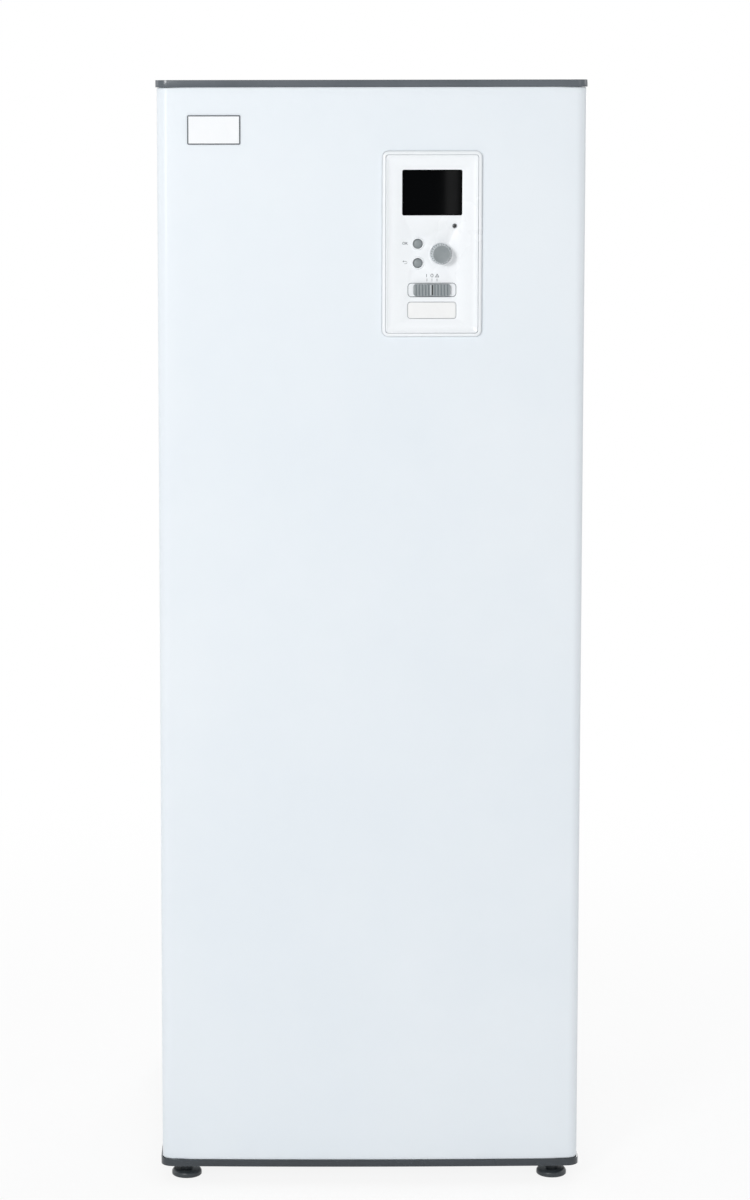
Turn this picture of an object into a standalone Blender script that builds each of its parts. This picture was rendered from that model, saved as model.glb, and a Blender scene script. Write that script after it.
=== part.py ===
"""Floor-standing indoor unit of a split heat pump, with its hot water tank.

All lengths are in metres and +Z is up. The cabinet's front faces -Y, and the origin is on the floor
under the middle of the unit's box.
"""
import math

import bmesh
import bpy
from mathutils import Matrix, Vector

# Cabinet outside
CABINET_HEIGHT = 1.550
FLOOR_CLEARANCE = 0.025
CABINET_WIDTH = 0.600
CABINET_DEPTH = 0.615
TRIM_OVERHANG = 0.002
TRIM_HEIGHT = 0.010
TRIM_WALL = 0.0032
TRIM_SHELF = 0.0025
BASE_SHELF_INSET = 0.025
TOP_SHELF_INSET = 0.018
CORNER_RADIUS = 0.015
REAR_RADIUS = 0.004
INNER_RADIUS = 0.0008
FRONT_CROWN = 0.004
SHEET = 0.0012
LIP = 0.012
FIT_GAP = 0.0003
SLIP_GAP = 0.0005
MERGE_GAP = 0.000003
SHORT_BORE = 0.002
OVERRUN = 0.004
CROWN_STEPS = 8
CORNER_STEPS = 4
REAR_STEPS = 2

# Front panel and its seams
RETURN_DEPTH = 0.030
SEAM_GAP = 0.0015
JAMB_FLANGE = 0.022
REAR_FLANGE = 0.015
TAB_THICKNESS = 0.002
TAB_HALF_HEIGHT = 0.012
TAB_SET_BACK = 0.0015
STUD_RADIUS = 0.003
STUD_REACH = 0.006
STUD_FROM_END = 0.100
STUD_FROM_SIDE = 0.011

# Base frame and feet
PAN_THICKNESS = 0.002
PAN_INSET = 0.0005
BOSS_RADIUS = 0.009
BOSS_HEIGHT = 0.012
FOOT_RADIUS = 0.0215
FOOT_TOP_RADIUS = 0.0195
FOOT_EDGE = 0.001
FOOT_HEIGHT = 0.009
FOOT_SHOULDER = 0.006
FOOT_COLLAR_RADIUS = 0.0095
FOOT_COLLAR_HEIGHT = 0.006
FOOT_STUD_RADIUS = 0.005
FOOT_STUD_TOP = 0.058
FOOT_STUD_GAP = 0.0004
FOOT_FROM_SIDE = 0.034
FOOT_FROM_FRONT = 0.043
FOOT_FROM_REAR = 0.045

# Badge plate, left bare
BADGE_WIDTH = 0.0735
BADGE_HEIGHT = 0.0406
BADGE_RADIUS = 0.002
BADGE_THICKNESS = 0.0012
BADGE_FROM_LEFT = 0.0792
BADGE_BELOW_TOP = 0.0687

# Display collar and fascia
DISPLAY_X = 0.084
DISPLAY_BELOW_TOP = 0.227
DISPLAY_WIDTH = 0.139
DISPLAY_HEIGHT = 0.258
DISPLAY_RADIUS = 0.009
COLLAR_RIM = 0.005
COLLAR_REACH = 0.005
COLLAR_EDGE = 0.0012
COLLAR_FLANGE = 0.006
COLLAR_FLANGE_THICKNESS = 0.002
COLLAR_SEAT = 0.0026
CUTOUT_GAP = 0.0004
FASCIA_GAP = 0.0006
FASCIA_RIM_REACH = 0.004
FASCIA_FIELD_REACH = 0.0015
FASCIA_MARGIN = 0.009
FASCIA_BACK = 0.0015
GLASS_WIDTH = 0.0834
GLASS_HEIGHT = 0.0633
GLASS_RADIUS = 0.0012
GLASS_UP = 0.0714
GLASS_THICKNESS = 0.0024
LCD_BORDER = 0.0033
LAMP_RADIUS = 0.0023
LAMP_X = 0.0313
LAMP_UP = 0.0252
LAMP_REACH = 0.001
BUTTON_RADIUS = 0.0064
BUTTON_X = -0.0199
OK_UP = 0.0006
BACK_UP = -0.0262
BUTTON_REACH = 0.0045
BUTTON_FLANGE = 0.0016
BUTTON_FLANGE_THICKNESS = 0.0012
BUTTON_STEM_RADIUS = 0.002
BUTTON_TRAVEL = 0.0012
KNOB_X = 0.0123
KNOB_UP = -0.0131
KNOB_RADIUS = 0.01425
KNOB_FACE_RADIUS = 0.010
KNOB_REACH = 0.024
KNOB_FLOAT = 0.0005
KNOB_FLUTE = 0.0005
KNOB_FLUTES = 24
KNOB_SHAFT_RADIUS = 0.003
KNOB_HOLE_RADIUS = 0.0045
SLOT_WIDTH = 0.066
SLOT_HEIGHT = 0.018
SLOT_RADIUS = 0.0045
SLOT_UP = -0.0637
POCKET_DEPTH = 0.0015
SLIDER_WIDTH = 0.0515
SLIDER_HEIGHT = 0.0165
SLIDER_RADIUS = 0.0035
SLIDER_REACH = 0.0055
SLIDER_TRAVEL = 0.007
SLIDER_STEM_WIDTH = 0.008
SLIDER_STEM_HEIGHT = 0.0036
SLIDER_GROOVE = 0.0011
SLIDER_GROOVE_DEPTH = 0.0008
SLIDER_GROOVE_PITCH = 0.0042
SLIDER_GROOVES = 4
STEM_GAP = 0.0007
USB_WIDTH = 0.0673
USB_HEIGHT = 0.0229
USB_RADIUS = 0.004
USB_UP = -0.0920
USB_COVER_PROUD = 0.0001
USB_WINDOW_WIDTH = 0.016
USB_WINDOW_HEIGHT = 0.009
USB_BOSS_GAP = 0.001
USB_SOCKET_REACH = 0.004

# Display board and housing
BOARD_SET_BACK = 0.013
BOARD_THICKNESS = 0.0016
BOARD_MARGIN = 0.0049
SWITCH_SIZE = 0.006
ENCODER_SIZE = 0.012
ENCODER_REACH = 0.006
BUSHING_RADIUS = 0.0055
BUSHING_REACH = 0.002
BUSHING_GAP = 0.0004
SHAFT_END = 0.009
SLIDE_SWITCH_WIDTH = 0.020
SLIDE_SWITCH_HEIGHT = 0.008
SLIDE_SWITCH_REACH = 0.008
HOUSING_DEPTH = 0.032
HOUSING_WALL = 0.002
POST_RADIUS = 0.004
LEG_RADIUS = 0.005
POST_INSET = 0.011

# Electrical box and what it holds
BOX_FLANGE_INSET = 0.0032
BOX_FLANGE_WIDTH = 0.0248
BOX_BELOW_TOP = 0.045
BOX_HEIGHT = 0.450
BOX_FLANGE = 0.010
BOX_DEPTH = 0.026
MAIN_BOARD_INSET = 0.015
MAIN_BOARD_WIDTH = 0.220
MAIN_BOARD_RISE = 0.040
MAIN_BOARD_GAP = 0.030
STANDOFF = 0.006
STANDOFF_RADIUS = 0.003
STANDOFF_INSET = 0.008
BREAKER_INSET = 0.040
BREAKER_WIDTH = 0.054
BREAKER_BELOW_TOP = 0.110
BREAKER_HEIGHT = 0.085
BREAKER_SHOULDER = 0.044
BREAKER_NOSE = 0.050
BREAKER_NOSE_HEIGHT = 0.045
LEVER_WIDTH = 0.030
LEVER_HUB_RADIUS = 0.004
LEVER_LENGTH = 0.011
LEVER_THICKNESS = 0.004
LEVER_SINK = 0.0045
LEVER_SWING = 35
LEVER_SLOT = 0.0068
TERMINAL_GAP = 0.045
TERMINAL_RISE = 0.025
TERMINAL_POLES = 10
TERMINAL_PITCH = 0.012
TERMINAL_HEIGHT = 0.028
TERMINAL_DEPTH = 0.018
TERMINAL_END = 0.003
TERMINAL_SLOT = 0.007
TERMINAL_SLOT_DEPTH = 0.010

# Tank, its jacket and its stand
TANK_WALL = 0.003
TANK_DISH = 0.020
TANK_NECK_RADIUS = 0.014
TANK_NECK_BORE = 0.011
TANK_NECK_HEIGHT = 0.015
NECK_STRAIGHT = 0.003
JACKET_FRONT_GAP = 0.0058
JACKET_REAR_GAP = 0.008
JACKET_SIDE_GAP = 0.026
JACKET_WALL = 0.0245
JACKET_FLOOR = 0.0197
JACKET_CAP = 0.025
STAND_MARGIN = 0.002
STAND_SHEET = 0.002
STAND_TOP = 0.430
STAND_FOOT = 0.015
STAND_FRONT_REACH = 0.030
STAND_REAR_GAP = 0.0092
COIL_TUBE_RADIUS = 0.011
COIL_WALL_GAP = 0.055
COIL_RISE = 0.0697
COIL_PITCH = 0.075
COIL_TURNS = 4
COIL_STEPS = 16
COIL_SIDES = 6
COIL_BEND = 0.028
RETURN_LEG_SHARE = -0.1718
RETURN_LEG_INSET = 0.042
RETURN_LEG_RISE = 0.035
RETURN_LEG_REACH = 0.1017

# Rear outlet tray
TRAY_LEFT = -0.155
TRAY_RIGHT = 0.215
TRAY_BOTTOM = 0.060
TRAY_TOP = 0.205
TRAY_SHEET = 0.002
TRAY_DEPTH = 0.045
TRAY_FLANGE = 0.010
STUB_INSET = 0.005
GLAND_PLATE_X = 0.145
GLAND_PLATE_Z = 0.130
GLAND_PLATE_WIDTH = 0.100
GLAND_PLATE_HEIGHT = 0.036
GLAND_PITCH = 0.031
GLAND_RADIUS = 0.008
GLAND_NUT_RADIUS = 0.0105
GLAND_BORE = 0.0045
GLAND_REACH = 0.018
GLAND_INNER_REACH = 0.012
GLANDS = 3

# Water and refrigerant pipes
WATER_RADIUS = 0.014
DOMESTIC_RADIUS = 0.011
GAS_RADIUS = 0.008
LIQUID_RADIUS = 0.0048
EXPANSION_RADIUS = 0.0075
PIPE_WALL = 0.0012
BORE_DEPTH = 0.030
PIPE_HOLE_GAP = 0.0005
WATER_BEND = 0.028
SMALL_BEND = 0.020
LOW_RUN = 0.095
HIGH_RUN = 0.165
PIPE_ROW_SHARE = 0.21947
LIQUID_STUB_SHARE = -0.3244
PIPE_SIDES = 10
BEND_STEPS = 3

# Plate heat exchanger
EXCHANGER_LEFT_SHARE = -0.9542
EXCHANGER_RIGHT_SHARE = -0.5344
EXCHANGER_DEPTH = 0.100
EXCHANGER_BOTTOM = 0.080
EXCHANGER_PORT_REACH = 0.020
EXCHANGER_SET_BACK = 0.056
EXCHANGER_RIB = 0.003
EXCHANGER_RIBS = 5
BRACKET_INSET = 0.012
WATER_PORT_SHARE = 0.2273
REFRIGERANT_PORT_SHARE = 0.7727
UPPER_PORT_DROP = 0.020
UPPER_PORT_INSET = 0.025
PORT_WALL = 0.002
PORT_BORE_DEPTH = 0.015

# Circulation pump
PUMP_SET_BACK = 0.0117
PUMP_RADIUS = 0.046
PUMP_HALF_DEPTH = 0.035
PUMP_CAVITY_RADIUS = 0.036
PUMP_BACK_WALL = 0.015
PUMP_PORT_RADIUS = 0.018
PUMP_PORT_BORE = 0.012
PUMP_PORT_REACH = 0.065
MOTOR_RADIUS = 0.048
MOTOR_LENGTH = 0.080
MOTOR_BORE = 0.016
MOTOR_BORE_DEPTH = 0.060
MOTOR_EDGE = 0.006
ROTOR_RADIUS = 0.032
ROTOR_SHAFT_RADIUS = 0.005
ROTOR_MAGNET_RADIUS = 0.0155
ROTOR_END_GAP = 0.0006
IMPELLER_LENGTH = 0.040

# Diverter valve
DIVERTER_X = 0.0
DIVERTER_DROP = 0.041
DIVERTER_RADIUS = 0.021
DIVERTER_HALF_DEPTH = 0.022
DIVERTER_CAVITY = 0.0152
DIVERTER_BACK_WALL = 0.004
DIVERTER_PORT_RADIUS = 0.015
DIVERTER_PORT_BORE = 0.010
DIVERTER_PORT_REACH = 0.038
PLUG_RADIUS = 0.0148
PLUG_STEM_RADIUS = 0.004
PLUG_STEM_REACH = 0.016
PLUG_STEM_GAP = 0.0004
ACTUATOR_WIDTH = 0.060
ACTUATOR_HEIGHT = 0.070
ACTUATOR_DEPTH = 0.045
ACTUATOR_EDGE = 0.005
ACTUATOR_BORE_DEPTH = 0.020

# Backup heater
HEATER_SIDE_GAP = 0.010
HEATER_RADIUS = 0.055
HEATER_WALL = 0.002
HEATER_BOTTOM = 0.050
HEATER_BELOW_STAND = 0.099
HEATER_FLANGE_RADIUS = 0.065
HEATER_FLANGE = 0.006
HEATER_FOOT_RADIUS = 0.030
HEATER_PORT_RADIUS = 0.016
HEATER_PORT_BORE = 0.012
HEATER_PORT_Z = 0.100
HEATER_PORT_REACH = 0.0075
ELEMENT_FLANGE = 0.0077
ELEMENT_CAP_RADIUS = 0.034
ELEMENT_CAP_HEIGHT = 0.041
ELEMENT_ROD_RADIUS = 0.004
ELEMENT_ROD_HALF = 0.013
ELEMENT_ROD_BEND = 0.0117
ELEMENT_ROD_PITCH = 0.022
ELEMENT_ROD_END = 0.100
ELEMENT_RODS = 3
HEATER_FEED_STRAIGHT = 0.0049

# Expansion vessel
EXPANSION_SIDE_GAP = 0.010
EXPANSION_REAR_GAP = 0.0133
EXPANSION_FRONT_GAP = 0.032
EXPANSION_LEFT = 0.010
EXPANSION_RISE = 0.100
EXPANSION_BELOW_STAND = 0.020
EXPANSION_EDGE = 0.030
EXPANSION_WALL = 0.002
EXPANSION_STUD_RADIUS = 0.006
EXPANSION_NIPPLE_RADIUS = 0.009
EXPANSION_NIPPLE_BORE = 0.005
EXPANSION_NIPPLE_DROP = 0.013
EXPANSION_RUN_Z = 0.135

# Safety valve and pressure gauge
SAFETY_HEIGHT_SHARE = 0.2037
SAFETY_RADIUS = 0.013
SAFETY_LENGTH = 0.041
SAFETY_OUTLET_RADIUS = 0.008
SAFETY_OUTLET_DROP = 0.030
SAFETY_OUTLET_BORE = 0.005
SAFETY_KNOB_RADIUS = 0.017
SAFETY_KNOB_LENGTH = 0.020
SAFETY_KNOB_TAPER = 0.0026
GAUGE_HEIGHT_SHARE = 0.574
GAUGE_REST_ANGLE = -60
GAUGE_RADIUS = 0.026
GAUGE_STEM_RADIUS = 0.006
GAUGE_STEM = 0.016
GAUGE_DEPTH = 0.022
GAUGE_RIM = 0.002
GAUGE_RECESS = 0.004
NEEDLE_LENGTH = 0.018
NEEDLE_WIDTH = 0.0016
NEEDLE_HUB = 0.0025
NEEDLE_THICKNESS = 0.0012

# Hot pipe's rise, the feed's height and the inner pipes' setbacks
COLD_SET_BACK = 0.0117
HOT_BELOW_TRIM = 0.020
HOT_SIDE_INSET = 0.027
HOT_REAR_INSET = 0.0183
HOT_BEND = 0.022
FEED_BELOW_STAND = 0.065
GAS_RISE_REACH = 0.032
LIQUID_RISE_REACH = 0.075

# Places worked out from the sizes above
FRONT_Y = (KNOB_REACH - CABINET_DEPTH) / 2
REAR_Y = FRONT_Y + CABINET_DEPTH
BODY_REAR = REAR_Y - TRIM_OVERHANG
BODY_HALF = CABINET_WIDTH / 2 - TRIM_OVERHANG
TOTAL_HEIGHT = FLOOR_CLEARANCE + CABINET_HEIGHT
BASE_TRIM_TOP = FLOOR_CLEARANCE + TRIM_HEIGHT
TOP_TRIM_BOTTOM = TOTAL_HEIGHT - TRIM_HEIGHT
PANEL_BOTTOM = BASE_TRIM_TOP + FIT_GAP
PANEL_TOP = TOP_TRIM_BOTTOM - FIT_GAP
TRIM_INNER = TRIM_OVERHANG - TRIM_WALL
PAN_FLOOR = FLOOR_CLEARANCE + TRIM_SHELF + FIT_GAP
PAN_TOP_FACE = PAN_FLOOR + PAN_THICKNESS
STANDING_Z = PAN_TOP_FACE + FIT_GAP
SEAM_Y = FRONT_Y + FRONT_CROWN + CORNER_RADIUS + RETURN_DEPTH
JAMB_Y = SEAM_Y + SEAM_GAP
BACK_INNER_Y = BODY_REAR - SHEET
REAR_FLANGE_Y = BACK_INNER_Y - FIT_GAP
STUD_X = BODY_HALF - STUD_FROM_SIDE
STUD_HEIGHTS = (PANEL_BOTTOM + STUD_FROM_END, PANEL_TOP - STUD_FROM_END)
BADGE_X = BADGE_FROM_LEFT - BODY_HALF
DISPLAY_Z = TOTAL_HEIGHT - DISPLAY_BELOW_TOP
FASCIA_WIDTH = DISPLAY_WIDTH - 2 * (COLLAR_RIM + FASCIA_GAP)
FASCIA_HEIGHT = DISPLAY_HEIGHT - 2 * (COLLAR_RIM + FASCIA_GAP)
FASCIA_RADIUS = DISPLAY_RADIUS - COLLAR_RIM + FASCIA_GAP
FIELD_Y = FRONT_Y - FASCIA_FIELD_REACH
POCKET_Y = FIELD_Y + POCKET_DEPTH
FASCIA_BACK_Y = FRONT_Y + FASCIA_BACK
BOARD_Y = FRONT_Y + BOARD_SET_BACK
BOARD_BACK_Y = BOARD_Y + BOARD_THICKNESS
BUTTON_STEM_Y = BOARD_Y - SWITCH_SIZE / 2 - BUTTON_TRAVEL - FIT_GAP
HOUSING_BACK_Y = FRONT_Y + HOUSING_DEPTH
TRAY_FLOOR_Y = REAR_Y - TRAY_DEPTH
TRAY_FRONT_Y = TRAY_FLOOR_Y - TRAY_SHEET
TRAY_FLANGE_Y = BACK_INNER_Y - FIT_GAP
STUB_Y = REAR_Y - STUB_INSET

# Places of the electrical box and what it holds
BOX_FLANGE_Y = JAMB_Y + SHEET + FIT_GAP
BOX_BACK_Y = BOX_FLANGE_Y + BOX_DEPTH
BOX_FLOOR_Y = BOX_BACK_Y - SHEET
BOX_FLANGE_HALF = BODY_HALF - BOX_FLANGE_INSET
BOX_HALF = BOX_FLANGE_HALF - BOX_FLANGE_WIDTH
BOX_TOP = TOTAL_HEIGHT - BOX_BELOW_TOP
BOX_BOTTOM = BOX_TOP - BOX_HEIGHT
BREAKER_LEFT = BREAKER_INSET - BOX_HALF
BREAKER_BOTTOM = BOX_TOP - BREAKER_BELOW_TOP
MAIN_BOARD_LEFT = MAIN_BOARD_INSET - BOX_HALF
MAIN_BOARD_BOTTOM = BOX_BOTTOM + MAIN_BOARD_RISE
MAIN_BOARD_HEIGHT = BREAKER_BOTTOM - MAIN_BOARD_GAP - MAIN_BOARD_BOTTOM
TERMINAL_LEFT = MAIN_BOARD_LEFT + MAIN_BOARD_WIDTH + TERMINAL_GAP
TERMINAL_BOTTOM = BOX_BOTTOM + TERMINAL_RISE

# Places of the tank, which fills the narrower of the cabinet's inner width and depth
JACKET_FRONT_Y = BOX_BACK_Y + JACKET_FRONT_GAP
JACKET_ROOM_WIDE = 2 * (BODY_HALF - LIP - JACKET_SIDE_GAP)
JACKET_ROOM_DEEP = BACK_INNER_Y - JACKET_REAR_GAP - JACKET_FRONT_Y
JACKET_RADIUS = min(JACKET_ROOM_WIDE, JACKET_ROOM_DEEP) / 2
JACKET_BORE = JACKET_RADIUS - JACKET_WALL
TANK_RADIUS = JACKET_BORE - SLIP_GAP
TANK_Y = JACKET_FRONT_Y + JACKET_RADIUS
JACKET_BOTTOM = STAND_TOP + FIT_GAP
TANK_SEAT = JACKET_BOTTOM + JACKET_FLOOR
TANK_BOTTOM = TANK_SEAT + FIT_GAP
HOT_TOP_Z = TOP_TRIM_BOTTOM - HOT_BELOW_TRIM
TANK_TOP = HOT_TOP_Z - HOT_BEND - NECK_STRAIGHT - TANK_NECK_HEIGHT
COIL_RADIUS = TANK_RADIUS - COIL_WALL_GAP
COIL_BOTTOM = TANK_BOTTOM + COIL_RISE
RETURN_LEG_RADIUS = COIL_RADIUS - RETURN_LEG_INSET
STAND_HALF = JACKET_RADIUS + STAND_MARGIN
STAND_INNER = STAND_HALF - STAND_SHEET
STAND_REAR_Y = TRAY_FRONT_Y - STAND_REAR_GAP

# Places of the hydraulic pieces under the tank
DIVERTER_Y = TANK_Y - COIL_RADIUS
STAND_FRONT_Y = DIVERTER_Y - STAND_FRONT_REACH
HEATER_TOP = STAND_TOP - HEATER_BELOW_STAND
HEATER_X = STAND_INNER - HEATER_SIDE_GAP - HEATER_FLANGE_RADIUS
HEATER_JOINT_Y = DIVERTER_Y + HEATER_RADIUS + HEATER_PORT_REACH + FIT_GAP
HEATER_FEED_Y = HEATER_JOINT_Y + WATER_BEND + HEATER_FEED_STRAIGHT
DIVERTER_Z = HEATER_TOP - DIVERTER_DROP
FEED_TOP_Z = STAND_TOP - FEED_BELOW_STAND
UPPER_PORT_Z = FEED_TOP_Z - UPPER_PORT_DROP
EXCHANGER_LEFT = STAND_HALF * EXCHANGER_LEFT_SHARE
EXCHANGER_RIGHT = STAND_HALF * EXCHANGER_RIGHT_SHARE
EXCHANGER_TOP = UPPER_PORT_Z + UPPER_PORT_INSET
EXCHANGER_PORT_Y = HEATER_FEED_Y + EXCHANGER_SET_BACK
EXCHANGER_FRONT = EXCHANGER_PORT_Y + EXCHANGER_PORT_REACH
WATER_PORT_X = EXCHANGER_LEFT + WATER_PORT_SHARE * (EXCHANGER_RIGHT - EXCHANGER_LEFT)
REFRIGERANT_PORT_X = EXCHANGER_LEFT + REFRIGERANT_PORT_SHARE * (EXCHANGER_RIGHT - EXCHANGER_LEFT)
PORT_JOINT_Y = EXCHANGER_PORT_Y - FIT_GAP
EXPANSION_ROOM_WIDE = STAND_INNER - EXPANSION_SIDE_GAP - EXPANSION_LEFT
EXPANSION_FRONT_Y = HEATER_FEED_Y + WATER_RADIUS + EXPANSION_FRONT_GAP
EXPANSION_ROOM_DEEP = STAND_REAR_Y - EXPANSION_REAR_GAP - EXPANSION_FRONT_Y
EXPANSION_VESSEL_RADIUS = min(EXPANSION_ROOM_WIDE, EXPANSION_ROOM_DEEP) / 2
EXPANSION_X = STAND_INNER - EXPANSION_SIDE_GAP - EXPANSION_VESSEL_RADIUS
EXPANSION_Y = STAND_REAR_Y - EXPANSION_REAR_GAP - EXPANSION_VESSEL_RADIUS
EXPANSION_BOTTOM = EXPANSION_RUN_Z + EXPANSION_RISE
EXPANSION_TOP = STAND_TOP - EXPANSION_BELOW_STAND

# Where each pipe leaves through the rear tray, as X and Z
ROW_PITCH = STAND_HALF * PIPE_ROW_SHARE
RETURN_STUB = (-2 * ROW_PITCH, LOW_RUN)
COLD_STUB = (-ROW_PITCH, LOW_RUN)
SUPPLY_STUB = (DIVERTER_X, LOW_RUN)
HOT_STUB = (ROW_PITCH, LOW_RUN)
GAS_STUB = (-2 * ROW_PITCH, HIGH_RUN)
LIQUID_STUB = (STAND_HALF * LIQUID_STUB_SHARE, HIGH_RUN)
COLD_RISE_Y = TANK_Y + COLD_SET_BACK
HOT_RISE_X = STAND_HALF - HOT_SIDE_INSET
HOT_RISE_Y = STAND_REAR_Y - HOT_REAR_INSET
GAS_RISE_Y = EXCHANGER_PORT_Y - GAS_RISE_REACH
LIQUID_RISE_Y = EXCHANGER_PORT_Y - LIQUID_RISE_REACH
RETURN_LEG_X = STAND_HALF * RETURN_LEG_SHARE
RETURN_LEG_Y = DIVERTER_Y + RETURN_LEG_REACH
RETURN_LEG_TURN = HIGH_RUN + RETURN_LEG_RISE

# Places of the pump, the safety valve and the gauge on the feed
PUMP_X = RETURN_STUB[0]
PUMP_Y = DIVERTER_Y + PUMP_SET_BACK
PUMP_Z = (FEED_TOP_Z + LOW_RUN) / 2
PUMP_FRONT_Y = PUMP_Y - PUMP_HALF_DEPTH
MOTOR_BACK_Y = PUMP_FRONT_Y - FIT_GAP
DIVERTER_FRONT_Y = DIVERTER_Y - DIVERTER_HALF_DEPTH
ACTUATOR_BACK_Y = DIVERTER_FRONT_Y - FIT_GAP
FEED_FRONT_Y = PUMP_Y - WATER_RADIUS - FIT_GAP
GAUGE_BACK_Y = FEED_FRONT_Y - GAUGE_STEM
GAUGE_FRONT_Y = GAUGE_BACK_Y - GAUGE_DEPTH
SAFETY_FRONT_Y = FEED_FRONT_Y - SAFETY_LENGTH
SAFETY_Z = LOW_RUN + SAFETY_HEIGHT_SHARE * (FEED_TOP_Z - LOW_RUN)
GAUGE_Z = LOW_RUN + GAUGE_HEIGHT_SHARE * (FEED_TOP_Z - LOW_RUN)


# Scene and materials
def clear_scene():
    """Remove every object, so that the model starts from nothing."""
    for item in list(bpy.data.objects):
        bpy.data.objects.remove(item, do_unlink=True)


def make_material(name, color, roughness, metallic=0.0):
    """Return a Principled material with the finish's colour, roughness and metal value."""
    material = bpy.data.materials.new(name)
    material.use_nodes = True
    shader = material.node_tree.nodes["Principled BSDF"]
    shader.inputs["Base Color"].default_value = (*color, 1.0)
    shader.inputs["Roughness"].default_value = roughness
    shader.inputs["Metallic"].default_value = metallic
    return material


def add_object(name, bm, material, origin=None):
    """Turn a bmesh into a named object, with its origin at the given point."""
    bmesh.ops.recalc_face_normals(bm, faces=bm.faces)
    mesh = bpy.data.meshes.new(name)
    bm.to_mesh(mesh)
    bm.free()
    mesh.shade_smooth()
    mesh.set_sharp_from_angle(angle=math.radians(30))
    mesh.materials.append(material)
    item = bpy.data.objects.new(name, mesh)
    bpy.context.scene.collection.objects.link(item)
    if origin is not None:
        mesh.transform(Matrix.Translation(-Vector(origin)))
        item.location = origin
    return item


# Solid shapes
def add_loft(bm, rings, closed=False):
    """Join rings of points with faces; an open loft gets a face over each end."""
    rows = [[bm.verts.new(point) for point in ring] for ring in rings]
    pairs = list(zip(rows, rows[1:]))
    if closed:
        pairs.append((rows[-1], rows[0]))
    for near, far in pairs:
        for i in range(len(near)):
            j = (i + 1) % len(near)
            bm.faces.new((near[i], near[j], far[j], far[i]))
    if not closed:
        bm.faces.new(rows[0][::-1])
        bm.faces.new(rows[-1])


def loft(rings, closed=False):
    """Return a bmesh that holds one loft."""
    bm = bmesh.new()
    add_loft(bm, rings, closed)
    return bm


def add_box(bm, low, high):
    """Add a box between two corners."""
    size = Vector(high) - Vector(low)
    middle = (Vector(high) + Vector(low)) / 2
    matrix = Matrix.Translation(middle) @ Matrix.Diagonal((*size, 1.0))
    bmesh.ops.create_cube(bm, size=1.0, matrix=matrix)


def add_cylinder(bm, start, end, radius, segments=16):
    """Add a cylinder between two points."""
    start, end = Vector(start), Vector(end)
    run = end - start
    turn = Vector((0, 0, 1)).rotation_difference(run).to_matrix().to_4x4()
    matrix = Matrix.Translation((start + end) / 2) @ turn
    bmesh.ops.create_cone(bm, cap_ends=True, segments=segments, radius1=radius, radius2=radius,
                          depth=run.length, matrix=matrix)


def lathe(profile, centre, axis="Z", segments=24, ring=False):
    """Spin a profile of (radius, place along the axis) pairs about an axis through a centre."""
    bm = bmesh.new()
    spin_axis = Vector((0, 0, 1)) if axis == "Z" else Vector((0, 1, 0))
    if axis == "Z":
        points = [(centre[0] + radius, centre[1], place) for radius, place in profile]
    else:
        points = [(centre[0] + radius, place, centre[2]) for radius, place in profile]
    verts = [bm.verts.new(point) for point in points]
    edges = [bm.edges.new(pair) for pair in zip(verts, verts[1:])]
    if ring:
        edges.append(bm.edges.new((verts[-1], verts[0])))
    bmesh.ops.spin(bm, geom=verts + edges, cent=centre, axis=spin_axis, angle=2 * math.pi,
                   steps=segments, use_merge=True)
    bmesh.ops.remove_doubles(bm, verts=bm.verts, dist=MERGE_GAP)
    return bm


def rounded_rectangle(width, height, radius, centre, steps=4):
    """Return the (x, z) points of a rounded rectangle, counter-clockwise."""
    points = []
    for turn, (sx, sz) in enumerate(((1, 1), (-1, 1), (-1, -1), (1, -1))):
        middle = (centre[0] + sx * (width / 2 - radius), centre[1] + sz * (height / 2 - radius))
        for i in range(steps + 1):
            angle = math.radians(90) * (turn + i / steps)
            points.append((middle[0] + radius * math.cos(angle), middle[1] + radius * math.sin(angle)))
    return points


def at_y(outline, y):
    """Stand an (x, z) outline up at a place along Y."""
    return [(x, y, z) for x, z in outline]


def slab(outline, near, far):
    """Return a bmesh of an (x, z) outline drawn from one place along Y to another."""
    return loft([at_y(outline, near), at_y(outline, far)])


# Booleans
def apply_tool(target, bm, operation, suffix):
    """Give a target a boolean with a hidden tool made from a bmesh."""
    bmesh.ops.recalc_face_normals(bm, faces=bm.faces)
    mesh = bpy.data.meshes.new(f"{target.name}_{suffix}_{len(target.modifiers)}")
    bm.to_mesh(mesh)
    bm.free()
    tool = bpy.data.objects.new(mesh.name, mesh)
    tool.hide_render = True
    tool.display_type = "WIRE"
    bpy.context.scene.collection.objects.link(tool)
    modifier = target.modifiers.new(mesh.name, "BOOLEAN")
    modifier.operation = operation
    modifier.solver = "EXACT"
    modifier.object = tool


def carve(target, bm):
    """Cut a bmesh out of a target."""
    apply_tool(target, bm, "DIFFERENCE", "cutter")


def fuse(target, bm):
    """Join a bmesh to a target."""
    apply_tool(target, bm, "UNION", "boss")


def cylinders(runs, segments=16):
    """Return a bmesh of separate cylinders, each given as start, end and radius."""
    bm = bmesh.new()
    for start, end, radius in runs:
        add_cylinder(bm, start, end, radius, segments)
    return bm


def boxes(corners):
    """Return a bmesh of separate boxes, each given as its low and high corners."""
    bm = bmesh.new()
    for low, high in corners:
        add_box(bm, low, high)
    return bm


# Cabinet outline
def crown_y(x):
    """Return the front panel's face at a distance from the middle."""
    share = x / (BODY_HALF - CORNER_RADIUS)
    return FRONT_Y + FRONT_CROWN * share ** 2


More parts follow.
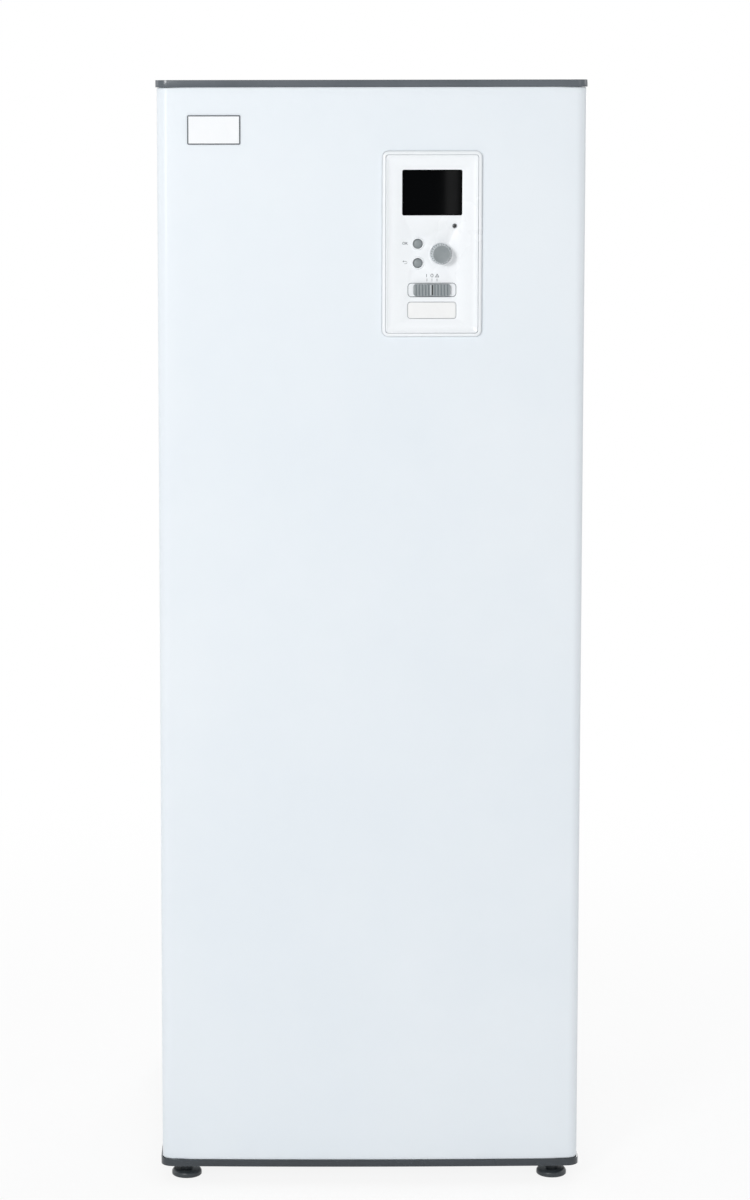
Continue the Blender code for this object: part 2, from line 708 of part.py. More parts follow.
def corner_arc(side, end, grow, radius, steps):
    """Return the points of one rounded corner of the cabinet, counter-clockwise."""
    turn = max(radius + grow, INNER_RADIUS)
    face = FRONT_Y + FRONT_CROWN - grow + turn if end < 0 else BODY_REAR + grow - turn
    middle = (side * (BODY_HALF + grow - turn), face)
    first = {(-1, -1): 180, (1, -1): 270, (1, 1): 0, (-1, 1): 90}[(side, end)]
    angles = [math.radians(first + 90 * i / steps) for i in range(steps + 1)]
    return [(middle[0] + turn * math.cos(a), middle[1] + turn * math.sin(a)) for a in angles]


def front_line(grow):
    """Return the crowned front with its two corners, left to right."""
    left = corner_arc(-1, -1, grow, CORNER_RADIUS, CORNER_STEPS)
    right = corner_arc(1, -1, grow, CORNER_RADIUS, CORNER_STEPS)
    half = right[0][0]
    shares = [2 * i / CROWN_STEPS - 1 for i in range(1, CROWN_STEPS)]
    crown = [(half * share, FRONT_Y - grow + FRONT_CROWN * share ** 2) for share in shares]
    return left + crown + right


def cabinet_loop(grow, z):
    """Return the cabinet's whole outline, grown outwards, at one height."""
    rear = corner_arc(1, 1, grow, REAR_RADIUS, REAR_STEPS) + corner_arc(-1, 1, grow, REAR_RADIUS, REAR_STEPS)
    return [(x, y, z) for x, y in front_line(grow) + rear]


def sheet_section():
    """Return the folded section that every upright panel shares, as (growth, z)."""
    return [(0, PANEL_BOTTOM), (0, PANEL_TOP), (-LIP, PANEL_TOP), (-LIP, PANEL_TOP - SHEET),
            (-SHEET, PANEL_TOP - SHEET), (-SHEET, PANEL_BOTTOM + SHEET),
            (-LIP, PANEL_BOTTOM + SHEET), (-LIP, PANEL_BOTTOM)]


def folded_sheet(path):
    """Sweep the folded section along a plan path that is a function of growth."""
    lines = [[(x, y, z) for x, y in path(grow)] for grow, z in sheet_section()]
    return loft([[line[i] for line in lines] for i in range(len(lines[0]))])


# Cabinet shell
def build_trims(material):
    """Add the slate trims under and over the panels."""
    wall_top = TOTAL_HEIGHT
    shelf = FLOOR_CLEARANCE + TRIM_SHELF
    base = [(TRIM_OVERHANG, FLOOR_CLEARANCE), (TRIM_OVERHANG, BASE_TRIM_TOP), (TRIM_INNER, BASE_TRIM_TOP),
            (TRIM_INNER, shelf), (-BASE_SHELF_INSET, shelf), (-BASE_SHELF_INSET, FLOOR_CLEARANCE)]
    add_object("base_trim", loft([cabinet_loop(*pair) for pair in base], closed=True), material)
    shelf = TOP_TRIM_BOTTOM + TRIM_SHELF
    top = [(TRIM_OVERHANG, TOP_TRIM_BOTTOM), (TRIM_OVERHANG, wall_top), (TRIM_INNER, wall_top),
           (TRIM_INNER, shelf), (-TOP_SHELF_INSET, shelf), (-TOP_SHELF_INSET, TOP_TRIM_BOTTOM)]
    add_object("top_trim", loft([cabinet_loop(*pair) for pair in top], closed=True), material)


def build_top_panel(material):
    """Add the top panel, a shallow tray turned over on the trim's shelf."""
    outer = TRIM_INNER - PAN_INSET
    inner = outer - SHEET
    seat = TOP_TRIM_BOTTOM + TRIM_SHELF + FIT_GAP
    face = TOTAL_HEIGHT - SHEET
    rings = [(inner, face - SHEET), (inner, seat), (outer, seat), (outer, face)]
    add_object("top_panel", loft([cabinet_loop(*pair) for pair in rings]), material)


def foot_places():
    """Return each foot's name, X and Y."""
    side = BODY_HALF - FOOT_FROM_SIDE
    front = FRONT_Y + FOOT_FROM_FRONT
    rear = REAR_Y - FOOT_FROM_REAR
    return (("foot_front_left", -side, front), ("foot_front_right", side, front),
            ("foot_rear_left", -side, rear), ("foot_rear_right", side, rear))


def build_base(frame_material, foot_material):
    """Add the base pan with its foot bosses, and the four screw feet."""
    outer = TRIM_INNER - PAN_INSET
    inner = outer - PAN_THICKNESS
    rings = [(inner, PAN_TOP_FACE), (inner, BASE_TRIM_TOP), (outer, BASE_TRIM_TOP), (outer, PAN_FLOOR)]
    pan = add_object("base_frame", loft([cabinet_loop(*pair) for pair in rings]), frame_material)
    boss_low = PAN_FLOOR + PAN_THICKNESS / 2
    boss_high = PAN_TOP_FACE + BOSS_HEIGHT
    hole = FOOT_STUD_RADIUS + FOOT_STUD_GAP
    places = [(x, y) for name, x, y in foot_places()]
    fuse(pan, cylinders([((x, y, boss_low), (x, y, boss_high), BOSS_RADIUS) for x, y in places]))
    carve(pan, cylinders([((x, y, PAN_FLOOR - OVERRUN), (x, y, boss_high + OVERRUN), hole)
                          for x, y in places]))
    for name, x, y in foot_places():
        collar_top = FOOT_HEIGHT + FOOT_COLLAR_HEIGHT
        profile = [(0, 0), (FOOT_RADIUS - FOOT_EDGE, 0), (FOOT_RADIUS, FOOT_EDGE),
                   (FOOT_RADIUS, FOOT_SHOULDER), (FOOT_TOP_RADIUS, FOOT_HEIGHT),
                   (FOOT_COLLAR_RADIUS, FOOT_HEIGHT), (FOOT_COLLAR_RADIUS, collar_top),
                   (FOOT_STUD_RADIUS, collar_top), (FOOT_STUD_RADIUS, FOOT_STUD_TOP), (0, FOOT_STUD_TOP)]
        add_object(name, lathe(profile, (x, y, 0), segments=16), foot_material, (x, y, 0))


def side_path(side):
    """Return a side panel's plan path, from its front flange to its rear flange."""
    def path(grow):
        face = side * (BODY_HALF + grow)
        return [(side * (BODY_HALF - JAMB_FLANGE), JAMB_Y - grow), (face, JAMB_Y - grow),
                (face, REAR_FLANGE_Y + grow), (side * (BODY_HALF - REAR_FLANGE), REAR_FLANGE_Y + grow)]
    return path


def front_path(grow):
    """Return the front panel's plan path, from its left return to its right one."""
    edge = BODY_HALF + grow
    return [(-edge, SEAM_Y)] + front_line(grow) + [(edge, SEAM_Y)]


def stud_places():
    """Return the X and Z of the front panel's four locating studs."""
    return [(side * STUD_X, z) for side in (-1, 1) for z in STUD_HEIGHTS]


def build_side_panels(material):
    """Add the left and right side panels with their stud holes."""
    for name, side in (("side_panel_left", -1), ("side_panel_right", 1)):
        panel = add_object(name, folded_sheet(side_path(side)), material)
        radius = STUD_RADIUS + FIT_GAP
        runs = [((x, JAMB_Y - OVERRUN, z), (x, JAMB_Y + SHEET + OVERRUN, z), radius)
                for x, z in stud_places() if x * side > 0]
        carve(panel, cylinders(runs, 12))


def build_front_panel(material):
    """Add the crowned front panel with its display cut-out, tabs and studs."""
    panel = add_object("front_panel", folded_sheet(front_path), material)
    cutout = rounded_rectangle(DISPLAY_WIDTH + 2 * CUTOUT_GAP, DISPLAY_HEIGHT + 2 * CUTOUT_GAP,
                               DISPLAY_RADIUS + CUTOUT_GAP, (DISPLAY_X, DISPLAY_Z))
    carve(panel, slab(cutout, FRONT_Y - OVERRUN, FRONT_Y + OVERRUN))
    back = SEAM_Y - TAB_SET_BACK
    front = back - TAB_THICKNESS
    tabs = []
    for x, z in stud_places():
        ends = sorted((math.copysign(BODY_HALF - SHEET / 2, x), math.copysign(BODY_HALF - JAMB_FLANGE, x)))
        tabs.append(((ends[0], front, z - TAB_HALF_HEIGHT), (ends[1], back, z + TAB_HALF_HEIGHT)))
    fuse(panel, boxes(tabs))
    middle = (front + back) / 2
    tip = JAMB_Y + SHEET + STUD_REACH
    fuse(panel, cylinders([((x, middle, z), (x, tip, z), STUD_RADIUS) for x, z in stud_places()], 12))


def build_badge(material):
    """Add the bare badge plate, which follows the front panel's crown."""
    outline = rounded_rectangle(BADGE_WIDTH, BADGE_HEIGHT, BADGE_RADIUS,
                                (BADGE_X, TOTAL_HEIGHT - BADGE_BELOW_TOP))
    rings = [[(x, crown_y(x) - FIT_GAP - proud, z) for x, z in outline] for proud in (0, BADGE_THICKNESS)]
    add_object("badge_plate", loft(rings), material)


def tray_outline(grow):
    """Return the outlet tray's rectangle, grown outwards."""
    low, high = (TRAY_LEFT - grow, TRAY_BOTTOM - grow), (TRAY_RIGHT + grow, TRAY_TOP + grow)
    return [low, (high[0], low[1]), high, (low[0], high[1])]


def build_back(panel_material, tray_material):
    """Add the back panel, and the recessed outlet tray behind its opening."""
    outline = [(-BODY_HALF, PANEL_BOTTOM), (BODY_HALF, PANEL_BOTTOM),
               (BODY_HALF, PANEL_TOP), (-BODY_HALF, PANEL_TOP)]
    panel = add_object("back_panel", slab(outline, BACK_INNER_Y, BODY_REAR), panel_material)
    carve(panel, slab(tray_outline(0), BACK_INNER_Y - OVERRUN, BODY_REAR + OVERRUN))
    flange_front = TRAY_FLANGE_Y - TRAY_SHEET
    rings = [at_y(tray_outline(TRAY_SHEET), TRAY_FRONT_Y), at_y(tray_outline(TRAY_SHEET), flange_front),
             at_y(tray_outline(TRAY_FLANGE), flange_front), at_y(tray_outline(TRAY_FLANGE), TRAY_FLANGE_Y),
             at_y(tray_outline(0), TRAY_FLANGE_Y), at_y(tray_outline(0), TRAY_FLOOR_Y)]
    tray = add_object("outlet_tray", loft(rings), tray_material)
    near, far = TRAY_FRONT_Y - OVERRUN, TRAY_FLOOR_Y + OVERRUN
    stubs = ((RETURN_STUB, WATER_RADIUS), (SUPPLY_STUB, WATER_RADIUS), (COLD_STUB, DOMESTIC_RADIUS),
             (HOT_STUB, DOMESTIC_RADIUS), (GAS_STUB, GAS_RADIUS), (LIQUID_STUB, LIQUID_RADIUS))
    carve(tray, cylinders([((x, near, z), (x, far, z), radius + PIPE_HOLE_GAP)
                           for (x, z), radius in stubs], 16))
    radius = GLAND_RADIUS + FIT_GAP
    carve(tray, cylinders([((x, near, GLAND_PLATE_Z), (x, far, GLAND_PLATE_Z), radius)
                           for x in gland_places()]))


def gland_places():
    """Return the X of each cable gland."""
    return [GLAND_PLATE_X + GLAND_PITCH * (i - (GLANDS - 1) / 2) for i in range(GLANDS)]


def build_gland_plate(material):
    """Add the plate that carries the cable glands on the tray's floor."""
    front = TRAY_FLOOR_Y + FIT_GAP
    back = front + TRAY_SHEET
    outline = rounded_rectangle(GLAND_PLATE_WIDTH, GLAND_PLATE_HEIGHT, BADGE_RADIUS,
                                (GLAND_PLATE_X, GLAND_PLATE_Z))
    plate = add_object("gland_plate", slab(outline, front, back), material)
    middle = (front + back) / 2
    near, far = TRAY_FRONT_Y - GLAND_INNER_REACH, back + GLAND_REACH
    z = GLAND_PLATE_Z
    fuse(plate, cylinders([((x, near, z), (x, middle, z), GLAND_RADIUS) for x in gland_places()]))
    fuse(plate, cylinders([((x, middle, z), (x, far, z), GLAND_NUT_RADIUS) for x in gland_places()], 6))
    carve(plate, cylinders([((x, near - OVERRUN, z), (x, far + OVERRUN, z), GLAND_BORE)
                            for x in gland_places()], 12))


# Display
def display_point(x, up):
    """Return the X and Z of a point given from the middle of the display."""
    return (DISPLAY_X + x, DISPLAY_Z + up)


def display_outline(inset, radius=None):
    """Return the display's rounded outline, shrunk by an inset on every side."""
    turn = max(DISPLAY_RADIUS - inset, INNER_RADIUS) if radius is None else radius
    return rounded_rectangle(DISPLAY_WIDTH - 2 * inset, DISPLAY_HEIGHT - 2 * inset, turn,
                             (DISPLAY_X, DISPLAY_Z))


def build_collar(material):
    """Add the collar that frames the display in the front panel."""
    front = FRONT_Y - COLLAR_REACH
    seat = FRONT_Y + COLLAR_SEAT
    back = seat + COLLAR_FLANGE_THICKNESS
    rings = [at_y(display_outline(COLLAR_EDGE), front), at_y(display_outline(0), front + COLLAR_EDGE),
             at_y(display_outline(0), seat), at_y(display_outline(-COLLAR_FLANGE), seat),
             at_y(display_outline(-COLLAR_FLANGE), back), at_y(display_outline(COLLAR_RIM), back),
             at_y(display_outline(COLLAR_RIM), front)]
    add_object("display_collar", loft(rings, closed=True), material)


def build_fascia(material):
    """Add the dished fascia with the openings for its controls."""
    edge = COLLAR_RIM + FASCIA_GAP
    field = edge + FASCIA_MARGIN
    rim = FRONT_Y - FASCIA_RIM_REACH
    rings = [at_y(display_outline(edge, FASCIA_RADIUS), FASCIA_BACK_Y),
             at_y(display_outline(edge, FASCIA_RADIUS), rim),
             at_y(display_outline(edge + SHEET, FASCIA_RADIUS - SHEET), rim),
             at_y(display_outline(field, FASCIA_RADIUS), FIELD_Y)]
    fascia = add_object("display_fascia", loft(rings), material)
    near, far = rim - OVERRUN, FASCIA_BACK_Y + OVERRUN
    pockets = bmesh.new()
    slot = rounded_rectangle(SLOT_WIDTH, SLOT_HEIGHT, SLOT_RADIUS, display_point(0, SLOT_UP))
    cover = rounded_rectangle(USB_WIDTH, USB_HEIGHT, USB_RADIUS, display_point(0, USB_UP))
    for outline in (slot, cover):
        add_loft(pockets, [at_y(outline, near), at_y(outline, POCKET_Y)])
    carve(fascia, pockets)
    round_holes = [(display_point(LAMP_X, LAMP_UP), LAMP_RADIUS + FIT_GAP),
                   (display_point(KNOB_X, KNOB_UP), KNOB_HOLE_RADIUS),
                   (display_point(BUTTON_X, OK_UP), BUTTON_RADIUS + CUTOUT_GAP),
                   (display_point(BUTTON_X, BACK_UP), BUTTON_RADIUS + CUTOUT_GAP)]
    openings = cylinders([((x, near, z), (x, far, z), radius) for (x, z), radius in round_holes], 20)
    window = rounded_rectangle(GLASS_WIDTH, GLASS_HEIGHT, GLASS_RADIUS, display_point(0, GLASS_UP), 2)
    add_loft(openings, [at_y(window, near), at_y(window, far)])
    slot_half = SLIDER_STEM_WIDTH / 2 + SLIDER_TRAVEL + USB_BOSS_GAP
    slot_rise = SLIDER_STEM_HEIGHT / 2 + STEM_GAP
    x, z = display_point(0, SLOT_UP)
    add_box(openings, (x - slot_half, near, z - slot_rise), (x + slot_half, far, z + slot_rise))
    x, z = display_point(0, USB_UP)
    wide, tall = USB_WINDOW_WIDTH / 2, USB_WINDOW_HEIGHT / 2
    add_box(openings, (x - wide, near, z - tall), (x + wide, far, z + tall))
    carve(fascia, openings)


def build_glass(glass_material, module_material):
    """Add the display glass in its window and the display module behind it."""
    centre = display_point(0, GLASS_UP)
    pane = rounded_rectangle(GLASS_WIDTH - 2 * FIT_GAP, GLASS_HEIGHT - 2 * FIT_GAP,
                             GLASS_RADIUS - FIT_GAP, centre, 2)
    back = FASCIA_BACK_Y - FIT_GAP
    add_object("display_glass", slab(pane, back - GLASS_THICKNESS, back), glass_material)
    bezel = rounded_rectangle(GLASS_WIDTH + 2 * LCD_BORDER, GLASS_HEIGHT + 2 * LCD_BORDER,
                              GLASS_RADIUS, centre, 2)
    add_object("lcd_module", slab(bezel, FASCIA_BACK_Y + FIT_GAP, BOARD_Y - FIT_GAP), module_material)


def build_control_board(material):
    """Add the display's circuit board with its switches, encoder and socket."""
    edge = COLLAR_RIM + FASCIA_GAP + BOARD_MARGIN
    board = add_object("control_board", slab(display_outline(edge, BADGE_RADIUS), BOARD_Y, BOARD_BACK_Y),
                       material)
    middle = (BOARD_Y + BOARD_BACK_Y) / 2
    parts = []
    sizes = ((display_point(BUTTON_X, OK_UP), SWITCH_SIZE, SWITCH_SIZE, BOARD_Y - SWITCH_SIZE / 2),
             (display_point(BUTTON_X, BACK_UP), SWITCH_SIZE, SWITCH_SIZE, BOARD_Y - SWITCH_SIZE / 2),
             (display_point(KNOB_X, KNOB_UP), ENCODER_SIZE, ENCODER_SIZE, FRONT_Y + ENCODER_REACH),
             (display_point(0, SLOT_UP), SLIDE_SWITCH_WIDTH, SLIDE_SWITCH_HEIGHT,
              FRONT_Y + SLIDE_SWITCH_REACH),
             (display_point(0, USB_UP), USB_WINDOW_WIDTH - USB_BOSS_GAP, USB_WINDOW_HEIGHT - USB_BOSS_GAP,
              FRONT_Y + USB_SOCKET_REACH))
    for (x, z), wide, tall, front in sizes:
        parts.append(((x - wide / 2, front, z - tall / 2), (x + wide / 2, middle, z + tall / 2)))
    fuse(board, boxes(parts))
    x, z = display_point(KNOB_X, KNOB_UP)
    front, back = FRONT_Y + BUSHING_REACH, FRONT_Y + ENCODER_REACH + BOARD_THICKNESS
    fuse(board, cylinders([((x, front, z), (x, back, z), BUSHING_RADIUS)]))
    bore = KNOB_SHAFT_RADIUS + BUSHING_GAP
    end = FRONT_Y + SHAFT_END + FIT_GAP
    carve(board, cylinders([((x, front - OVERRUN, z), (x, end, z), bore)], 24))


def build_controls(lamp_material, control_material):
    """Add the status lamp, the two buttons, the knob, the slider and the socket cover."""
    x, z = display_point(LAMP_X, LAMP_UP)
    profile = [(0, FRONT_Y - LAMP_REACH), (LAMP_RADIUS, FRONT_Y - LAMP_REACH),
               (LAMP_RADIUS, BOARD_Y - FIT_GAP), (0, BOARD_Y - FIT_GAP)]
    add_object("status_light", lathe(profile, (x, 0, z), "Y", 12), lamp_material)
    for name, up in (("ok_button", OK_UP), ("back_button", BACK_UP)):
        x, z = display_point(BUTTON_X, up)
        face = FRONT_Y - BUTTON_REACH
        flange = FASCIA_BACK_Y + FIT_GAP
        flange_back = flange + BUTTON_FLANGE_THICKNESS
        profile = [(0, face), (BUTTON_RADIUS, face), (BUTTON_RADIUS, flange),
                   (BUTTON_RADIUS + BUTTON_FLANGE, flange), (BUTTON_RADIUS + BUTTON_FLANGE, flange_back),
                   (BUTTON_STEM_RADIUS, flange_back), (BUTTON_STEM_RADIUS, BUTTON_STEM_Y),
                   (0, BUTTON_STEM_Y)]
        origin = (x, FRONT_Y, z)
        add_object(name, lathe(profile, (x, 0, z), "Y", 20), control_material, origin)
    build_knob(control_material)
    build_slider(control_material)
    build_usb_cover(control_material)


def build_knob(material):
    """Add the fluted knob with its shaft."""
    x, z = display_point(KNOB_X, KNOB_UP)
    points = 2 * KNOB_FLUTES

    def ring(radius, y, flute=0.0):
        circle = []
        for i in range(points):
            angle = 2 * math.pi * i / points
            reach = radius - flute * (i % 2)
            circle.append((x + reach * math.cos(angle), y, z + reach * math.sin(angle)))
        return circle

    back, face = FIELD_Y - KNOB_FLOAT, FRONT_Y - KNOB_REACH
    height = back - face
    taper_shares = ((0.0, 1.0), (0.12, 0.99), (0.82, 0.84), (0.95, 0.76))
    rings = [ring(KNOB_SHAFT_RADIUS, FRONT_Y + SHAFT_END), ring(KNOB_SHAFT_RADIUS, back)]
    rings += [ring(KNOB_RADIUS * wide, back - height * along, KNOB_FLUTE) for along, wide in taper_shares]
    rings.append(ring(KNOB_FACE_RADIUS, face))
    add_object("control_knob", loft(rings), material, (x, FRONT_Y, z))


def build_slider(material):
    """Add the mode slider with its finger grooves and its stem."""
    x, z = display_point(0, SLOT_UP)
    face, back = FRONT_Y - SLIDER_REACH, POCKET_Y - FIT_GAP
    outline = rounded_rectangle(SLIDER_WIDTH, SLIDER_HEIGHT, SLIDER_RADIUS, (x, z))
    slider = add_object("mode_slider", slab(outline, face, back), material, (x, FRONT_Y, z))
    stem_end = FRONT_Y + SLIDE_SWITCH_REACH - FIT_GAP
    wide, tall = SLIDER_STEM_WIDTH / 2, SLIDER_STEM_HEIGHT / 2
    fuse(slider, boxes([((x - wide, back - SHEET, z - tall), (x + wide, stem_end, z + tall))]))
    grooves = []
    for side in (-1, 1):
        for i in range(SLIDER_GROOVES):
            middle = x + side * (SLIDER_WIDTH / 2 - SLIDER_RADIUS - SLIDER_GROOVE_PITCH * i)
            grooves.append(((middle - SLIDER_GROOVE / 2, face - OVERRUN, z - SLIDER_HEIGHT),
                            (middle + SLIDER_GROOVE / 2, face + SLIDER_GROOVE_DEPTH, z + SLIDER_HEIGHT)))
    carve(slider, boxes(grooves))


def build_usb_cover(material):
    """Add the pull-out cover of the service socket."""
    x, z = display_point(0, USB_UP)
    outline = rounded_rectangle(USB_WIDTH - 2 * FIT_GAP, USB_HEIGHT - 2 * FIT_GAP,
                                USB_RADIUS - FIT_GAP, (x, z))
    back = POCKET_Y - FIT_GAP
    cover = add_object("usb_cover", slab(outline, FIELD_Y - USB_COVER_PROUD, back), material,
                       (x, FRONT_Y, z))
    wide, tall = USB_WINDOW_WIDTH / 2 - USB_BOSS_GAP, USB_WINDOW_HEIGHT / 2 - USB_BOSS_GAP
    fuse(cover, boxes([((x - wide, (FIELD_Y + back) / 2, z - tall),
                        (x + wide, FASCIA_BACK_Y - FIT_GAP, z + tall))]))


def build_housing(material):
    """Add the tub behind the fascia, with board posts and legs to the electrical box."""
    edge = COLLAR_RIM + FASCIA_GAP
    inner = edge + HOUSING_WALL
    front, floor = FASCIA_BACK_Y + FIT_GAP, HOUSING_BACK_Y - HOUSING_WALL
    rings = [at_y(display_outline(edge, FASCIA_RADIUS), HOUSING_BACK_Y),
             at_y(display_outline(edge, FASCIA_RADIUS), front),
             at_y(display_outline(inner, FASCIA_RADIUS - HOUSING_WALL), front),
             at_y(display_outline(inner, FASCIA_RADIUS - HOUSING_WALL), floor)]
    housing = add_object("display_housing", loft(rings), material)
    side = FASCIA_WIDTH / 2 - POST_INSET
    rise = FASCIA_HEIGHT / 2 - POST_INSET
    places = [display_point(side * i, rise * j) for i in (-1, 1) for j in (-1, 1)]
    middle = (floor + HOUSING_BACK_Y) / 2
    fuse(housing, cylinders([((x, BOARD_BACK_Y + FIT_GAP, z), (x, middle, z), POST_RADIUS)
                             for x, z in places], 12))
    fuse(housing, cylinders([((x, middle, z), (x, BOX_FLOOR_Y - FIT_GAP, z), LEG_RADIUS)
                             for x, z in places], 12))


# Electrical box
def box_outline(half, grow):
    """Return the electrical box's rectangle with a half width and a vertical growth."""
    low, high = BOX_BOTTOM + BOX_FLANGE - grow, BOX_TOP - BOX_FLANGE + grow
    return [(-half, low), (half, low), (half, high), (-half, high)]


def build_electrical_box(material):
    """Add the shallow sheet box that hangs behind the front flanges."""
    back_face = BOX_FLANGE_Y + SHEET
    rings = [at_y(box_outline(BOX_HALF, 0), BOX_FLOOR_Y), at_y(box_outline(BOX_HALF, 0), BOX_FLANGE_Y),
             at_y(box_outline(BOX_FLANGE_HALF, BOX_FLANGE), BOX_FLANGE_Y),
             at_y(box_outline(BOX_FLANGE_HALF, BOX_FLANGE), back_face),
             at_y(box_outline(BOX_HALF + SHEET, SHEET), back_face),
             at_y(box_outline(BOX_HALF + SHEET, SHEET), BOX_BACK_Y)]
    box = add_object("electrical_box", loft(rings), material)
    radius = STUD_RADIUS + FIT_GAP
    runs = [((x, BOX_FLANGE_Y - OVERRUN, z), (x, back_face + OVERRUN, z), radius)
            for x, z in stud_places() if BOX_BOTTOM < z < BOX_TOP]
    carve(box, cylinders(runs, 12))


def build_main_board(material):
    """Add the main circuit board with its standoffs and large components."""
    back = BOX_FLOOR_Y - FIT_GAP - STANDOFF
    front = back - BOARD_THICKNESS
    right = MAIN_BOARD_LEFT + MAIN_BOARD_WIDTH
    top = MAIN_BOARD_BOTTOM + MAIN_BOARD_HEIGHT
    board = add_object("main_board", boxes([((MAIN_BOARD_LEFT, front, MAIN_BOARD_BOTTOM),
                                             (right, back, top))]), material)
    middle = (front + back) / 2
    xs = (MAIN_BOARD_LEFT + STANDOFF_INSET, right - STANDOFF_INSET)
    zs = (MAIN_BOARD_BOTTOM + STANDOFF_INSET, top - STANDOFF_INSET)
    fuse(board, cylinders([((x, middle, z), (x, BOX_FLOOR_Y - FIT_GAP, z), STANDOFF_RADIUS)
                           for x in xs for z in zs], 8))
    part_shares = ((0.10, 0.10, 0.16, 0.12, 0.90), (0.34, 0.10, 0.16, 0.12, 0.90),
                   (0.58, 0.10, 0.28, 0.06, 0.60), (0.12, 0.34, 0.30, 0.22, 1.00),
                   (0.52, 0.30, 0.14, 0.14, 0.30), (0.74, 0.30, 0.16, 0.26, 0.70),
                   (0.12, 0.68, 0.20, 0.18, 0.75), (0.42, 0.62, 0.46, 0.06, 0.60),
                   (0.42, 0.78, 0.46, 0.06, 0.60))
    tallest = BOX_DEPTH - STANDOFF
    parts = []
    for left, low, wide, tall, reach in part_shares:
        x, z = MAIN_BOARD_LEFT + left * MAIN_BOARD_WIDTH, MAIN_BOARD_BOTTOM + low * MAIN_BOARD_HEIGHT
        parts.append(((x, front - reach * tallest, z),
                      (x + wide * MAIN_BOARD_WIDTH, middle, z + tall * MAIN_BOARD_HEIGHT)))
    fuse(board, boxes(parts))


def build_breaker(body_material, lever_material):
    """Add the circuit breaker and its rocker lever."""
    left, right = BREAKER_LEFT, BREAKER_LEFT + BREAKER_WIDTH
    back = BOX_FLOOR_Y - FIT_GAP
    bottom, top = BREAKER_BOTTOM, BREAKER_BOTTOM + BREAKER_HEIGHT
    middle = (bottom + top) / 2
    nose_low, nose_high = middle - BREAKER_NOSE_HEIGHT / 2, middle + BREAKER_NOSE_HEIGHT / 2
    shoulder, nose = back - BREAKER_SHOULDER, back - BREAKER_NOSE
    section = [(back, bottom), (shoulder, bottom), (shoulder, nose_low), (nose, nose_low),
               (nose, nose_high), (shoulder, nose_high), (shoulder, top), (back, top)]
    body = add_object("circuit_breaker", loft([[(x, y, z) for y, z in section] for x in (left, right)]),
                      body_material)
    centre = (left + right) / 2
    axis_y = nose + LEVER_SINK
    half = LEVER_WIDTH / 2
    gap = SLIP_GAP
    slot_radius = LEVER_HUB_RADIUS + gap
    carve(body, cylinders([((centre - half - gap, axis_y, middle), (centre + half + gap, axis_y, middle),
                            slot_radius)], 20))
    carve(body, boxes([((centre - half - gap, nose - OVERRUN, middle - LEVER_SLOT),
                        (centre + half + gap, axis_y, middle + LEVER_SLOT))]))
    origin = (centre, axis_y, middle)
    lever = add_object("breaker_lever", cylinders([((centre - half, axis_y, middle),
                                                    (centre + half, axis_y, middle), LEVER_HUB_RADIUS)]),
                       lever_material, origin)
    blade = boxes([((-half, -LEVER_HUB_RADIUS - LEVER_LENGTH, -LEVER_THICKNESS / 2),
                    (half, 0, LEVER_THICKNESS / 2))])
    place = Matrix.Translation(origin) @ Matrix.Rotation(math.radians(-LEVER_SWING), 4, "X")
    bmesh.ops.transform(blade, matrix=place, verts=blade.verts)
    fuse(lever, blade)


def build_terminal_block(material):
    """Add the terminal block, with one slot for each pole."""
    back = BOX_FLOOR_Y - FIT_GAP
    front = back - TERMINAL_DEPTH
    right = TERMINAL_LEFT + TERMINAL_POLES * TERMINAL_PITCH + 2 * TERMINAL_END
    top = TERMINAL_BOTTOM + TERMINAL_HEIGHT
    block = add_object("terminal_block", boxes([((TERMINAL_LEFT, front, TERMINAL_BOTTOM),
                                                 (right, back, top))]), material)
    slots = []
    for i in range(TERMINAL_POLES):
        x = TERMINAL_LEFT + TERMINAL_END + TERMINAL_PITCH * (i + 0.5)
        low = TERMINAL_BOTTOM + TERMINAL_END
        slots.append(((x - TERMINAL_SLOT / 2, front - OVERRUN, low),
                      (x + TERMINAL_SLOT / 2, front + TERMINAL_SLOT_DEPTH, top - TERMINAL_END)))
    carve(block, boxes(slots))


# Pipes
def bend_path(points, bend, least_turn=40):
    """Round each sharp corner of a path with an arc of the given radius."""
    points = [Vector(point) for point in points]
    path = [points[0]]
    for before, corner, after in zip(points, points[1:], points[2:]):
        inward, outward = (before - corner).normalized(), (after - corner).normalized()
        turn = math.pi - inward.angle(outward)
        if math.degrees(turn) < least_turn:
            path.append(corner)
            continue
        reach = bend * math.tan(turn / 2)
        middle = corner + (inward + outward).normalized() * (bend / math.cos(turn / 2))
        start = corner + inward * reach - middle
        axis = start.cross(corner + outward * reach - middle).normalized()
        for i in range(BEND_STEPS + 1):
            path.append(middle + Matrix.Rotation(turn * i / BEND_STEPS, 3, axis) @ start)
    path.append(points[-1])
    return path


def tube_rings(path, radius, bore, bore_depth, sides):
    """Return the rings of a tube along a path, with a blind bore at each end where asked."""
    headings = [(b - a).normalized() for a, b in zip(path, path[1:])]
    tangents = [headings[0]] + [(a + b).normalized() for a, b in zip(headings, headings[1:])]
    tangents.append(headings[-1])
    side = tangents[0].orthogonal().normalized()
    rings = []
    sides_at = []
    for i, (point, tangent) in enumerate(zip(path, tangents)):
        if i:
            side = tangents[i - 1].rotation_difference(tangent) @ side
        side = (side - tangent * side.dot(tangent)).normalized()
        sides_at.append(side)
        rings.append(circle_at(point, side, tangent, radius, sides))
    if bore:
        start = [path[0] + headings[0] * bore_depth, path[0]]
        end = [path[-1], path[-1] - headings[-1] * bore_depth]
        rings = ([circle_at(p, sides_at[0], tangents[0], bore, sides) for p in start] + rings
                 + [circle_at(p, sides_at[-1], tangents[-1], bore, sides) for p in end])
    return rings


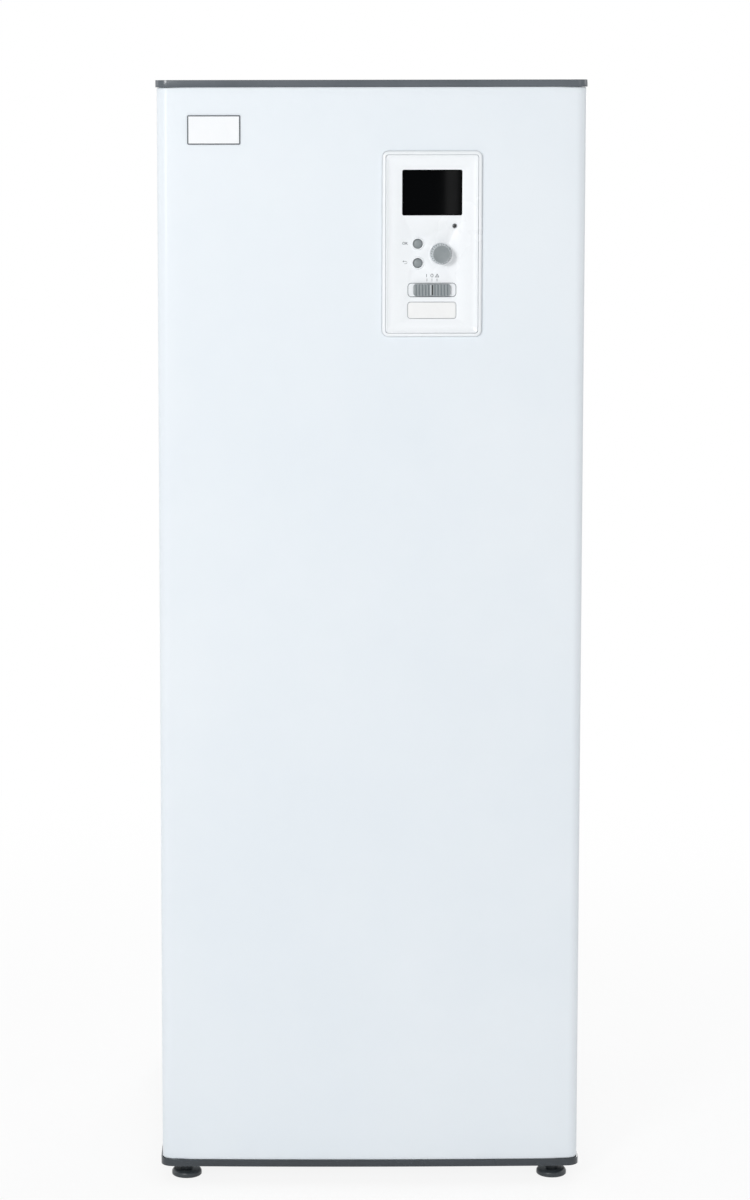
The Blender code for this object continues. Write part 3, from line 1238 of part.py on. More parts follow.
def circle_at(point, side, tangent, radius, sides):
    """Return a circle of points square to a tangent."""
    up = tangent.cross(side)
    angles = [2 * math.pi * (i + 0.5) / sides for i in range(sides)]
    return [point + side * (radius * math.cos(a)) + up * (radius * math.sin(a)) for a in angles]


def tube(points, radius, bend, bore_depth=BORE_DEPTH, sides=PIPE_SIDES):
    """Return a bmesh of a bent tube with blind bores in its ends."""
    bore = radius - PIPE_WALL if bore_depth else 0
    return loft(tube_rings(bend_path(points, bend), radius, bore, bore_depth, sides))


def build_water_pipes(material):
    """Add the heating circuit's pipes."""
    x, z = RETURN_STUB
    pump_inlet = PUMP_Z - PUMP_PORT_REACH - FIT_GAP
    add_object("return_pipe", tube([(x, STUB_Y, z), (x, PUMP_Y, z), (x, PUMP_Y, pump_inlet)],
                                   WATER_RADIUS, WATER_BEND), material)
    pump_outlet = PUMP_Z + PUMP_PORT_REACH + FIT_GAP
    port = WATER_PORT_X
    points = [(PUMP_X, PUMP_Y, pump_outlet), (PUMP_X, PUMP_Y, FEED_TOP_Z), (port, PUMP_Y, FEED_TOP_Z),
              (port, PUMP_Y, LOW_RUN), (port, PORT_JOINT_Y, LOW_RUN)]
    add_object("exchanger_feed_pipe", tube(points, WATER_RADIUS, WATER_BEND), material)
    points = [(port, PORT_JOINT_Y, UPPER_PORT_Z), (port, HEATER_FEED_Y, UPPER_PORT_Z),
              (HEATER_X, HEATER_FEED_Y, UPPER_PORT_Z), (HEATER_X, HEATER_FEED_Y, HEATER_PORT_Z),
              (HEATER_X, HEATER_JOINT_Y, HEATER_PORT_Z)]
    add_object("heater_feed_pipe", tube(points, WATER_RADIUS, WATER_BEND, SHORT_BORE), material)
    x, z = SUPPLY_STUB
    points = [(DIVERTER_X, DIVERTER_Y, DIVERTER_Z - DIVERTER_PORT_REACH - FIT_GAP), (x, DIVERTER_Y, z),
              (x, STUB_Y, z)]
    add_object("supply_pipe", tube(points, WATER_RADIUS, WATER_BEND), material)


def build_domestic_pipes(material):
    """Add the cold and hot tap-water pipes."""
    x, z = COLD_STUB
    points = [(x, STUB_Y, z), (x, COLD_RISE_Y, z), (x, COLD_RISE_Y, TANK_BOTTOM + TANK_DISH)]
    add_object("cold_water_pipe", tube(points, DOMESTIC_RADIUS, WATER_BEND), material)
    x, z = HOT_STUB
    neck_top = TANK_TOP + TANK_NECK_HEIGHT + FIT_GAP
    points = [(0, TANK_Y, neck_top), (0, TANK_Y, HOT_TOP_Z), (HOT_RISE_X, TANK_Y, HOT_TOP_Z),
              (HOT_RISE_X, HOT_RISE_Y, HOT_TOP_Z), (HOT_RISE_X, HOT_RISE_Y, z), (x, HOT_RISE_Y, z),
              (x, STUB_Y, z)]
    add_object("hot_water_pipe", tube(points, DOMESTIC_RADIUS, HOT_BEND, SHORT_BORE), material)


def build_refrigerant_lines(material):
    """Add the gas and liquid refrigerant lines and the expansion pipe."""
    port = REFRIGERANT_PORT_X
    x, z = GAS_STUB
    points = [(x, STUB_Y, z), (x, GAS_RISE_Y, z), (x, GAS_RISE_Y, UPPER_PORT_Z),
              (port, GAS_RISE_Y, UPPER_PORT_Z), (port, PORT_JOINT_Y, UPPER_PORT_Z)]
    add_object("gas_line", tube(points, GAS_RADIUS, SMALL_BEND, sides=10), material)
    x, z = LIQUID_STUB
    points = [(x, STUB_Y, z), (x, LIQUID_RISE_Y, z), (port, LIQUID_RISE_Y, z),
              (port, LIQUID_RISE_Y, LOW_RUN), (port, PORT_JOINT_Y, LOW_RUN)]
    add_object("liquid_line", tube(points, LIQUID_RADIUS, SMALL_BEND, sides=8), material)


def build_expansion_pipe(material):
    """Add the pipe from the expansion vessel to the return pipe."""
    top = EXPANSION_BOTTOM - EXPANSION_NIPPLE_DROP - FIT_GAP
    end = RETURN_STUB[1] + WATER_RADIUS + FIT_GAP
    x = RETURN_STUB[0]
    points = [(EXPANSION_X, EXPANSION_Y, top), (EXPANSION_X, EXPANSION_Y, EXPANSION_RUN_Z),
              (x, EXPANSION_Y, EXPANSION_RUN_Z), (x, EXPANSION_Y, end)]
    add_object("expansion_pipe", tube(points, EXPANSION_RADIUS, SMALL_BEND, SHORT_BORE, 8), material)


# Tank
def coil_points():
    """Return the coil's path, up its feed leg, round its turns and down its return leg."""
    start = (DIVERTER_X, DIVERTER_Y, DIVERTER_Z + DIVERTER_PORT_REACH + FIT_GAP)
    points = [start]
    for i in range(COIL_STEPS * COIL_TURNS + 1):
        angle = math.radians(-90) + 2 * math.pi * i / COIL_STEPS
        height = COIL_BOTTOM + COIL_PITCH * i / COIL_STEPS
        points.append((COIL_RADIUS * math.cos(angle), TANK_Y + COIL_RADIUS * math.sin(angle), height))
    top = COIL_BOTTOM + COIL_PITCH * (COIL_TURNS + 1)
    inner = math.hypot(RETURN_LEG_X, RETURN_LEG_RADIUS)
    last = math.atan2(-RETURN_LEG_RADIUS, RETURN_LEG_X) + 2 * math.pi
    sweep = last - math.radians(-90)
    steps = COIL_STEPS - 2
    for i in range(1, steps + 1):
        share = i / steps
        radius = COIL_RADIUS + (inner - COIL_RADIUS) * share
        angle = math.radians(-90) + sweep * share
        height = top - COIL_PITCH * (1 - share)
        points.append((radius * math.cos(angle), TANK_Y + radius * math.sin(angle), height))
    leg_y = TANK_Y - RETURN_LEG_RADIUS
    joint_x = RETURN_STUB[0] + WATER_RADIUS + FIT_GAP
    points += [(RETURN_LEG_X, leg_y, RETURN_LEG_TURN), (RETURN_LEG_X, RETURN_LEG_Y, RETURN_LEG_TURN),
               (RETURN_LEG_X, RETURN_LEG_Y, LOW_RUN), (joint_x, RETURN_LEG_Y, LOW_RUN)]
    return points


def floor_holes():
    """Return the X, Y and radius of each pipe that passes up through the tank's floor."""
    tube_hole = COIL_TUBE_RADIUS + FIT_GAP
    return ((DIVERTER_X, DIVERTER_Y, tube_hole), (RETURN_LEG_X, TANK_Y - RETURN_LEG_RADIUS, tube_hole),
            (COLD_STUB[0], COLD_RISE_Y, DOMESTIC_RADIUS + FIT_GAP))


def build_tank(vessel_material, coil_material, jacket_material):
    """Add the tank vessel, the charging coil inside it and the foam jacket round it."""
    dish, wall = TANK_DISH, TANK_WALL
    neck_top = TANK_TOP + TANK_NECK_HEIGHT
    shoulder = TANK_RADIUS - dish
    outer = [(0, TANK_BOTTOM), (shoulder, TANK_BOTTOM), (TANK_RADIUS, TANK_BOTTOM + dish),
             (TANK_RADIUS, TANK_TOP - dish), (shoulder, TANK_TOP), (TANK_NECK_RADIUS, TANK_TOP),
             (TANK_NECK_RADIUS, neck_top)]
    inner_radius, inner_shoulder = TANK_RADIUS - wall, shoulder - wall / 2
    inner = [(TANK_NECK_BORE, neck_top), (TANK_NECK_BORE, TANK_TOP - wall), (inner_shoulder, TANK_TOP - wall),
             (inner_radius, TANK_TOP - dish - wall / 2), (inner_radius, TANK_BOTTOM + dish + wall / 2),
             (inner_shoulder, TANK_BOTTOM + wall), (0, TANK_BOTTOM + wall)]
    centre = (0, TANK_Y, 0)
    vessel = add_object("tank_vessel", lathe(outer + inner, centre, segments=20), vessel_material)
    runs = [((x, y, TANK_BOTTOM - OVERRUN), (x, y, TANK_BOTTOM + wall + OVERRUN), radius)
            for x, y, radius in floor_holes()]
    carve(vessel, cylinders(runs, 16))
    path_tube = loft(tube_rings(bend_path(coil_points(), COIL_BEND), COIL_TUBE_RADIUS, 0, 0, COIL_SIDES))
    add_object("charging_coil", path_tube, coil_material)
    jacket_top = TANK_TOP + FIT_GAP + JACKET_CAP
    neck_hole = TANK_NECK_RADIUS + SLIP_GAP
    profile = [(0, JACKET_BOTTOM), (JACKET_RADIUS, JACKET_BOTTOM), (JACKET_RADIUS, jacket_top),
               (neck_hole, jacket_top), (neck_hole, TANK_TOP + FIT_GAP), (JACKET_BORE, TANK_TOP + FIT_GAP),
               (JACKET_BORE, TANK_SEAT), (0, TANK_SEAT)]
    jacket = add_object("tank_insulation", lathe(profile, centre, segments=20), jacket_material)
    runs = [((x, y, JACKET_BOTTOM - OVERRUN), (x, y, TANK_SEAT + OVERRUN), radius)
            for x, y, radius in floor_holes()]
    carve(jacket, cylinders(runs, 16))


def build_stand(material):
    """Add the folded stand that carries the tank over the hydraulic pieces."""
    half, sheet = STAND_HALF, STAND_SHEET
    inner, toe = half - sheet, half - STAND_FOOT
    low, foot, under = STANDING_Z, STANDING_Z + sheet, STAND_TOP - sheet
    section = [(-half, low), (-half, STAND_TOP), (half, STAND_TOP), (half, low), (toe, low), (toe, foot),
               (inner, foot), (inner, under), (-inner, under), (-inner, foot), (-toe, foot), (-toe, low)]
    stand = add_object("tank_stand", slab(section, STAND_FRONT_Y, STAND_REAR_Y), material)
    holes = floor_holes() + ((HOT_RISE_X, HOT_RISE_Y, DOMESTIC_RADIUS + FIT_GAP),)
    carve(stand, cylinders([((x, y, under - OVERRUN), (x, y, STAND_TOP + OVERRUN), radius)
                            for x, y, radius in holes], 16))


# Hydraulic pieces
def build_exchanger(material):
    """Add the plate heat exchanger with its foot bracket and four ports."""
    back = EXCHANGER_FRONT + EXCHANGER_DEPTH
    inner = EXCHANGER_RIB
    left, right, low, high = EXCHANGER_LEFT, EXCHANGER_RIGHT, EXCHANGER_BOTTOM, EXCHANGER_TOP
    full = [(left, low), (right, low), (right, high), (left, high)]
    left, right, low, high = left + inner, right - inner, low + inner, high - inner
    core = [(left, low), (right, low), (right, high), (left, high)]
    pitch = EXCHANGER_DEPTH / (2 * EXCHANGER_RIBS - 1)
    rings = []
    for i in range(EXCHANGER_RIBS):
        start = EXCHANGER_FRONT + 2 * i * pitch
        if i:
            rings.append(at_y(core, start))
        rings += [at_y(full, start), at_y(full, start + pitch)]
        if i < EXCHANGER_RIBS - 1:
            rings.append(at_y(core, start + pitch))
    exchanger = add_object("heat_exchanger", loft(rings), material)
    inset = BRACKET_INSET
    fuse(exchanger, boxes([((EXCHANGER_LEFT + inset, EXCHANGER_FRONT + inset, STANDING_Z),
                            (EXCHANGER_RIGHT - inset, back - inset, EXCHANGER_BOTTOM + 2 * inner))]))
    ports = ((WATER_PORT_X, LOW_RUN, WATER_RADIUS), (WATER_PORT_X, UPPER_PORT_Z, WATER_RADIUS),
             (REFRIGERANT_PORT_X, LOW_RUN, LIQUID_RADIUS + PORT_WALL),
             (REFRIGERANT_PORT_X, UPPER_PORT_Z, GAS_RADIUS + PORT_WALL))
    fuse(exchanger, cylinders([((x, EXCHANGER_PORT_Y, z), (x, EXCHANGER_FRONT + pitch / 2, z), radius)
                               for x, z, radius in ports]))
    carve(exchanger, cylinders([((x, EXCHANGER_PORT_Y - OVERRUN, z),
                                 (x, EXCHANGER_PORT_Y + PORT_BORE_DEPTH, z), radius - PORT_WALL)
                                for x, z, radius in ports], 12))


def build_pump(housing_material, motor_material, rotor_material):
    """Add the circulation pump's housing, motor can and rotor."""
    back = PUMP_Y + PUMP_HALF_DEPTH
    floor = back - PUMP_BACK_WALL
    centre = (PUMP_X, 0, PUMP_Z)
    profile = [(0, back), (PUMP_RADIUS, back), (PUMP_RADIUS, PUMP_FRONT_Y),
               (PUMP_CAVITY_RADIUS, PUMP_FRONT_Y), (PUMP_CAVITY_RADIUS, floor), (0, floor)]
    housing = add_object("pump_housing", lathe(profile, centre, "Y", 20), housing_material)
    grip = (PUMP_RADIUS + PUMP_CAVITY_RADIUS) / 2
    port_y = PUMP_Y
    ends = [(PUMP_Z + side * PUMP_PORT_REACH, PUMP_Z + side * grip) for side in (-1, 1)]
    fuse(housing, cylinders([((PUMP_X, port_y, a), (PUMP_X, port_y, b), PUMP_PORT_RADIUS) for a, b in ends]))
    deep = PUMP_CAVITY_RADIUS - PUMP_PORT_RADIUS
    bores = [(PUMP_Z + side * (PUMP_PORT_REACH + OVERRUN), PUMP_Z + side * deep) for side in (-1, 1)]
    carve(housing, cylinders([((PUMP_X, port_y, a), (PUMP_X, port_y, b), PUMP_PORT_BORE) for a, b in bores]))
    face = MOTOR_BACK_Y - MOTOR_LENGTH
    bore_end = MOTOR_BACK_Y - MOTOR_BORE_DEPTH
    profile = [(0, face), (MOTOR_RADIUS - MOTOR_EDGE, face), (MOTOR_RADIUS, face + MOTOR_EDGE),
               (MOTOR_RADIUS, MOTOR_BACK_Y), (MOTOR_BORE, MOTOR_BACK_Y), (MOTOR_BORE, bore_end),
               (0, bore_end)]
    add_object("pump_motor", lathe(profile, centre, "Y", 20), motor_material)
    tip = floor - ROTOR_END_GAP
    magnet_end = bore_end + ROTOR_END_GAP
    impeller_front = tip - IMPELLER_LENGTH
    magnet_back = MOTOR_BACK_Y - SHEET
    profile = [(0, tip), (ROTOR_RADIUS, tip), (ROTOR_RADIUS, impeller_front),
               (ROTOR_SHAFT_RADIUS, impeller_front), (ROTOR_SHAFT_RADIUS, magnet_back),
               (ROTOR_MAGNET_RADIUS, magnet_back), (ROTOR_MAGNET_RADIUS, magnet_end), (0, magnet_end)]
    origin = (PUMP_X, PUMP_Y, PUMP_Z)
    add_object("pump_rotor", lathe(profile, centre, "Y", 16), rotor_material, origin)


def build_diverter(body_material, plug_material, actuator_material):
    """Add the diverter valve's body, turning plug and actuator."""
    x, y, z = DIVERTER_X, DIVERTER_Y, DIVERTER_Z
    back = y + DIVERTER_HALF_DEPTH
    floor = back - DIVERTER_BACK_WALL
    centre = (x, 0, z)
    profile = [(0, back), (DIVERTER_RADIUS, back), (DIVERTER_RADIUS, DIVERTER_FRONT_Y), (0, DIVERTER_FRONT_Y)]
    body = add_object("diverter_body", lathe(profile, centre, "Y", 16), body_material)
    reach, radius, bore = DIVERTER_PORT_REACH, DIVERTER_PORT_RADIUS, DIVERTER_PORT_BORE
    fuse(body, cylinders([((x, y, z - reach), (x, y, z + reach), radius)], 12))
    fuse(body, cylinders([((x, y, z), (x + reach, y, z), radius)], 12))
    carve(body, cylinders([((x, DIVERTER_FRONT_Y - OVERRUN, z), (x, floor, z), DIVERTER_CAVITY)], 20))
    long = reach + OVERRUN
    carve(body, cylinders([((x, y, z - long), (x, y, z + long), bore)], 12))
    carve(body, cylinders([((x, y, z), (x + long, y, z), bore)], 12))
    plug_back = floor - FIT_GAP
    stem_end = ACTUATOR_BACK_Y - PLUG_STEM_REACH
    plug_front = DIVERTER_FRONT_Y + FIT_GAP
    profile = [(0, plug_back), (PLUG_RADIUS, plug_back), (PLUG_RADIUS, plug_front),
               (PLUG_STEM_RADIUS, plug_front), (PLUG_STEM_RADIUS, stem_end), (0, stem_end)]
    plug = add_object("diverter_plug", lathe(profile, centre, "Y", 20), plug_material, (x, y, z))
    carve(plug, cylinders([((x, y, z - long), (x, y, z), bore)], 12))
    low = (x - ACTUATOR_WIDTH / 2, ACTUATOR_BACK_Y - ACTUATOR_DEPTH, z - ACTUATOR_HEIGHT / 2)
    outline = rounded_rectangle(ACTUATOR_WIDTH, ACTUATOR_HEIGHT, ACTUATOR_EDGE, (x, z), 2)
    actuator = add_object("diverter_actuator", slab(outline, low[1], ACTUATOR_BACK_Y), actuator_material)
    hole = PLUG_STEM_RADIUS + PLUG_STEM_GAP
    carve(actuator, cylinders([((x, ACTUATOR_BACK_Y - ACTUATOR_BORE_DEPTH, z),
                                (x, ACTUATOR_BACK_Y + OVERRUN, z), hole)], 20))


def build_heater(vessel_material, element_material):
    """Add the backup heater's vessel and its screw-in element."""
    centre = (HEATER_X, DIVERTER_Y, 0)
    inner, wall = HEATER_RADIUS - HEATER_WALL, HEATER_WALL
    flange_low = HEATER_TOP - HEATER_FLANGE
    profile = [(0, STANDING_Z), (HEATER_FOOT_RADIUS, STANDING_Z), (HEATER_FOOT_RADIUS, HEATER_BOTTOM),
               (HEATER_RADIUS, HEATER_BOTTOM), (HEATER_RADIUS, flange_low),
               (HEATER_FLANGE_RADIUS, flange_low), (HEATER_FLANGE_RADIUS, HEATER_TOP),
               (inner, HEATER_TOP), (inner, HEATER_BOTTOM + wall),
               (0, HEATER_BOTTOM + wall)]
    vessel = add_object("heater_vessel", lathe(profile, centre, segments=16), vessel_material)
    neck_start = DIVERTER_X + DIVERTER_PORT_REACH + FIT_GAP
    neck_end = HEATER_X - inner + wall
    port_radius, bore = HEATER_PORT_RADIUS, HEATER_PORT_BORE
    neck_radius = DIVERTER_PORT_RADIUS
    y, z = DIVERTER_Y, DIVERTER_Z
    fuse(vessel, cylinders([((neck_start, y, z), (neck_end, y, z), neck_radius)]))
    carve(vessel, cylinders([((neck_start - OVERRUN, y, z), (HEATER_X - inner / 2, y, z),
                              DIVERTER_PORT_BORE)], 12))
    z = HEATER_PORT_Z
    port_end = y + HEATER_RADIUS + HEATER_PORT_REACH
    fuse(vessel, cylinders([((HEATER_X, y + inner - wall, z), (HEATER_X, port_end, z), port_radius)]))
    carve(vessel, cylinders([((HEATER_X, y + inner / 2, z), (HEATER_X, port_end + OVERRUN, z), bore)], 12))
    seat = HEATER_TOP + FIT_GAP
    flange_top = seat + ELEMENT_FLANGE
    cap_top = flange_top + ELEMENT_CAP_HEIGHT
    profile = [(0, seat), (HEATER_FLANGE_RADIUS, seat), (HEATER_FLANGE_RADIUS, flange_top),
               (ELEMENT_CAP_RADIUS, flange_top), (ELEMENT_CAP_RADIUS, cap_top), (0, cap_top)]
    element = add_object("immersion_heater", lathe(profile, centre, segments=20), element_material)
    root = (seat + flange_top) / 2
    rods = bmesh.new()
    for i in range(ELEMENT_RODS):
        x = HEATER_X + ELEMENT_ROD_PITCH * (i - (ELEMENT_RODS - 1) / 2)
        ends = (y - ELEMENT_ROD_HALF, y + ELEMENT_ROD_HALF)
        points = [(x, ends[0], root), (x, ends[0], ELEMENT_ROD_END), (x, ends[1], ELEMENT_ROD_END),
                  (x, ends[1], root)]
        path = bend_path(points, ELEMENT_ROD_BEND)
        add_loft(rods, tube_rings(path, ELEMENT_ROD_RADIUS, 0, 0, 6))
    fuse(element, rods)


def build_expansion_vessel(material):
    """Add the round expansion vessel that hangs from the stand's top."""
    radius, edge, wall = EXPANSION_VESSEL_RADIUS, EXPANSION_EDGE, EXPANSION_WALL
    shoulder = radius - edge
    low, high = EXPANSION_BOTTOM, EXPANSION_TOP
    stud_top = STAND_TOP - STAND_SHEET - FIT_GAP
    nipple = low - EXPANSION_NIPPLE_DROP
    profile = [(0, stud_top), (EXPANSION_STUD_RADIUS, stud_top),
               (EXPANSION_STUD_RADIUS, high), (shoulder, high),
               (radius, high - edge), (radius, low + edge), (shoulder, low), (EXPANSION_NIPPLE_RADIUS, low),
               (EXPANSION_NIPPLE_RADIUS, nipple), (EXPANSION_NIPPLE_BORE, nipple),
               (EXPANSION_NIPPLE_BORE, low + wall), (shoulder - wall, low + wall),
               (radius - wall, low + edge + wall), (radius - wall, high - edge - wall),
               (shoulder - wall, high - wall), (0, high - wall)]
    add_object("expansion_vessel", lathe(profile, (EXPANSION_X, EXPANSION_Y, 0), segments=16), material)


def build_safety_valve(body_material, knob_material):
    """Add the safety valve on the exchanger feed, with its turning knob."""
    x, z = WATER_PORT_X, SAFETY_Z
    profile = [(0, FEED_FRONT_Y), (SAFETY_RADIUS, FEED_FRONT_Y), (SAFETY_RADIUS, SAFETY_FRONT_Y),
               (0, SAFETY_FRONT_Y)]
    valve = add_object("safety_valve", lathe(profile, (x, 0, z), "Y", 16), body_material)
    y = (FEED_FRONT_Y + SAFETY_FRONT_Y) / 2
    low = z - SAFETY_OUTLET_DROP
    fuse(valve, cylinders([((x, y, low), (x, y, z), SAFETY_OUTLET_RADIUS)], 12))
    carve(valve, cylinders([((x, y, low - OVERRUN), (x, y, z), SAFETY_OUTLET_BORE)], 12))
    back = SAFETY_FRONT_Y - FIT_GAP
    face = back - SAFETY_KNOB_LENGTH
    edge = SAFETY_KNOB_RADIUS - SAFETY_KNOB_TAPER
    profile = [(0, back), (SAFETY_KNOB_RADIUS, back), (edge, face), (0, face)]
    add_object("safety_valve_knob", lathe(profile, (x, 0, z), "Y", 12), knob_material, (x, back, z))


def build_gauge(case_material, needle_material):
    """Add the pressure gauge on the exchanger feed, with its needle."""
    x, z = WATER_PORT_X, GAUGE_Z
    recess = GAUGE_FRONT_Y + GAUGE_RECESS
    bowl = GAUGE_RADIUS - GAUGE_RIM
    profile = [(0, FEED_FRONT_Y), (GAUGE_STEM_RADIUS, FEED_FRONT_Y), (GAUGE_STEM_RADIUS, GAUGE_BACK_Y),
               (GAUGE_RADIUS, GAUGE_BACK_Y), (GAUGE_RADIUS, GAUGE_FRONT_Y), (bowl, GAUGE_FRONT_Y),
               (bowl, recess), (0, recess)]
    add_object("pressure_gauge", lathe(profile, (x, 0, z), "Y", 24), case_material)
    back = recess - FIT_GAP
    face = back - NEEDLE_THICKNESS
    tip = face - NEEDLE_THICKNESS
    profile = [(0, back), (NEEDLE_HUB, back), (NEEDLE_HUB, tip), (0, tip)]
    needle = add_object("gauge_needle", lathe(profile, (x, 0, z), "Y", 12), needle_material, (x, back, z))
    pointer = boxes([((-NEEDLE_WIDTH / 2, face, 0), (NEEDLE_WIDTH / 2, back - FIT_GAP, NEEDLE_LENGTH))])
    place = Matrix.Translation((x, 0, z)) @ Matrix.Rotation(math.radians(GAUGE_REST_ANGLE), 4, "Y")
    bmesh.ops.transform(pointer, matrix=place, verts=pointer.verts)
    fuse(needle, pointer)


def main():
    """Build every piece of the unit."""
    clear_scene()
    white = make_material("white_painted_sheet", (0.86, 0.88, 0.91), 0.45)
    slate = make_material("slate_plastic", (0.16, 0.18, 0.20), 0.40)
    zinc = make_material("zinc_sheet", (0.62, 0.64, 0.66), 0.35, 1.0)
    black = make_material("black_plastic", (0.04, 0.04, 0.045), 0.50)
    fascia = make_material("white_gloss_plastic", (0.90, 0.91, 0.93), 0.25)
    grey = make_material("grey_control_plastic", (0.30, 0.33, 0.35), 0.45)
    glass = make_material("display_glass", (0.01, 0.01, 0.012), 0.08)
    board = make_material("board_green", (0.03, 0.16, 0.07), 0.50)
    copper = make_material("copper", (0.72, 0.38, 0.24), 0.30, 1.0)
    steel = make_material("stainless_steel", (0.60, 0.60, 0.60), 0.30, 1.0)
    foam = make_material("grey_foam", (0.45, 0.46, 0.48), 0.90)
    iron = make_material("black_cast_iron", (0.05, 0.05, 0.055), 0.60)
    brass = make_material("brass", (0.66, 0.50, 0.22), 0.35, 1.0)
    red = make_material("red_enamel", (0.55, 0.03, 0.03), 0.40)

    build_trims(slate)
    build_top_panel(white)
    build_base(zinc, black)
    build_side_panels(white)
    build_front_panel(white)
    build_badge(white)
    build_back(white, zinc)
    build_gland_plate(black)

    build_collar(fascia)
    build_fascia(fascia)
    build_glass(glass, steel)
    build_control_board(board)
    build_controls(black, grey)
    build_housing(grey)

    build_electrical_box(zinc)
    build_main_board(board)
    build_breaker(grey, black)
    build_terminal_block(grey)

    build_tank(steel, steel, foam)
    build_stand(zinc)
    build_exchanger(steel)
    build_pump(iron, iron, steel)
    build_diverter(brass, brass, black)
    build_heater(steel, steel)
    build_expansion_vessel(red)
    build_safety_valve(brass, red)
    build_gauge(black, red)

    build_water_pipes(copper)
    build_domestic_pipes(copper)
    build_refrigerant_lines(copper)
    build_expansion_pipe(copper)


main()
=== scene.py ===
"""Dresses the floor-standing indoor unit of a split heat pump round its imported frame.

All lengths are in metres. X runs to the right, the front faces -Y, and Z is up from the floor.
"""

import logging
import math
from dataclasses import dataclass
from enum import Enum
from functools import cache
from typing import Callable, Iterable, Sequence

import bmesh
import bpy
from mathutils import Matrix, Vector


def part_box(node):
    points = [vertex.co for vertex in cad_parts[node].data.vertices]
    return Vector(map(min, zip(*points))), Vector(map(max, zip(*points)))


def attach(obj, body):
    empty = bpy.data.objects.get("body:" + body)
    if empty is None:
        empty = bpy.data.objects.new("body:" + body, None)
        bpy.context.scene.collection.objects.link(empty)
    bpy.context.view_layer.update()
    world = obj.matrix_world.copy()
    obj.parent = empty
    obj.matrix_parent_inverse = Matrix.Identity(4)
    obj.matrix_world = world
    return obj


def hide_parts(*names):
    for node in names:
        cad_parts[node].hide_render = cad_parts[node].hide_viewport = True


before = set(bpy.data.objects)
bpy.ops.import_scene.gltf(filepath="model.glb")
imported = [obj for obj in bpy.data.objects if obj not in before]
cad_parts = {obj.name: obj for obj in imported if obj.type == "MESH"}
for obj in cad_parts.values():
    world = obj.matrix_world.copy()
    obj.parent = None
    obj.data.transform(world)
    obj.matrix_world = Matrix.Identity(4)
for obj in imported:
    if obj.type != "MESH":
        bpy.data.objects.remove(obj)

LOG = logging.getLogger("heat_pump")
Point = tuple[float, float, float]
Pair = tuple[float, float]
Profile = tuple[Pair, ...]
Colour = tuple[float, float, float, float]
Rgb = tuple[float, float, float]
Opening = tuple[float, float, float, float]
Solid = bmesh.types.BMesh
Vert = bmesh.types.BMVert
Edge = bmesh.types.BMEdge
Face = bmesh.types.BMFace
Socket = bpy.types.NodeSocket
ALONG_Y = Matrix.Rotation(math.radians(-90), 4, "X")
FACING_FRONT = Matrix.Rotation(math.radians(90), 4, "X")
MERGE = 0.000002
FLAT = math.radians(0.5)


class Body(Enum):
    """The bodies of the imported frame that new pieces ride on."""

    CABINET = "cabinet"
    COVER = "front_cover"
    OK_BUTTON = "ok_button"
    BACK_BUTTON = "back_button"
    KNOB = "control_knob"
    SLIDER = "mode_slider"
    USB_COVER = "usb_cover"
    LEVER = "breaker_lever"
    SAFETY_KNOB = "safety_valve_knob"
    NEEDLE = "gauge_needle"
    ROTOR = "pump_rotor"
    PLUG = "diverter_plug"
    FRONT_LEFT = "foot_front_left"
    FRONT_RIGHT = "foot_front_right"
    REAR_LEFT = "foot_rear_left"
    REAR_RIGHT = "foot_rear_right"


class Axis(Enum):
    """The ways a turned piece can point."""

    UP = "Z"
    DEPTH = "Y"


class Rounding(Enum):
    """What a rounding is put on."""

    EDGES = "EDGES"
    CORNERS = "VERTICES"


# Shader node groups and materials
def linear(screen: Rgb) -> Colour:
    """Turn a screen colour into linear light with full alpha."""
    shares = (value / 255 for value in screen)
    return (*(s / 12.92 if s <= 0.04045 else ((s + 0.055) / 1.055) ** 2.4 for s in shares), 1.0)


class Tree:
    """A node tree in the making, with short ways to add and join nodes."""

    def __init__(self, tree: bpy.types.NodeTree) -> None:
        """Keep the tree that the nodes go into."""
        self.tree = tree

    def add(self, kind: str, settings: dict[str, object] | None = None, at: dict[int, object] | None = None,
            **inputs: object) -> bpy.types.Node:
        """Add one node.

        Args:
            kind: Node type after the word ShaderNode.
            settings: Properties of the node itself.
            at: Socket values or source sockets, by the socket's place.
            inputs: Socket values or source sockets, by socket name with _ for a space.

        Returns:
            The new node.
        """
        node = self.tree.nodes.new(f"ShaderNode{kind}")
        for name, value in (settings or {}).items():
            setattr(node, name, value)
        named = {name.replace("_", " "): value for name, value in inputs.items()}
        for key, value in {**(at or {}), **named}.items():
            if isinstance(value, Socket):
                self.tree.links.new(value, node.inputs[key])
            else:
                node.inputs[key].default_value = value
        return node

    def math(self, operation: str, first: object, second: object) -> Socket:
        """Work out one operation on two numbers."""
        return self.add("Math", {"operation": operation}, {0: first, 1: second}).outputs[0]

    def vector(self, operation: str, *values: object) -> bpy.types.Node:
        """Work out one operation on vectors."""
        return self.add("VectorMath", {"operation": operation}, dict(enumerate(values)))

    def blend(self, share: object, low: object, high: object) -> Socket:
        """Mix two colours by a share."""
        return self.add("Mix", {"data_type": "RGBA"}, {0: share, 6: low, 7: high}).outputs[2]


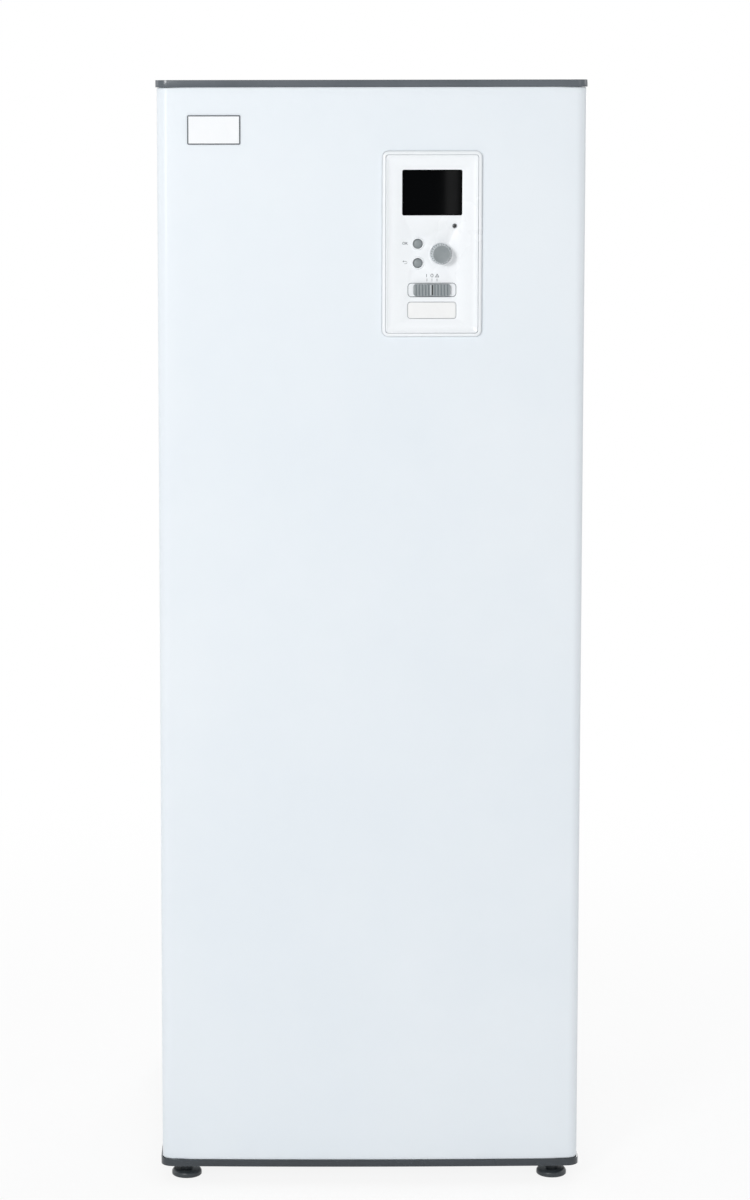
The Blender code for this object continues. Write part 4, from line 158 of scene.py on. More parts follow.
class Group(Tree):
    """A shader node group with named inputs and outputs."""

    SOCKETS = {"float": "NodeSocketFloat", "colour": "NodeSocketColor", "vector": "NodeSocketVector"}

    def __init__(self, name: str, inputs: dict[str, str], outputs: dict[str, str]) -> None:
        """Make the group and its sockets.

        Args:
            name: The group's name.
            inputs: Kind of each input, by name.
            outputs: Kind of each output, by name.
        """
        super().__init__(bpy.data.node_groups.new(name, "ShaderNodeTree"))
        for direction, sockets in (("INPUT", inputs), ("OUTPUT", outputs)):
            for label, kind in sockets.items():
                self.tree.interface.new_socket(label, in_out=direction, socket_type=self.SOCKETS[kind])
        self.given = self.tree.nodes.new("NodeGroupInput").outputs
        self.result = self.tree.nodes.new("NodeGroupOutput").inputs

    def place(self) -> Socket:
        """Return the piece's own coordinates."""
        return self.add("TexCoord").outputs["Object"]

    def noise(self, detail: float, rough: float) -> bpy.types.Node:
        """Add noise over the piece at the group's Scale and Stretch."""
        place = self.vector("MULTIPLY", self.place(), self.given["Stretch"]).outputs[0]
        return self.add("TexNoise", Vector=place, Scale=self.given["Scale"], Detail=detail, Roughness=rough)

    def give(self, name: str, source: Socket) -> None:
        """Join a socket to one of the group's outputs."""
        self.tree.links.new(source, self.result[name])


@cache
def grain_group() -> bpy.types.NodeTree:
    """Make fine surface grain, stretched where a finish has a direction.

    Returns:
        The group's tree.
    """
    group = Group("surface_grain", {"Scale": "float", "Stretch": "vector"}, {"Height": "float"})
    group.give("Height", group.noise(3.0, 0.55).outputs["Fac"])
    return group.tree


@cache
def drift_group() -> bpy.types.NodeTree:
    """Make slow changes of tone and gloss over a surface.

    Returns:
        The group's tree.
    """
    group = Group("tone_drift", {"Light": "colour", "Dark": "colour", "Scale": "float", "Stretch": "vector",
                                 "Gloss": "float", "Swing": "float"},
                  {"Colour": "colour", "Roughness": "float"})
    noise = group.noise(4.0, 0.6)
    share = group.add("MapRange", {"interpolation_type": "SMOOTHSTEP"}, Value=noise.outputs["Fac"],
                      From_Min=0.28, From_Max=0.72).outputs[0]
    group.give("Colour", group.blend(share, group.given["Dark"], group.given["Light"]))
    swing = group.math("MULTIPLY", group.math("SUBTRACT", share, 0.5), group.given["Swing"])
    group.give("Roughness", group.math("ADD", group.given["Gloss"], swing))
    return group.tree


@cache
def cell_group() -> bpy.types.NodeTree:
    """Make the crystal pattern of zinc, the cells of foam and the grit of castings.

    Returns:
        The group's tree.
    """
    group = Group("cell_pattern", {"Light": "colour", "Dark": "colour", "Scale": "float"},
                  {"Colour": "colour", "Height": "float"})
    cells = group.add("TexVoronoi", Vector=group.place(), Scale=group.given["Scale"])
    tone = group.add("SeparateColor", Color=cells.outputs["Color"]).outputs[0]
    group.give("Colour", group.blend(tone, group.given["Dark"], group.given["Light"]))
    group.give("Height", cells.outputs["Distance"])
    return group.tree


@cache
def window_group() -> bpy.types.NodeTree:
    """Make a soft-edged rectangle on a piece that faces the front.

    Returns:
        The group's tree.
    """
    group = Group("window_mask", {"Centre": "vector", "Half": "vector", "Edge": "float"}, {"Mask": "float"})
    offset = group.vector("SUBTRACT", group.place(), group.given["Centre"]).outputs[0]
    size = group.vector("ABSOLUTE", offset).outputs[0]
    room = group.vector("SUBTRACT", group.given["Half"], size).outputs[0]
    axes = group.add("SeparateXYZ", Vector=room)
    least = group.math("MINIMUM", axes.outputs["X"], axes.outputs["Z"])
    mask = group.add("MapRange", {"interpolation_type": "SMOOTHSTEP"}, Value=least, From_Min=0.0,
                     From_Max=group.given["Edge"])
    group.give("Mask", mask.outputs[0])
    return group.tree


class Recipe(Tree):
    """One material's node tree, round its Principled shader."""

    def __init__(self, name: str, **plain: float) -> None:
        """Make the material.

        Args:
            name: The material's name.
            plain: Shader numbers that are the same all over, by socket name with _ for a space.
        """
        self.material = bpy.data.materials.new(name)
        self.material.use_nodes = True
        super().__init__(self.material.node_tree)
        self.shader = self.tree.nodes["Principled BSDF"]
        for socket, value in plain.items():
            self.shader.inputs[socket.replace("_", " ")].default_value = value

    def group(self, tree: bpy.types.NodeTree, **inputs: object) -> bpy.types.Node:
        """Place a shared group with its own values."""
        return self.add("Group", {"node_tree": tree}, **inputs)

    def paint(self, socket: str, source: Socket) -> None:
        """Join a source to one of the shader's sockets."""
        self.tree.links.new(source, self.shader.inputs[socket])

    def painted(self, socket: str) -> Socket:
        """Return the source that is joined to one of the shader's sockets."""
        return self.shader.inputs[socket].links[0].from_socket

    def relief(self, height: Socket, depth: float) -> None:
        """Press a height pattern into the surface.

        Args:
            height: The pattern.
            depth: Its depth.
        """
        bump = self.add("Bump", Height=height, Distance=depth, Strength=1.0)
        if self.shader.inputs["Normal"].links:
            self.tree.links.new(self.painted("Normal"), bump.inputs["Normal"])
        self.paint("Normal", bump.outputs[0])


@dataclass(frozen=True)
class Finish:
    """A plain finish: two close tones that drift, a gloss that drifts, and a fine grain."""

    name: str
    light: Rgb
    dark: Rgb
    roughness: float = 0.45
    swing: float = 0.06
    drift: float = 4.0
    grain: float = 900.0
    depth: float = 0.00002
    stretch: Point = (1.0, 1.0, 1.0)
    metallic: float = 0.0
    coat: float = 0.0
    coat_roughness: float = 0.08
    specular: float = 0.5

    def recipe(self) -> Recipe:
        """Make the material's tree with its drift and grain.

        Returns:
            The material's recipe.
        """
        made = Recipe(self.name, Metallic=self.metallic, Coat_Weight=self.coat,
                      Coat_Roughness=self.coat_roughness, Specular_IOR_Level=self.specular)
        drift = made.group(drift_group(), Light=linear(self.light), Dark=linear(self.dark),
                           Scale=self.drift, Stretch=self.stretch, Gloss=self.roughness, Swing=self.swing)
        made.paint("Base Color", drift.outputs["Colour"])
        made.paint("Roughness", drift.outputs["Roughness"])
        grain = made.group(grain_group(), Scale=self.grain, Stretch=self.stretch)
        made.relief(grain.outputs["Height"], self.depth)
        return made

    @cache
    def material(self) -> bpy.types.Material:
        """Return the finish's material, made once."""
        return self.recipe().material


@dataclass(frozen=True)
class CellFinish(Finish):
    """A finish with a cell pattern over it: zinc spangle, foam skin or a casting's grit."""

    cell: float = 120.0
    cell_share: float = 0.5
    cell_depth: float = 0.0
    cell_light: Rgb = (190, 194, 198)
    cell_dark: Rgb = (150, 156, 160)

    def recipe(self) -> Recipe:
        """Make the material's tree with the cells mixed into the drift.

        Returns:
            The material's recipe.
        """
        made = super().recipe()
        cells = made.group(cell_group(), Light=linear(self.cell_light), Dark=linear(self.cell_dark),
                           Scale=self.cell)
        made.paint("Base Color", made.blend(self.cell_share, made.painted("Base Color"),
                                            cells.outputs["Colour"]))
        if self.cell_depth:
            made.relief(cells.outputs["Height"], self.cell_depth)
        return made


@dataclass(frozen=True)
class ScreenFinish(Finish):
    """Dark glass over a display whose lit field is a little lighter than its border."""

    centre: Point = (0.0, 0.0, 0.0)
    half: Point = (1.0, 1.0, 1.0)
    field_edge: float = 0.0012
    field_tone: Rgb = (3, 4, 5)

    def recipe(self) -> Recipe:
        """Make the material's tree with the field inside its border.

        Returns:
            The material's recipe.
        """
        made = super().recipe()
        mask = made.group(window_group(), Centre=self.centre, Half=self.half, Edge=self.field_edge)
        made.paint("Base Color", made.blend(mask.outputs["Mask"], made.painted("Base Color"),
                                            linear(self.field_tone)))
        return made


PAINTED_STEEL = Finish("powder_coat_white", (237, 243, 248), (233, 240, 246), 0.34, 0.05, 2.5, 620.0, 0.00003,
                       specular=0.3)
# Base trim: the top trim's slate made darker, partly its own tone and partly painted shade for the weaker
# light below.
SLATE_TRIM_SHADED = Finish("slate_trim_plastic_shaded", (55, 61, 67), (49, 55, 60), 0.26, 0.05, 9.0, 1500.0, 0.000012)
SLATE_TRIM = Finish("slate_trim_plastic", (90, 96, 103), (81, 88, 95), 0.24, 0.05, 9.0, 1500.0, 0.000012)
DISPLAY_WHITE = Finish("display_gloss_plastic", (246, 249, 252), (243, 247, 250), 0.26, 0.04, 6.0, 1400.0,
                       0.000006, coat=0.15)
CONTROL_GREY = Finish("control_grey_plastic", (142, 149, 152), (135, 142, 145), 0.44, 0.06, 40.0, 2400.0,
                      0.00002)
SLIDER_GREY = Finish("slider_grey_plastic", (154, 161, 164), (147, 154, 157), 0.44, 0.06, 40.0, 2400.0,
                     0.00002)
KNOB_SIDE = Finish("knob_side_plastic", (198, 205, 208), (190, 197, 200), 0.34, 0.05, 40.0, 2400.0, 0.00002)
# Knob face grey, also laid in the flute hollows as painted shade.
KNOB_FACE_AND_FLUTE_SHADE = Finish("knob_face_grey_and_flute_shade", (143, 150, 153), (135, 142, 145), 0.40, 0.05, 60.0, 2400.0, 0.00002)
COVER_WHITE = Finish("socket_cover_plastic", (245, 246, 246), (242, 243, 243), 0.34, 0.05, 20.0, 1800.0,
                     0.00001)
# Grey for the chamfers round the fascia's pockets: painted shade of the gap line.
OPENING_PAINTED_SHADE = Finish("opening_edge_painted_shade", (112, 118, 124), (104, 110, 116), 0.5, 0.05, 60.0, 1800.0,
                      0.00001)
# Darker grey in the slider's groove hollows: painted shade.
GROOVE_PAINTED_SHADE = Finish("slider_groove_painted_shade", (130, 138, 142), (122, 130, 134), 0.50, 0.06, 40.0, 2400.0,
                     0.00002)
BADGE_FACE = Finish("badge_face", (247, 249, 251), (243, 246, 249), 0.30, 0.04, 20.0, 1800.0, 0.000008)
BADGE_EDGE = Finish("badge_edge", (92, 97, 103), (80, 86, 92), 0.40, 0.05, 60.0, 1800.0, 0.00001)
PRINT_GREY = Finish("printed_marks", (118, 124, 128), (110, 116, 120), 0.55, 0.05, 200.0, 3000.0, 0.000003)
LAMP_LENS = Finish("lamp_lens", (34, 36, 38), (26, 28, 30), 0.12, 0.03, 90.0, 3000.0, 0.000002, coat=0.6)
FOOT_RUBBER = Finish("foot_rubber", (56, 63, 68), (46, 53, 58), 0.36, 0.08, 30.0, 1300.0, 0.00003)
BLACK_PLASTIC = Finish("black_plastic", (42, 44, 46), (33, 35, 37), 0.50, 0.08, 20.0, 1500.0, 0.00003)
HOUSING_GREY = Finish("housing_grey_plastic", (176, 180, 183), (164, 168, 172), 0.50, 0.06, 12.0, 1300.0,
                      0.00003)
ZINC_SHEET = CellFinish("galvanised_sheet", (196, 200, 204), (170, 175, 180), 0.34, 0.16, 7.0, 500.0, 0.00002,
                        metallic=1.0, cell=95.0)
ZINC_SCREW = Finish("zinc_plated_screw", (205, 205, 200), (180, 182, 180), 0.28, 0.10, 60.0, 1400.0, 0.00002,
                    metallic=1.0)
STAINLESS = Finish("stainless_steel", (204, 205, 206), (182, 184, 187), 0.27, 0.16, 5.0, 260.0, 0.00002,
                   (1.0, 1.0, 14.0), metallic=1.0)
PLATE_STEEL = Finish("pressed_plate_steel", (200, 198, 194), (176, 174, 170), 0.30, 0.18, 22.0, 420.0,
                     0.00003, (1.0, 6.0, 1.0), metallic=1.0)
COPPER = Finish("drawn_copper", (214, 142, 108), (176, 104, 74), 0.30, 0.20, 11.0, 700.0, 0.00002,
                metallic=1.0)
BRASS = Finish("turned_brass", (206, 178, 112), (176, 146, 84), 0.30, 0.16, 24.0, 900.0, 0.00002,
               metallic=1.0)
CAST_IRON = CellFinish("coated_cast_iron", (52, 54, 57), (38, 40, 43), 0.55, 0.12, 30.0, 900.0, 0.00008,
                       cell=700.0, cell_depth=0.0001, cell_light=(60, 62, 66), cell_dark=(36, 38, 41))
RED_ENAMEL = Finish("red_enamel", (178, 34, 30), (156, 24, 22), 0.32, 0.08, 14.0, 380.0, 0.00004, coat=0.3)
FOAM_SKIN = CellFinish("insulation_foam", (150, 153, 158), (134, 138, 143), 0.85, 0.10, 5.0, 260.0, 0.0003,
                       cell=420.0, cell_depth=0.00035, cell_light=(150, 153, 158), cell_dark=(128, 132, 138))
BOARD_GREEN = Finish("board_green", (34, 98, 58), (24, 78, 46), 0.36, 0.08, 60.0, 900.0, 0.00004, coat=0.3)
MODULE_STEEL = Finish("display_module", (150, 152, 156), (128, 131, 136), 0.40, 0.10, 30.0, 900.0, 0.00002,
                      metallic=1.0)
DIAL_WHITE = Finish("dial_face", (240, 240, 236), (234, 234, 230), 0.40, 0.04, 60.0, 1600.0, 0.000005)


# Shapes
def picked(result: dict, kind: type) -> list:
    """Return the parts of one kind from an operator's result."""
    return [item for item in result["geom"] if isinstance(item, kind)]


def mesh_of(bm: Solid, name: str) -> bpy.types.Mesh:
    """Turn a solid into mesh data, which uses it up.

    Args:
        bm: The solid.
        name: The data's name.

    Returns:
        The data.
    """
    mesh = bpy.data.meshes.new(name)
    bm.to_mesh(mesh)
    bm.free()
    return mesh


def placed(name: str, data: bpy.types.ID) -> bpy.types.Object:
    """Add an object to the scene.

    Args:
        name: The object's name.
        data: Its mesh, curve, light or camera.

    Returns:
        The object.
    """
    item = bpy.data.objects.new(name, data)
    bpy.context.scene.collection.objects.link(item)
    return item


def turned_out(bm: Solid) -> Solid:
    """Turn a solid's faces outwards."""
    bmesh.ops.recalc_face_normals(bm, faces=bm.faces)
    return bm


def inset(bm: Solid, face: Face, width: float) -> None:
    """Shrink a face by a width, with a band left round it."""
    bmesh.ops.inset_region(bm, faces=[face], thickness=width, use_even_offset=True)


def slab(bm: Solid, move: Point) -> Solid:
    """Draw a flat shape out into a slab.

    Args:
        bm: The flat shape, which is changed.
        move: How far it is drawn.

    Returns:
        The slab.
    """
    made = bmesh.ops.extrude_face_region(bm, geom=bm.faces[:] + bm.edges[:] + bm.verts[:])
    bmesh.ops.translate(bm, vec=move, verts=picked(made, Vert))
    return turned_out(bm)


def rounded(bm: Solid, parts: Sequence[Edge | Vert], width: float, segments: int,
            on: Rounding = Rounding.EDGES, clamp: bool = False) -> None:
    """Round edges of a solid, or corners of a flat outline.

    Args:
        bm: The solid.
        parts: The edges or the corners.
        width: Width of the rounding.
        segments: Faces across it.
        on: Whether the parts are edges or corners.
        clamp: Whether it stays narrower where there is no room for it.
    """
    bmesh.ops.bevel(bm, geom=parts, offset=width, offset_type="OFFSET", affect=on.value, segments=segments,
                    profile=0.5, material=-1, clamp_overlap=clamp)


def soften(bm: Solid, width: float, segments: int = 2, sharper_than: float = 30.0,
           only: Callable[[Edge], bool] | None = None) -> Solid:
    """Round the sharp edges of a solid.

    Args:
        bm: The solid.
        width: Width of the rounding.
        segments: Faces across the rounding.
        sharper_than: Least angle in degrees of an edge that is rounded.
        only: Test that an edge has to pass as well.

    Returns:
        The same solid.
    """
    limit = math.radians(sharper_than)
    edges = [e for e in bm.edges if len(e.link_faces) == 2 and e.calc_face_angle() > limit]
    if only:
        edges = [e for e in edges if only(e)]
    rounded(bm, edges, width, segments, clamp=True)
    return bm


def turned(profile: Iterable[Pair], centre: Point, axis: Axis = Axis.DEPTH, segments: int = 48,
           edge: float = 0.0) -> Solid:
    """Spin a profile about an axis.

    Args:
        profile: Radius and place along the axis of each point, from one end to the other.
        centre: A point on the axis.
        axis: The axis's direction.
        segments: Steps round the axis.
        edge: Width of the rounding on the turned edges, or zero.

    Returns:
        The turned solid.
    """
    bm = bmesh.new()
    verts = [bm.verts.new((radius, 0, along)) for radius, along in profile]
    edges = [bm.edges.new(pair) for pair in zip(verts, verts[1:])]
    bmesh.ops.spin(bm, geom=verts + edges, cent=(0, 0, 0), axis=(0, 0, 1), angle=math.tau, steps=segments,
                   use_merge=True)
    bmesh.ops.remove_doubles(bm, verts=bm.verts, dist=MERGE)
    turned_out(bm)
    if edge:
        soften(bm, edge)
    matrix = Matrix.Translation(centre) @ (ALONG_Y if axis is Axis.DEPTH else Matrix.Identity(4))
    bmesh.ops.transform(bm, matrix=matrix, verts=bm.verts)
    return bm


def arc(centre: Pair, radius: float, first: float, last: float, steps: int = 8) -> list[Pair]:
    """Return points along an arc between two angles in degrees."""
    angles = [math.radians(first + (last - first) * i / steps) for i in range(steps + 1)]
    return [(centre[0] + radius * math.cos(angle), centre[1] + radius * math.sin(angle)) for angle in angles]


def forward(profile: Iterable[Pair], front: float) -> list[Pair]:
    """Return a profile given by its heights in front of a face, as places along Y."""
    return [(radius, front - height) for radius, height in profile]


def ring(inner: float, outer: float, near: float, far: float, centre: Point, axis: Axis = Axis.DEPTH,
         segments: int = 48, edge: float = 0.0) -> Solid:
    """Turn a flat ring.

    Args:
        inner: Inner radius.
        outer: Outer radius.
        near: Lower place along the axis.
        far: Higher place along the axis.
        centre: A point on the axis.
        axis: The axis's direction.
        segments: Steps round the axis.
        edge: Width of the rounding on its edges, or zero.

    Returns:
        The ring.
    """
    corners = [(inner, near), (outer, near), (outer, far), (inner, far), (inner, near)]
    return turned(corners, centre, axis, segments, edge)


def block(low: Point, high: Point, edge: float = 0.0) -> Solid:
    """Make a box between two corners.

    Args:
        low: Its low corner.
        high: Its high corner.
        edge: Width of the rounding on its edges, or zero.

    Returns:
        The box.
    """
    bm = bmesh.new()
    size, middle = Vector(high) - Vector(low), (Vector(high) + Vector(low)) / 2
    bmesh.ops.create_cube(bm, size=1.0, matrix=Matrix.Translation(middle) @ Matrix.Diagonal((*size, 1.0)))
    if edge:
        soften(bm, edge)
    return bm


def rod(start: Point, end: Point, radius: float, segments: int = 24) -> Solid:
    """Make a round bar between two points.

    Args:
        start: One end.
        end: The other end.
        radius: Its radius.
        segments: Sides round it.

    Returns:
        The bar.
    """
    bm = bmesh.new()
    run = Vector(end) - Vector(start)
    turn = Vector((0, 0, 1)).rotation_difference(run).to_matrix().to_4x4()
    matrix = Matrix.Translation((Vector(start) + Vector(end)) / 2) @ turn
    bmesh.ops.create_cone(bm, cap_ends=True, segments=segments, radius1=radius, radius2=radius,
                          depth=run.length, matrix=matrix)
    return bm


def joined(parts: Iterable[Solid]) -> Solid:
    """Put several solids into one mesh.

    Args:
        parts: The solids, which are used up.

    Returns:
        The mesh that holds them all.
    """
    whole = bmesh.new()
    for part in parts:
        mesh = mesh_of(part, "part")
        whole.from_mesh(mesh)
        bpy.data.meshes.remove(mesh)
    return whole


def carved(bm: Solid, cutter: Solid) -> Solid:
    """Cut one solid out of another.

    Args:
        bm: The solid that is kept, which is used up.
        cutter: The other solid, which is used up.

    Returns:
        The result.
    """
    pair = [placed(name, mesh_of(turned_out(form), name))
            for name, form in (("kept", bm), ("cutter", cutter))]
    modifier = pair[0].modifiers.new("cut", "BOOLEAN")
    modifier.operation, modifier.solver, modifier.object = "DIFFERENCE", "EXACT", pair[1]
    made = bmesh.new()
    made.from_object(pair[0], bpy.context.evaluated_depsgraph_get())
    for item in pair:
        mesh = item.data
        bpy.data.objects.remove(item)
        bpy.data.meshes.remove(mesh)
    bmesh.ops.remove_doubles(made, verts=made.verts, dist=MERGE)
    return made


def drawn(bm: Solid, face: Face, move: Point) -> Face:
    """Draw a face out of a mesh, or a flat outline out into a slab.

    Args:
        bm: The mesh.
        face: Its face.
        move: How far the face goes.

    Returns:
        The face at its new place.
    """
    flat = not any(len(edge.link_faces) > 1 for edge in face.edges)
    made = bmesh.ops.extrude_face_region(bm, geom=[face])
    bmesh.ops.translate(bm, vec=move, verts=picked(made, Vert))
    if face.is_valid and not flat:
        bmesh.ops.delete(bm, geom=[face], context="FACES_ONLY")
    return picked(made, Face)[0]


class Stack:
    """A solid that faces the front, built forward from a flat rounded outline step by step."""

    def __init__(self, width: float, height: float, radius: float, centre: Pair, y: float,
                 segments: int = 8) -> None:
        """Lay the first outline.

        Args:
            width: Its width.
            height: Its height.
            radius: Radius of its corners.
            centre: X and Z of its middle.
            y: Its place along Y.
            segments: Steps round each corner.
        """
        self.bm = bmesh.new()
        self.segments = segments
        self.centre = centre
        self.face = self.outline(width, height, radius, y)

    def outline(self, width: float, height: float, radius: float, y: float) -> Face:
        """Add a rounded rectangle.

        Args:
            width: Its width.
            height: Its height.
            radius: Radius of its corners.
            y: Its place along Y.

        Returns:
            Its face.
        """
        place = Matrix.Translation((self.centre[0], y, self.centre[1]))
        matrix = place @ FACING_FRONT @ Matrix.Diagonal((width, height, 1.0, 1.0))
        made = bmesh.ops.create_grid(self.bm, x_segments=1, y_segments=1, size=0.5, matrix=matrix)["verts"]
        if radius:
            known = set(self.bm.faces) - set(made[0].link_faces)
            rounded(self.bm, made, radius, self.segments, Rounding.CORNERS)
            return next(face for face in self.bm.faces if face not in known)
        return made[0].link_faces[0]

    def rise(self, depth: float) -> "Stack":
        """Draw the front face forward by a depth."""
        self.face = drawn(self.bm, self.face, (0, -depth, 0))
        return self

    def step(self, width: float, depth: float = 0.0) -> "Stack":
        """Shrink the front face, and move it forward as well.

        Args:
            width: How far its rim comes in.
            depth: How far it moves forward.

        Returns:
            The same solid.
        """
        inset(self.bm, self.face, width)
        bmesh.ops.translate(self.bm, vec=(0, -depth, 0), verts=self.face.verts)
        return self

    def steps(self, moves: Iterable[Pair]) -> "Stack":
        """Shrink the front face and move it forward, step by step.

        Args:
            moves: The width and the depth of each step.

        Returns:
            The same solid.
        """
        for width, depth in moves:
            self.step(width, depth)
        return self

    def round_over(self, width: float, drop: float, count: int) -> "Stack":
        """Round the front face's rim over by a quarter turn in equal steps.

        Args:
            width: How far the rim comes in.
            drop: How far the face moves forward.
            count: Number of steps.

        Returns:
            The same solid.
        """
        turns = [math.radians(90 * i / count) for i in range(count + 1)]
        return self.steps((width * (math.cos(last) - math.cos(now)), drop * (math.sin(now) - math.sin(last)))
                          for last, now in zip(turns, turns[1:]))

    def reach(self, width: float, height: float, radius: float, y: float) -> "Stack":
        """Join the front face's rim to a new outline.

        Args:
            width: The outline's width.
            height: Its height.
            radius: Radius of its corners.
            y: Its place along Y.

        Returns:
            The same solid.
        """
        rim = self.face.edges[:]
        bmesh.ops.delete(self.bm, geom=[self.face], context="FACES_ONLY")
        self.face = self.outline(width, height, radius, y)
        bmesh.ops.bridge_loops(self.bm, edges=rim + self.face.edges[:])
        return self

    def frame(self, depth: float) -> "Stack":
        """Open the middle: draw the front face back and out of the solid's back.

        Args:
            depth: How far the face goes back before it is joined to the solid's back.

        Returns:
            The same solid.
        """
        back = max((f for f in self.bm.faces if f is not self.face), key=lambda f: f.calc_center_median().y)
        self.rise(-depth)
        rim = self.face.edges[:]
        outer = back.edges[:]
        bmesh.ops.delete(self.bm, geom=[self.face, back], context="FACES_ONLY")
        bmesh.ops.bridge_loops(self.bm, edges=rim + outer)
        return self

    def done(self) -> Solid:
        """Return the solid with its faces turned out."""
        return turned_out(self.bm)


def extended(bm: Solid, edges: list[Edge], move: Vector) -> list[Edge]:
    """Draw a loop of edges out by a move.

    Args:
        bm: The mesh that holds the loop.
        edges: The loop.
        move: How far it goes.

    Returns:
        The loop at the far end.
    """
    made = bmesh.ops.extrude_edge_only(bm, edges=edges)
    verts = picked(made, Vert)
    bmesh.ops.translate(bm, vec=move, verts=verts)
    fresh = set(verts)
    return [e for e in picked(made, Edge) if e.verts[0] in fresh and e.verts[1] in fresh]


def piped(points: Sequence[Point], radius: float, bend: float, bores: Pair, sides: int = 24, steps: int = 8,
          wall: float = 0.0012) -> Solid:
    """Run a round pipe through its corner points.

    Args:
        points: The corners, from one end to the other.
        radius: The pipe's radius.
        bend: Radius of the bends along its middle.
        bores: Depth of the bore at each end, or zero.
        sides: Sides round the pipe.
        steps: Steps along each bend.
        wall: The pipe's wall.

    Returns:
        The pipe.
    """
    bm = bmesh.new()
    path = [Vector(point) for point in points]
    heading = (path[1] - path[0]).normalized()
    turn = Vector((0, 0, 1)).rotation_difference(heading).to_matrix().to_4x4()
    start = bmesh.ops.create_circle(bm, cap_ends=True, radius=radius, segments=sides,
                                    matrix=Matrix.Translation(path[0]) @ turn)["verts"]
    first = start[0].link_faces[0]
    edges = bm.edges[:]
    place = path[0]
    for before, corner, after in zip(path, path[1:], path[2:]):
        inward, outward = (corner - before).normalized(), (after - corner).normalized()
        angle = inward.angle(outward)
        reach = inward * bend * math.tan(angle / 2)
        edges = extended(bm, edges, corner - reach - place)
        axis = inward.cross(outward).normalized()
        ring_verts = list({v for e in edges for v in e.verts})
        made = bmesh.ops.spin(bm, geom=ring_verts + edges, cent=corner - reach + axis.cross(inward) * bend,
                              axis=axis, angle=angle, steps=steps, use_merge=False)
        edges = [item for item in made["geom_last"] if isinstance(item, Edge)]
        place = corner + outward * reach.length
    edges = extended(bm, edges, path[-1] - place)
    last = bmesh.ops.edgeloop_fill(bm, edges=edges)["faces"][0]
    turned_out(bm)
    for face, depth in ((first, bores[0]), (last, bores[1])):
        if depth:
            inset(bm, face, wall)
            drawn(bm, face, face.normal * -depth)
    return bm


# Pieces
def add_piece(name: str, bm: Solid, finish: Finish | Sequence[Finish],
              replaces: Sequence[str] = (), body: Body = Body.CABINET, smooth: float = 38.0) -> None:
    """Turn a solid into a finished piece that rides on a body.

    Args:
        name: The piece's name.
        bm: Its shape, which is used up.
        finish: Its finish, or one for each material index.
        replaces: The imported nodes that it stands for.
        body: The body that it rides on.
        smooth: Angle in degrees under which faces shade as one.
    """
    mesh = mesh_of(bm, name)
    mesh.shade_smooth()
    mesh.set_sharp_from_angle(angle=math.radians(smooth))
    for one in ([finish] if isinstance(finish, Finish) else finish):
        mesh.materials.append(one.material())
    piece = placed(name, mesh)
    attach(piece, body.value)
    if replaces:
        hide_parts(*replaces)
    LOG.info("added %s", name)


def copied(node: str, edge: float = 0.0) -> Solid:
    """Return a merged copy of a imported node's mesh.

    Args:
        node: The node's name.
        edge: Width of the rounding on its sharp edges, or zero.

    Returns:
        The copy.
    """
    bm = bmesh.new()
    bm.from_mesh(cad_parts[node].data)
    bmesh.ops.remove_doubles(bm, verts=bm.verts, dist=MERGE)
    bmesh.ops.dissolve_limit(bm, angle_limit=FLAT, verts=bm.verts, edges=bm.edges)
    turned_out(bm)
    if edge:
        soften(bm, edge, sharper_than=35.0)
    return bm


def refine(node: str, finish: Finish, edge: float = 0.0004, body: Body = Body.CABINET) -> None:
    """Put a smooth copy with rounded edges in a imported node's place.

    Args:
        node: The node's name.
        finish: The copy's finish.
        edge: Width of the rounding on its sharp edges.
        body: The body that it rides on.
    """
    add_piece(f"{node}_skin", copied(node, edge), finish, [node], body)


def rounder(bm: Solid, centre: Pair, radius: float, sides: int, parts: int = 4) -> Solid:
    """Divide an upright many-sided wall and move its new corners out onto its circle.

    Args:
        bm: The solid, which is changed.
        centre: The axis's x and y.
        radius: Radius of the circle that the wall's corners lie on.
        sides: Sides round the circle, an even number.
        parts: Parts that each side is divided into.

    Returns:
        The same solid.
    """
    middle = Vector((*centre, 0))
    side = math.tau / sides
    for i in range(sides // 2 * parts):
        if i % parts:
            angle = side * i / parts
            bmesh.ops.bisect_plane(bm, geom=bm.verts[:] + bm.edges[:] + bm.faces[:], dist=MERGE,
                                   plane_co=middle, plane_no=(-math.sin(angle), math.cos(angle), 0))
    for vert in bm.verts:
        spoke = vert.co - middle
        length = math.hypot(spoke.x, spoke.y)
        off = math.atan2(spoke.y, spoke.x) % side - side / 2
        corner = length * math.cos(off) / math.cos(side / 2)
        if abs(corner - radius) < 10 * MERGE:
            vert.co.x = centre[0] + spoke.x * corner / length
            vert.co.y = centre[1] + spoke.y * corner / length
    return bm


@dataclass(frozen=True)
class CabinetSizes:
    """The cabinet's outside, which every sub-assembly is placed by."""

    front: float = -0.2955
    rear: float = 0.3195
    half: float = 0.298
    overhang: float = 0.002
    crown: float = 0.004
    corner: float = 0.015
    rear_corner: float = 0.004
    floor_gap: float = 0.025
    trim: float = 0.010
    top: float = 1.575
    sheet: float = 0.0012
    fit: float = 0.0003
    seam: float = -0.2465
    jamb: float = -0.245

    @property
    def back(self) -> float:
        """Return the back panel's outer face."""
        return self.rear - self.overhang

    @property
    def panel_low(self) -> float:
        """Return the lower end of the upright panels."""
        return self.floor_gap + self.trim + self.fit

    @property
    def panel_high(self) -> float:
        """Return the upper end of the upright panels."""
        return self.top - self.trim - self.fit

    def face(self, x: float) -> float:
        """Return the crowned front's place along Y at a distance from the middle."""
        return self.front + self.crown * min(1.0, (x / (self.half - self.corner)) ** 2)


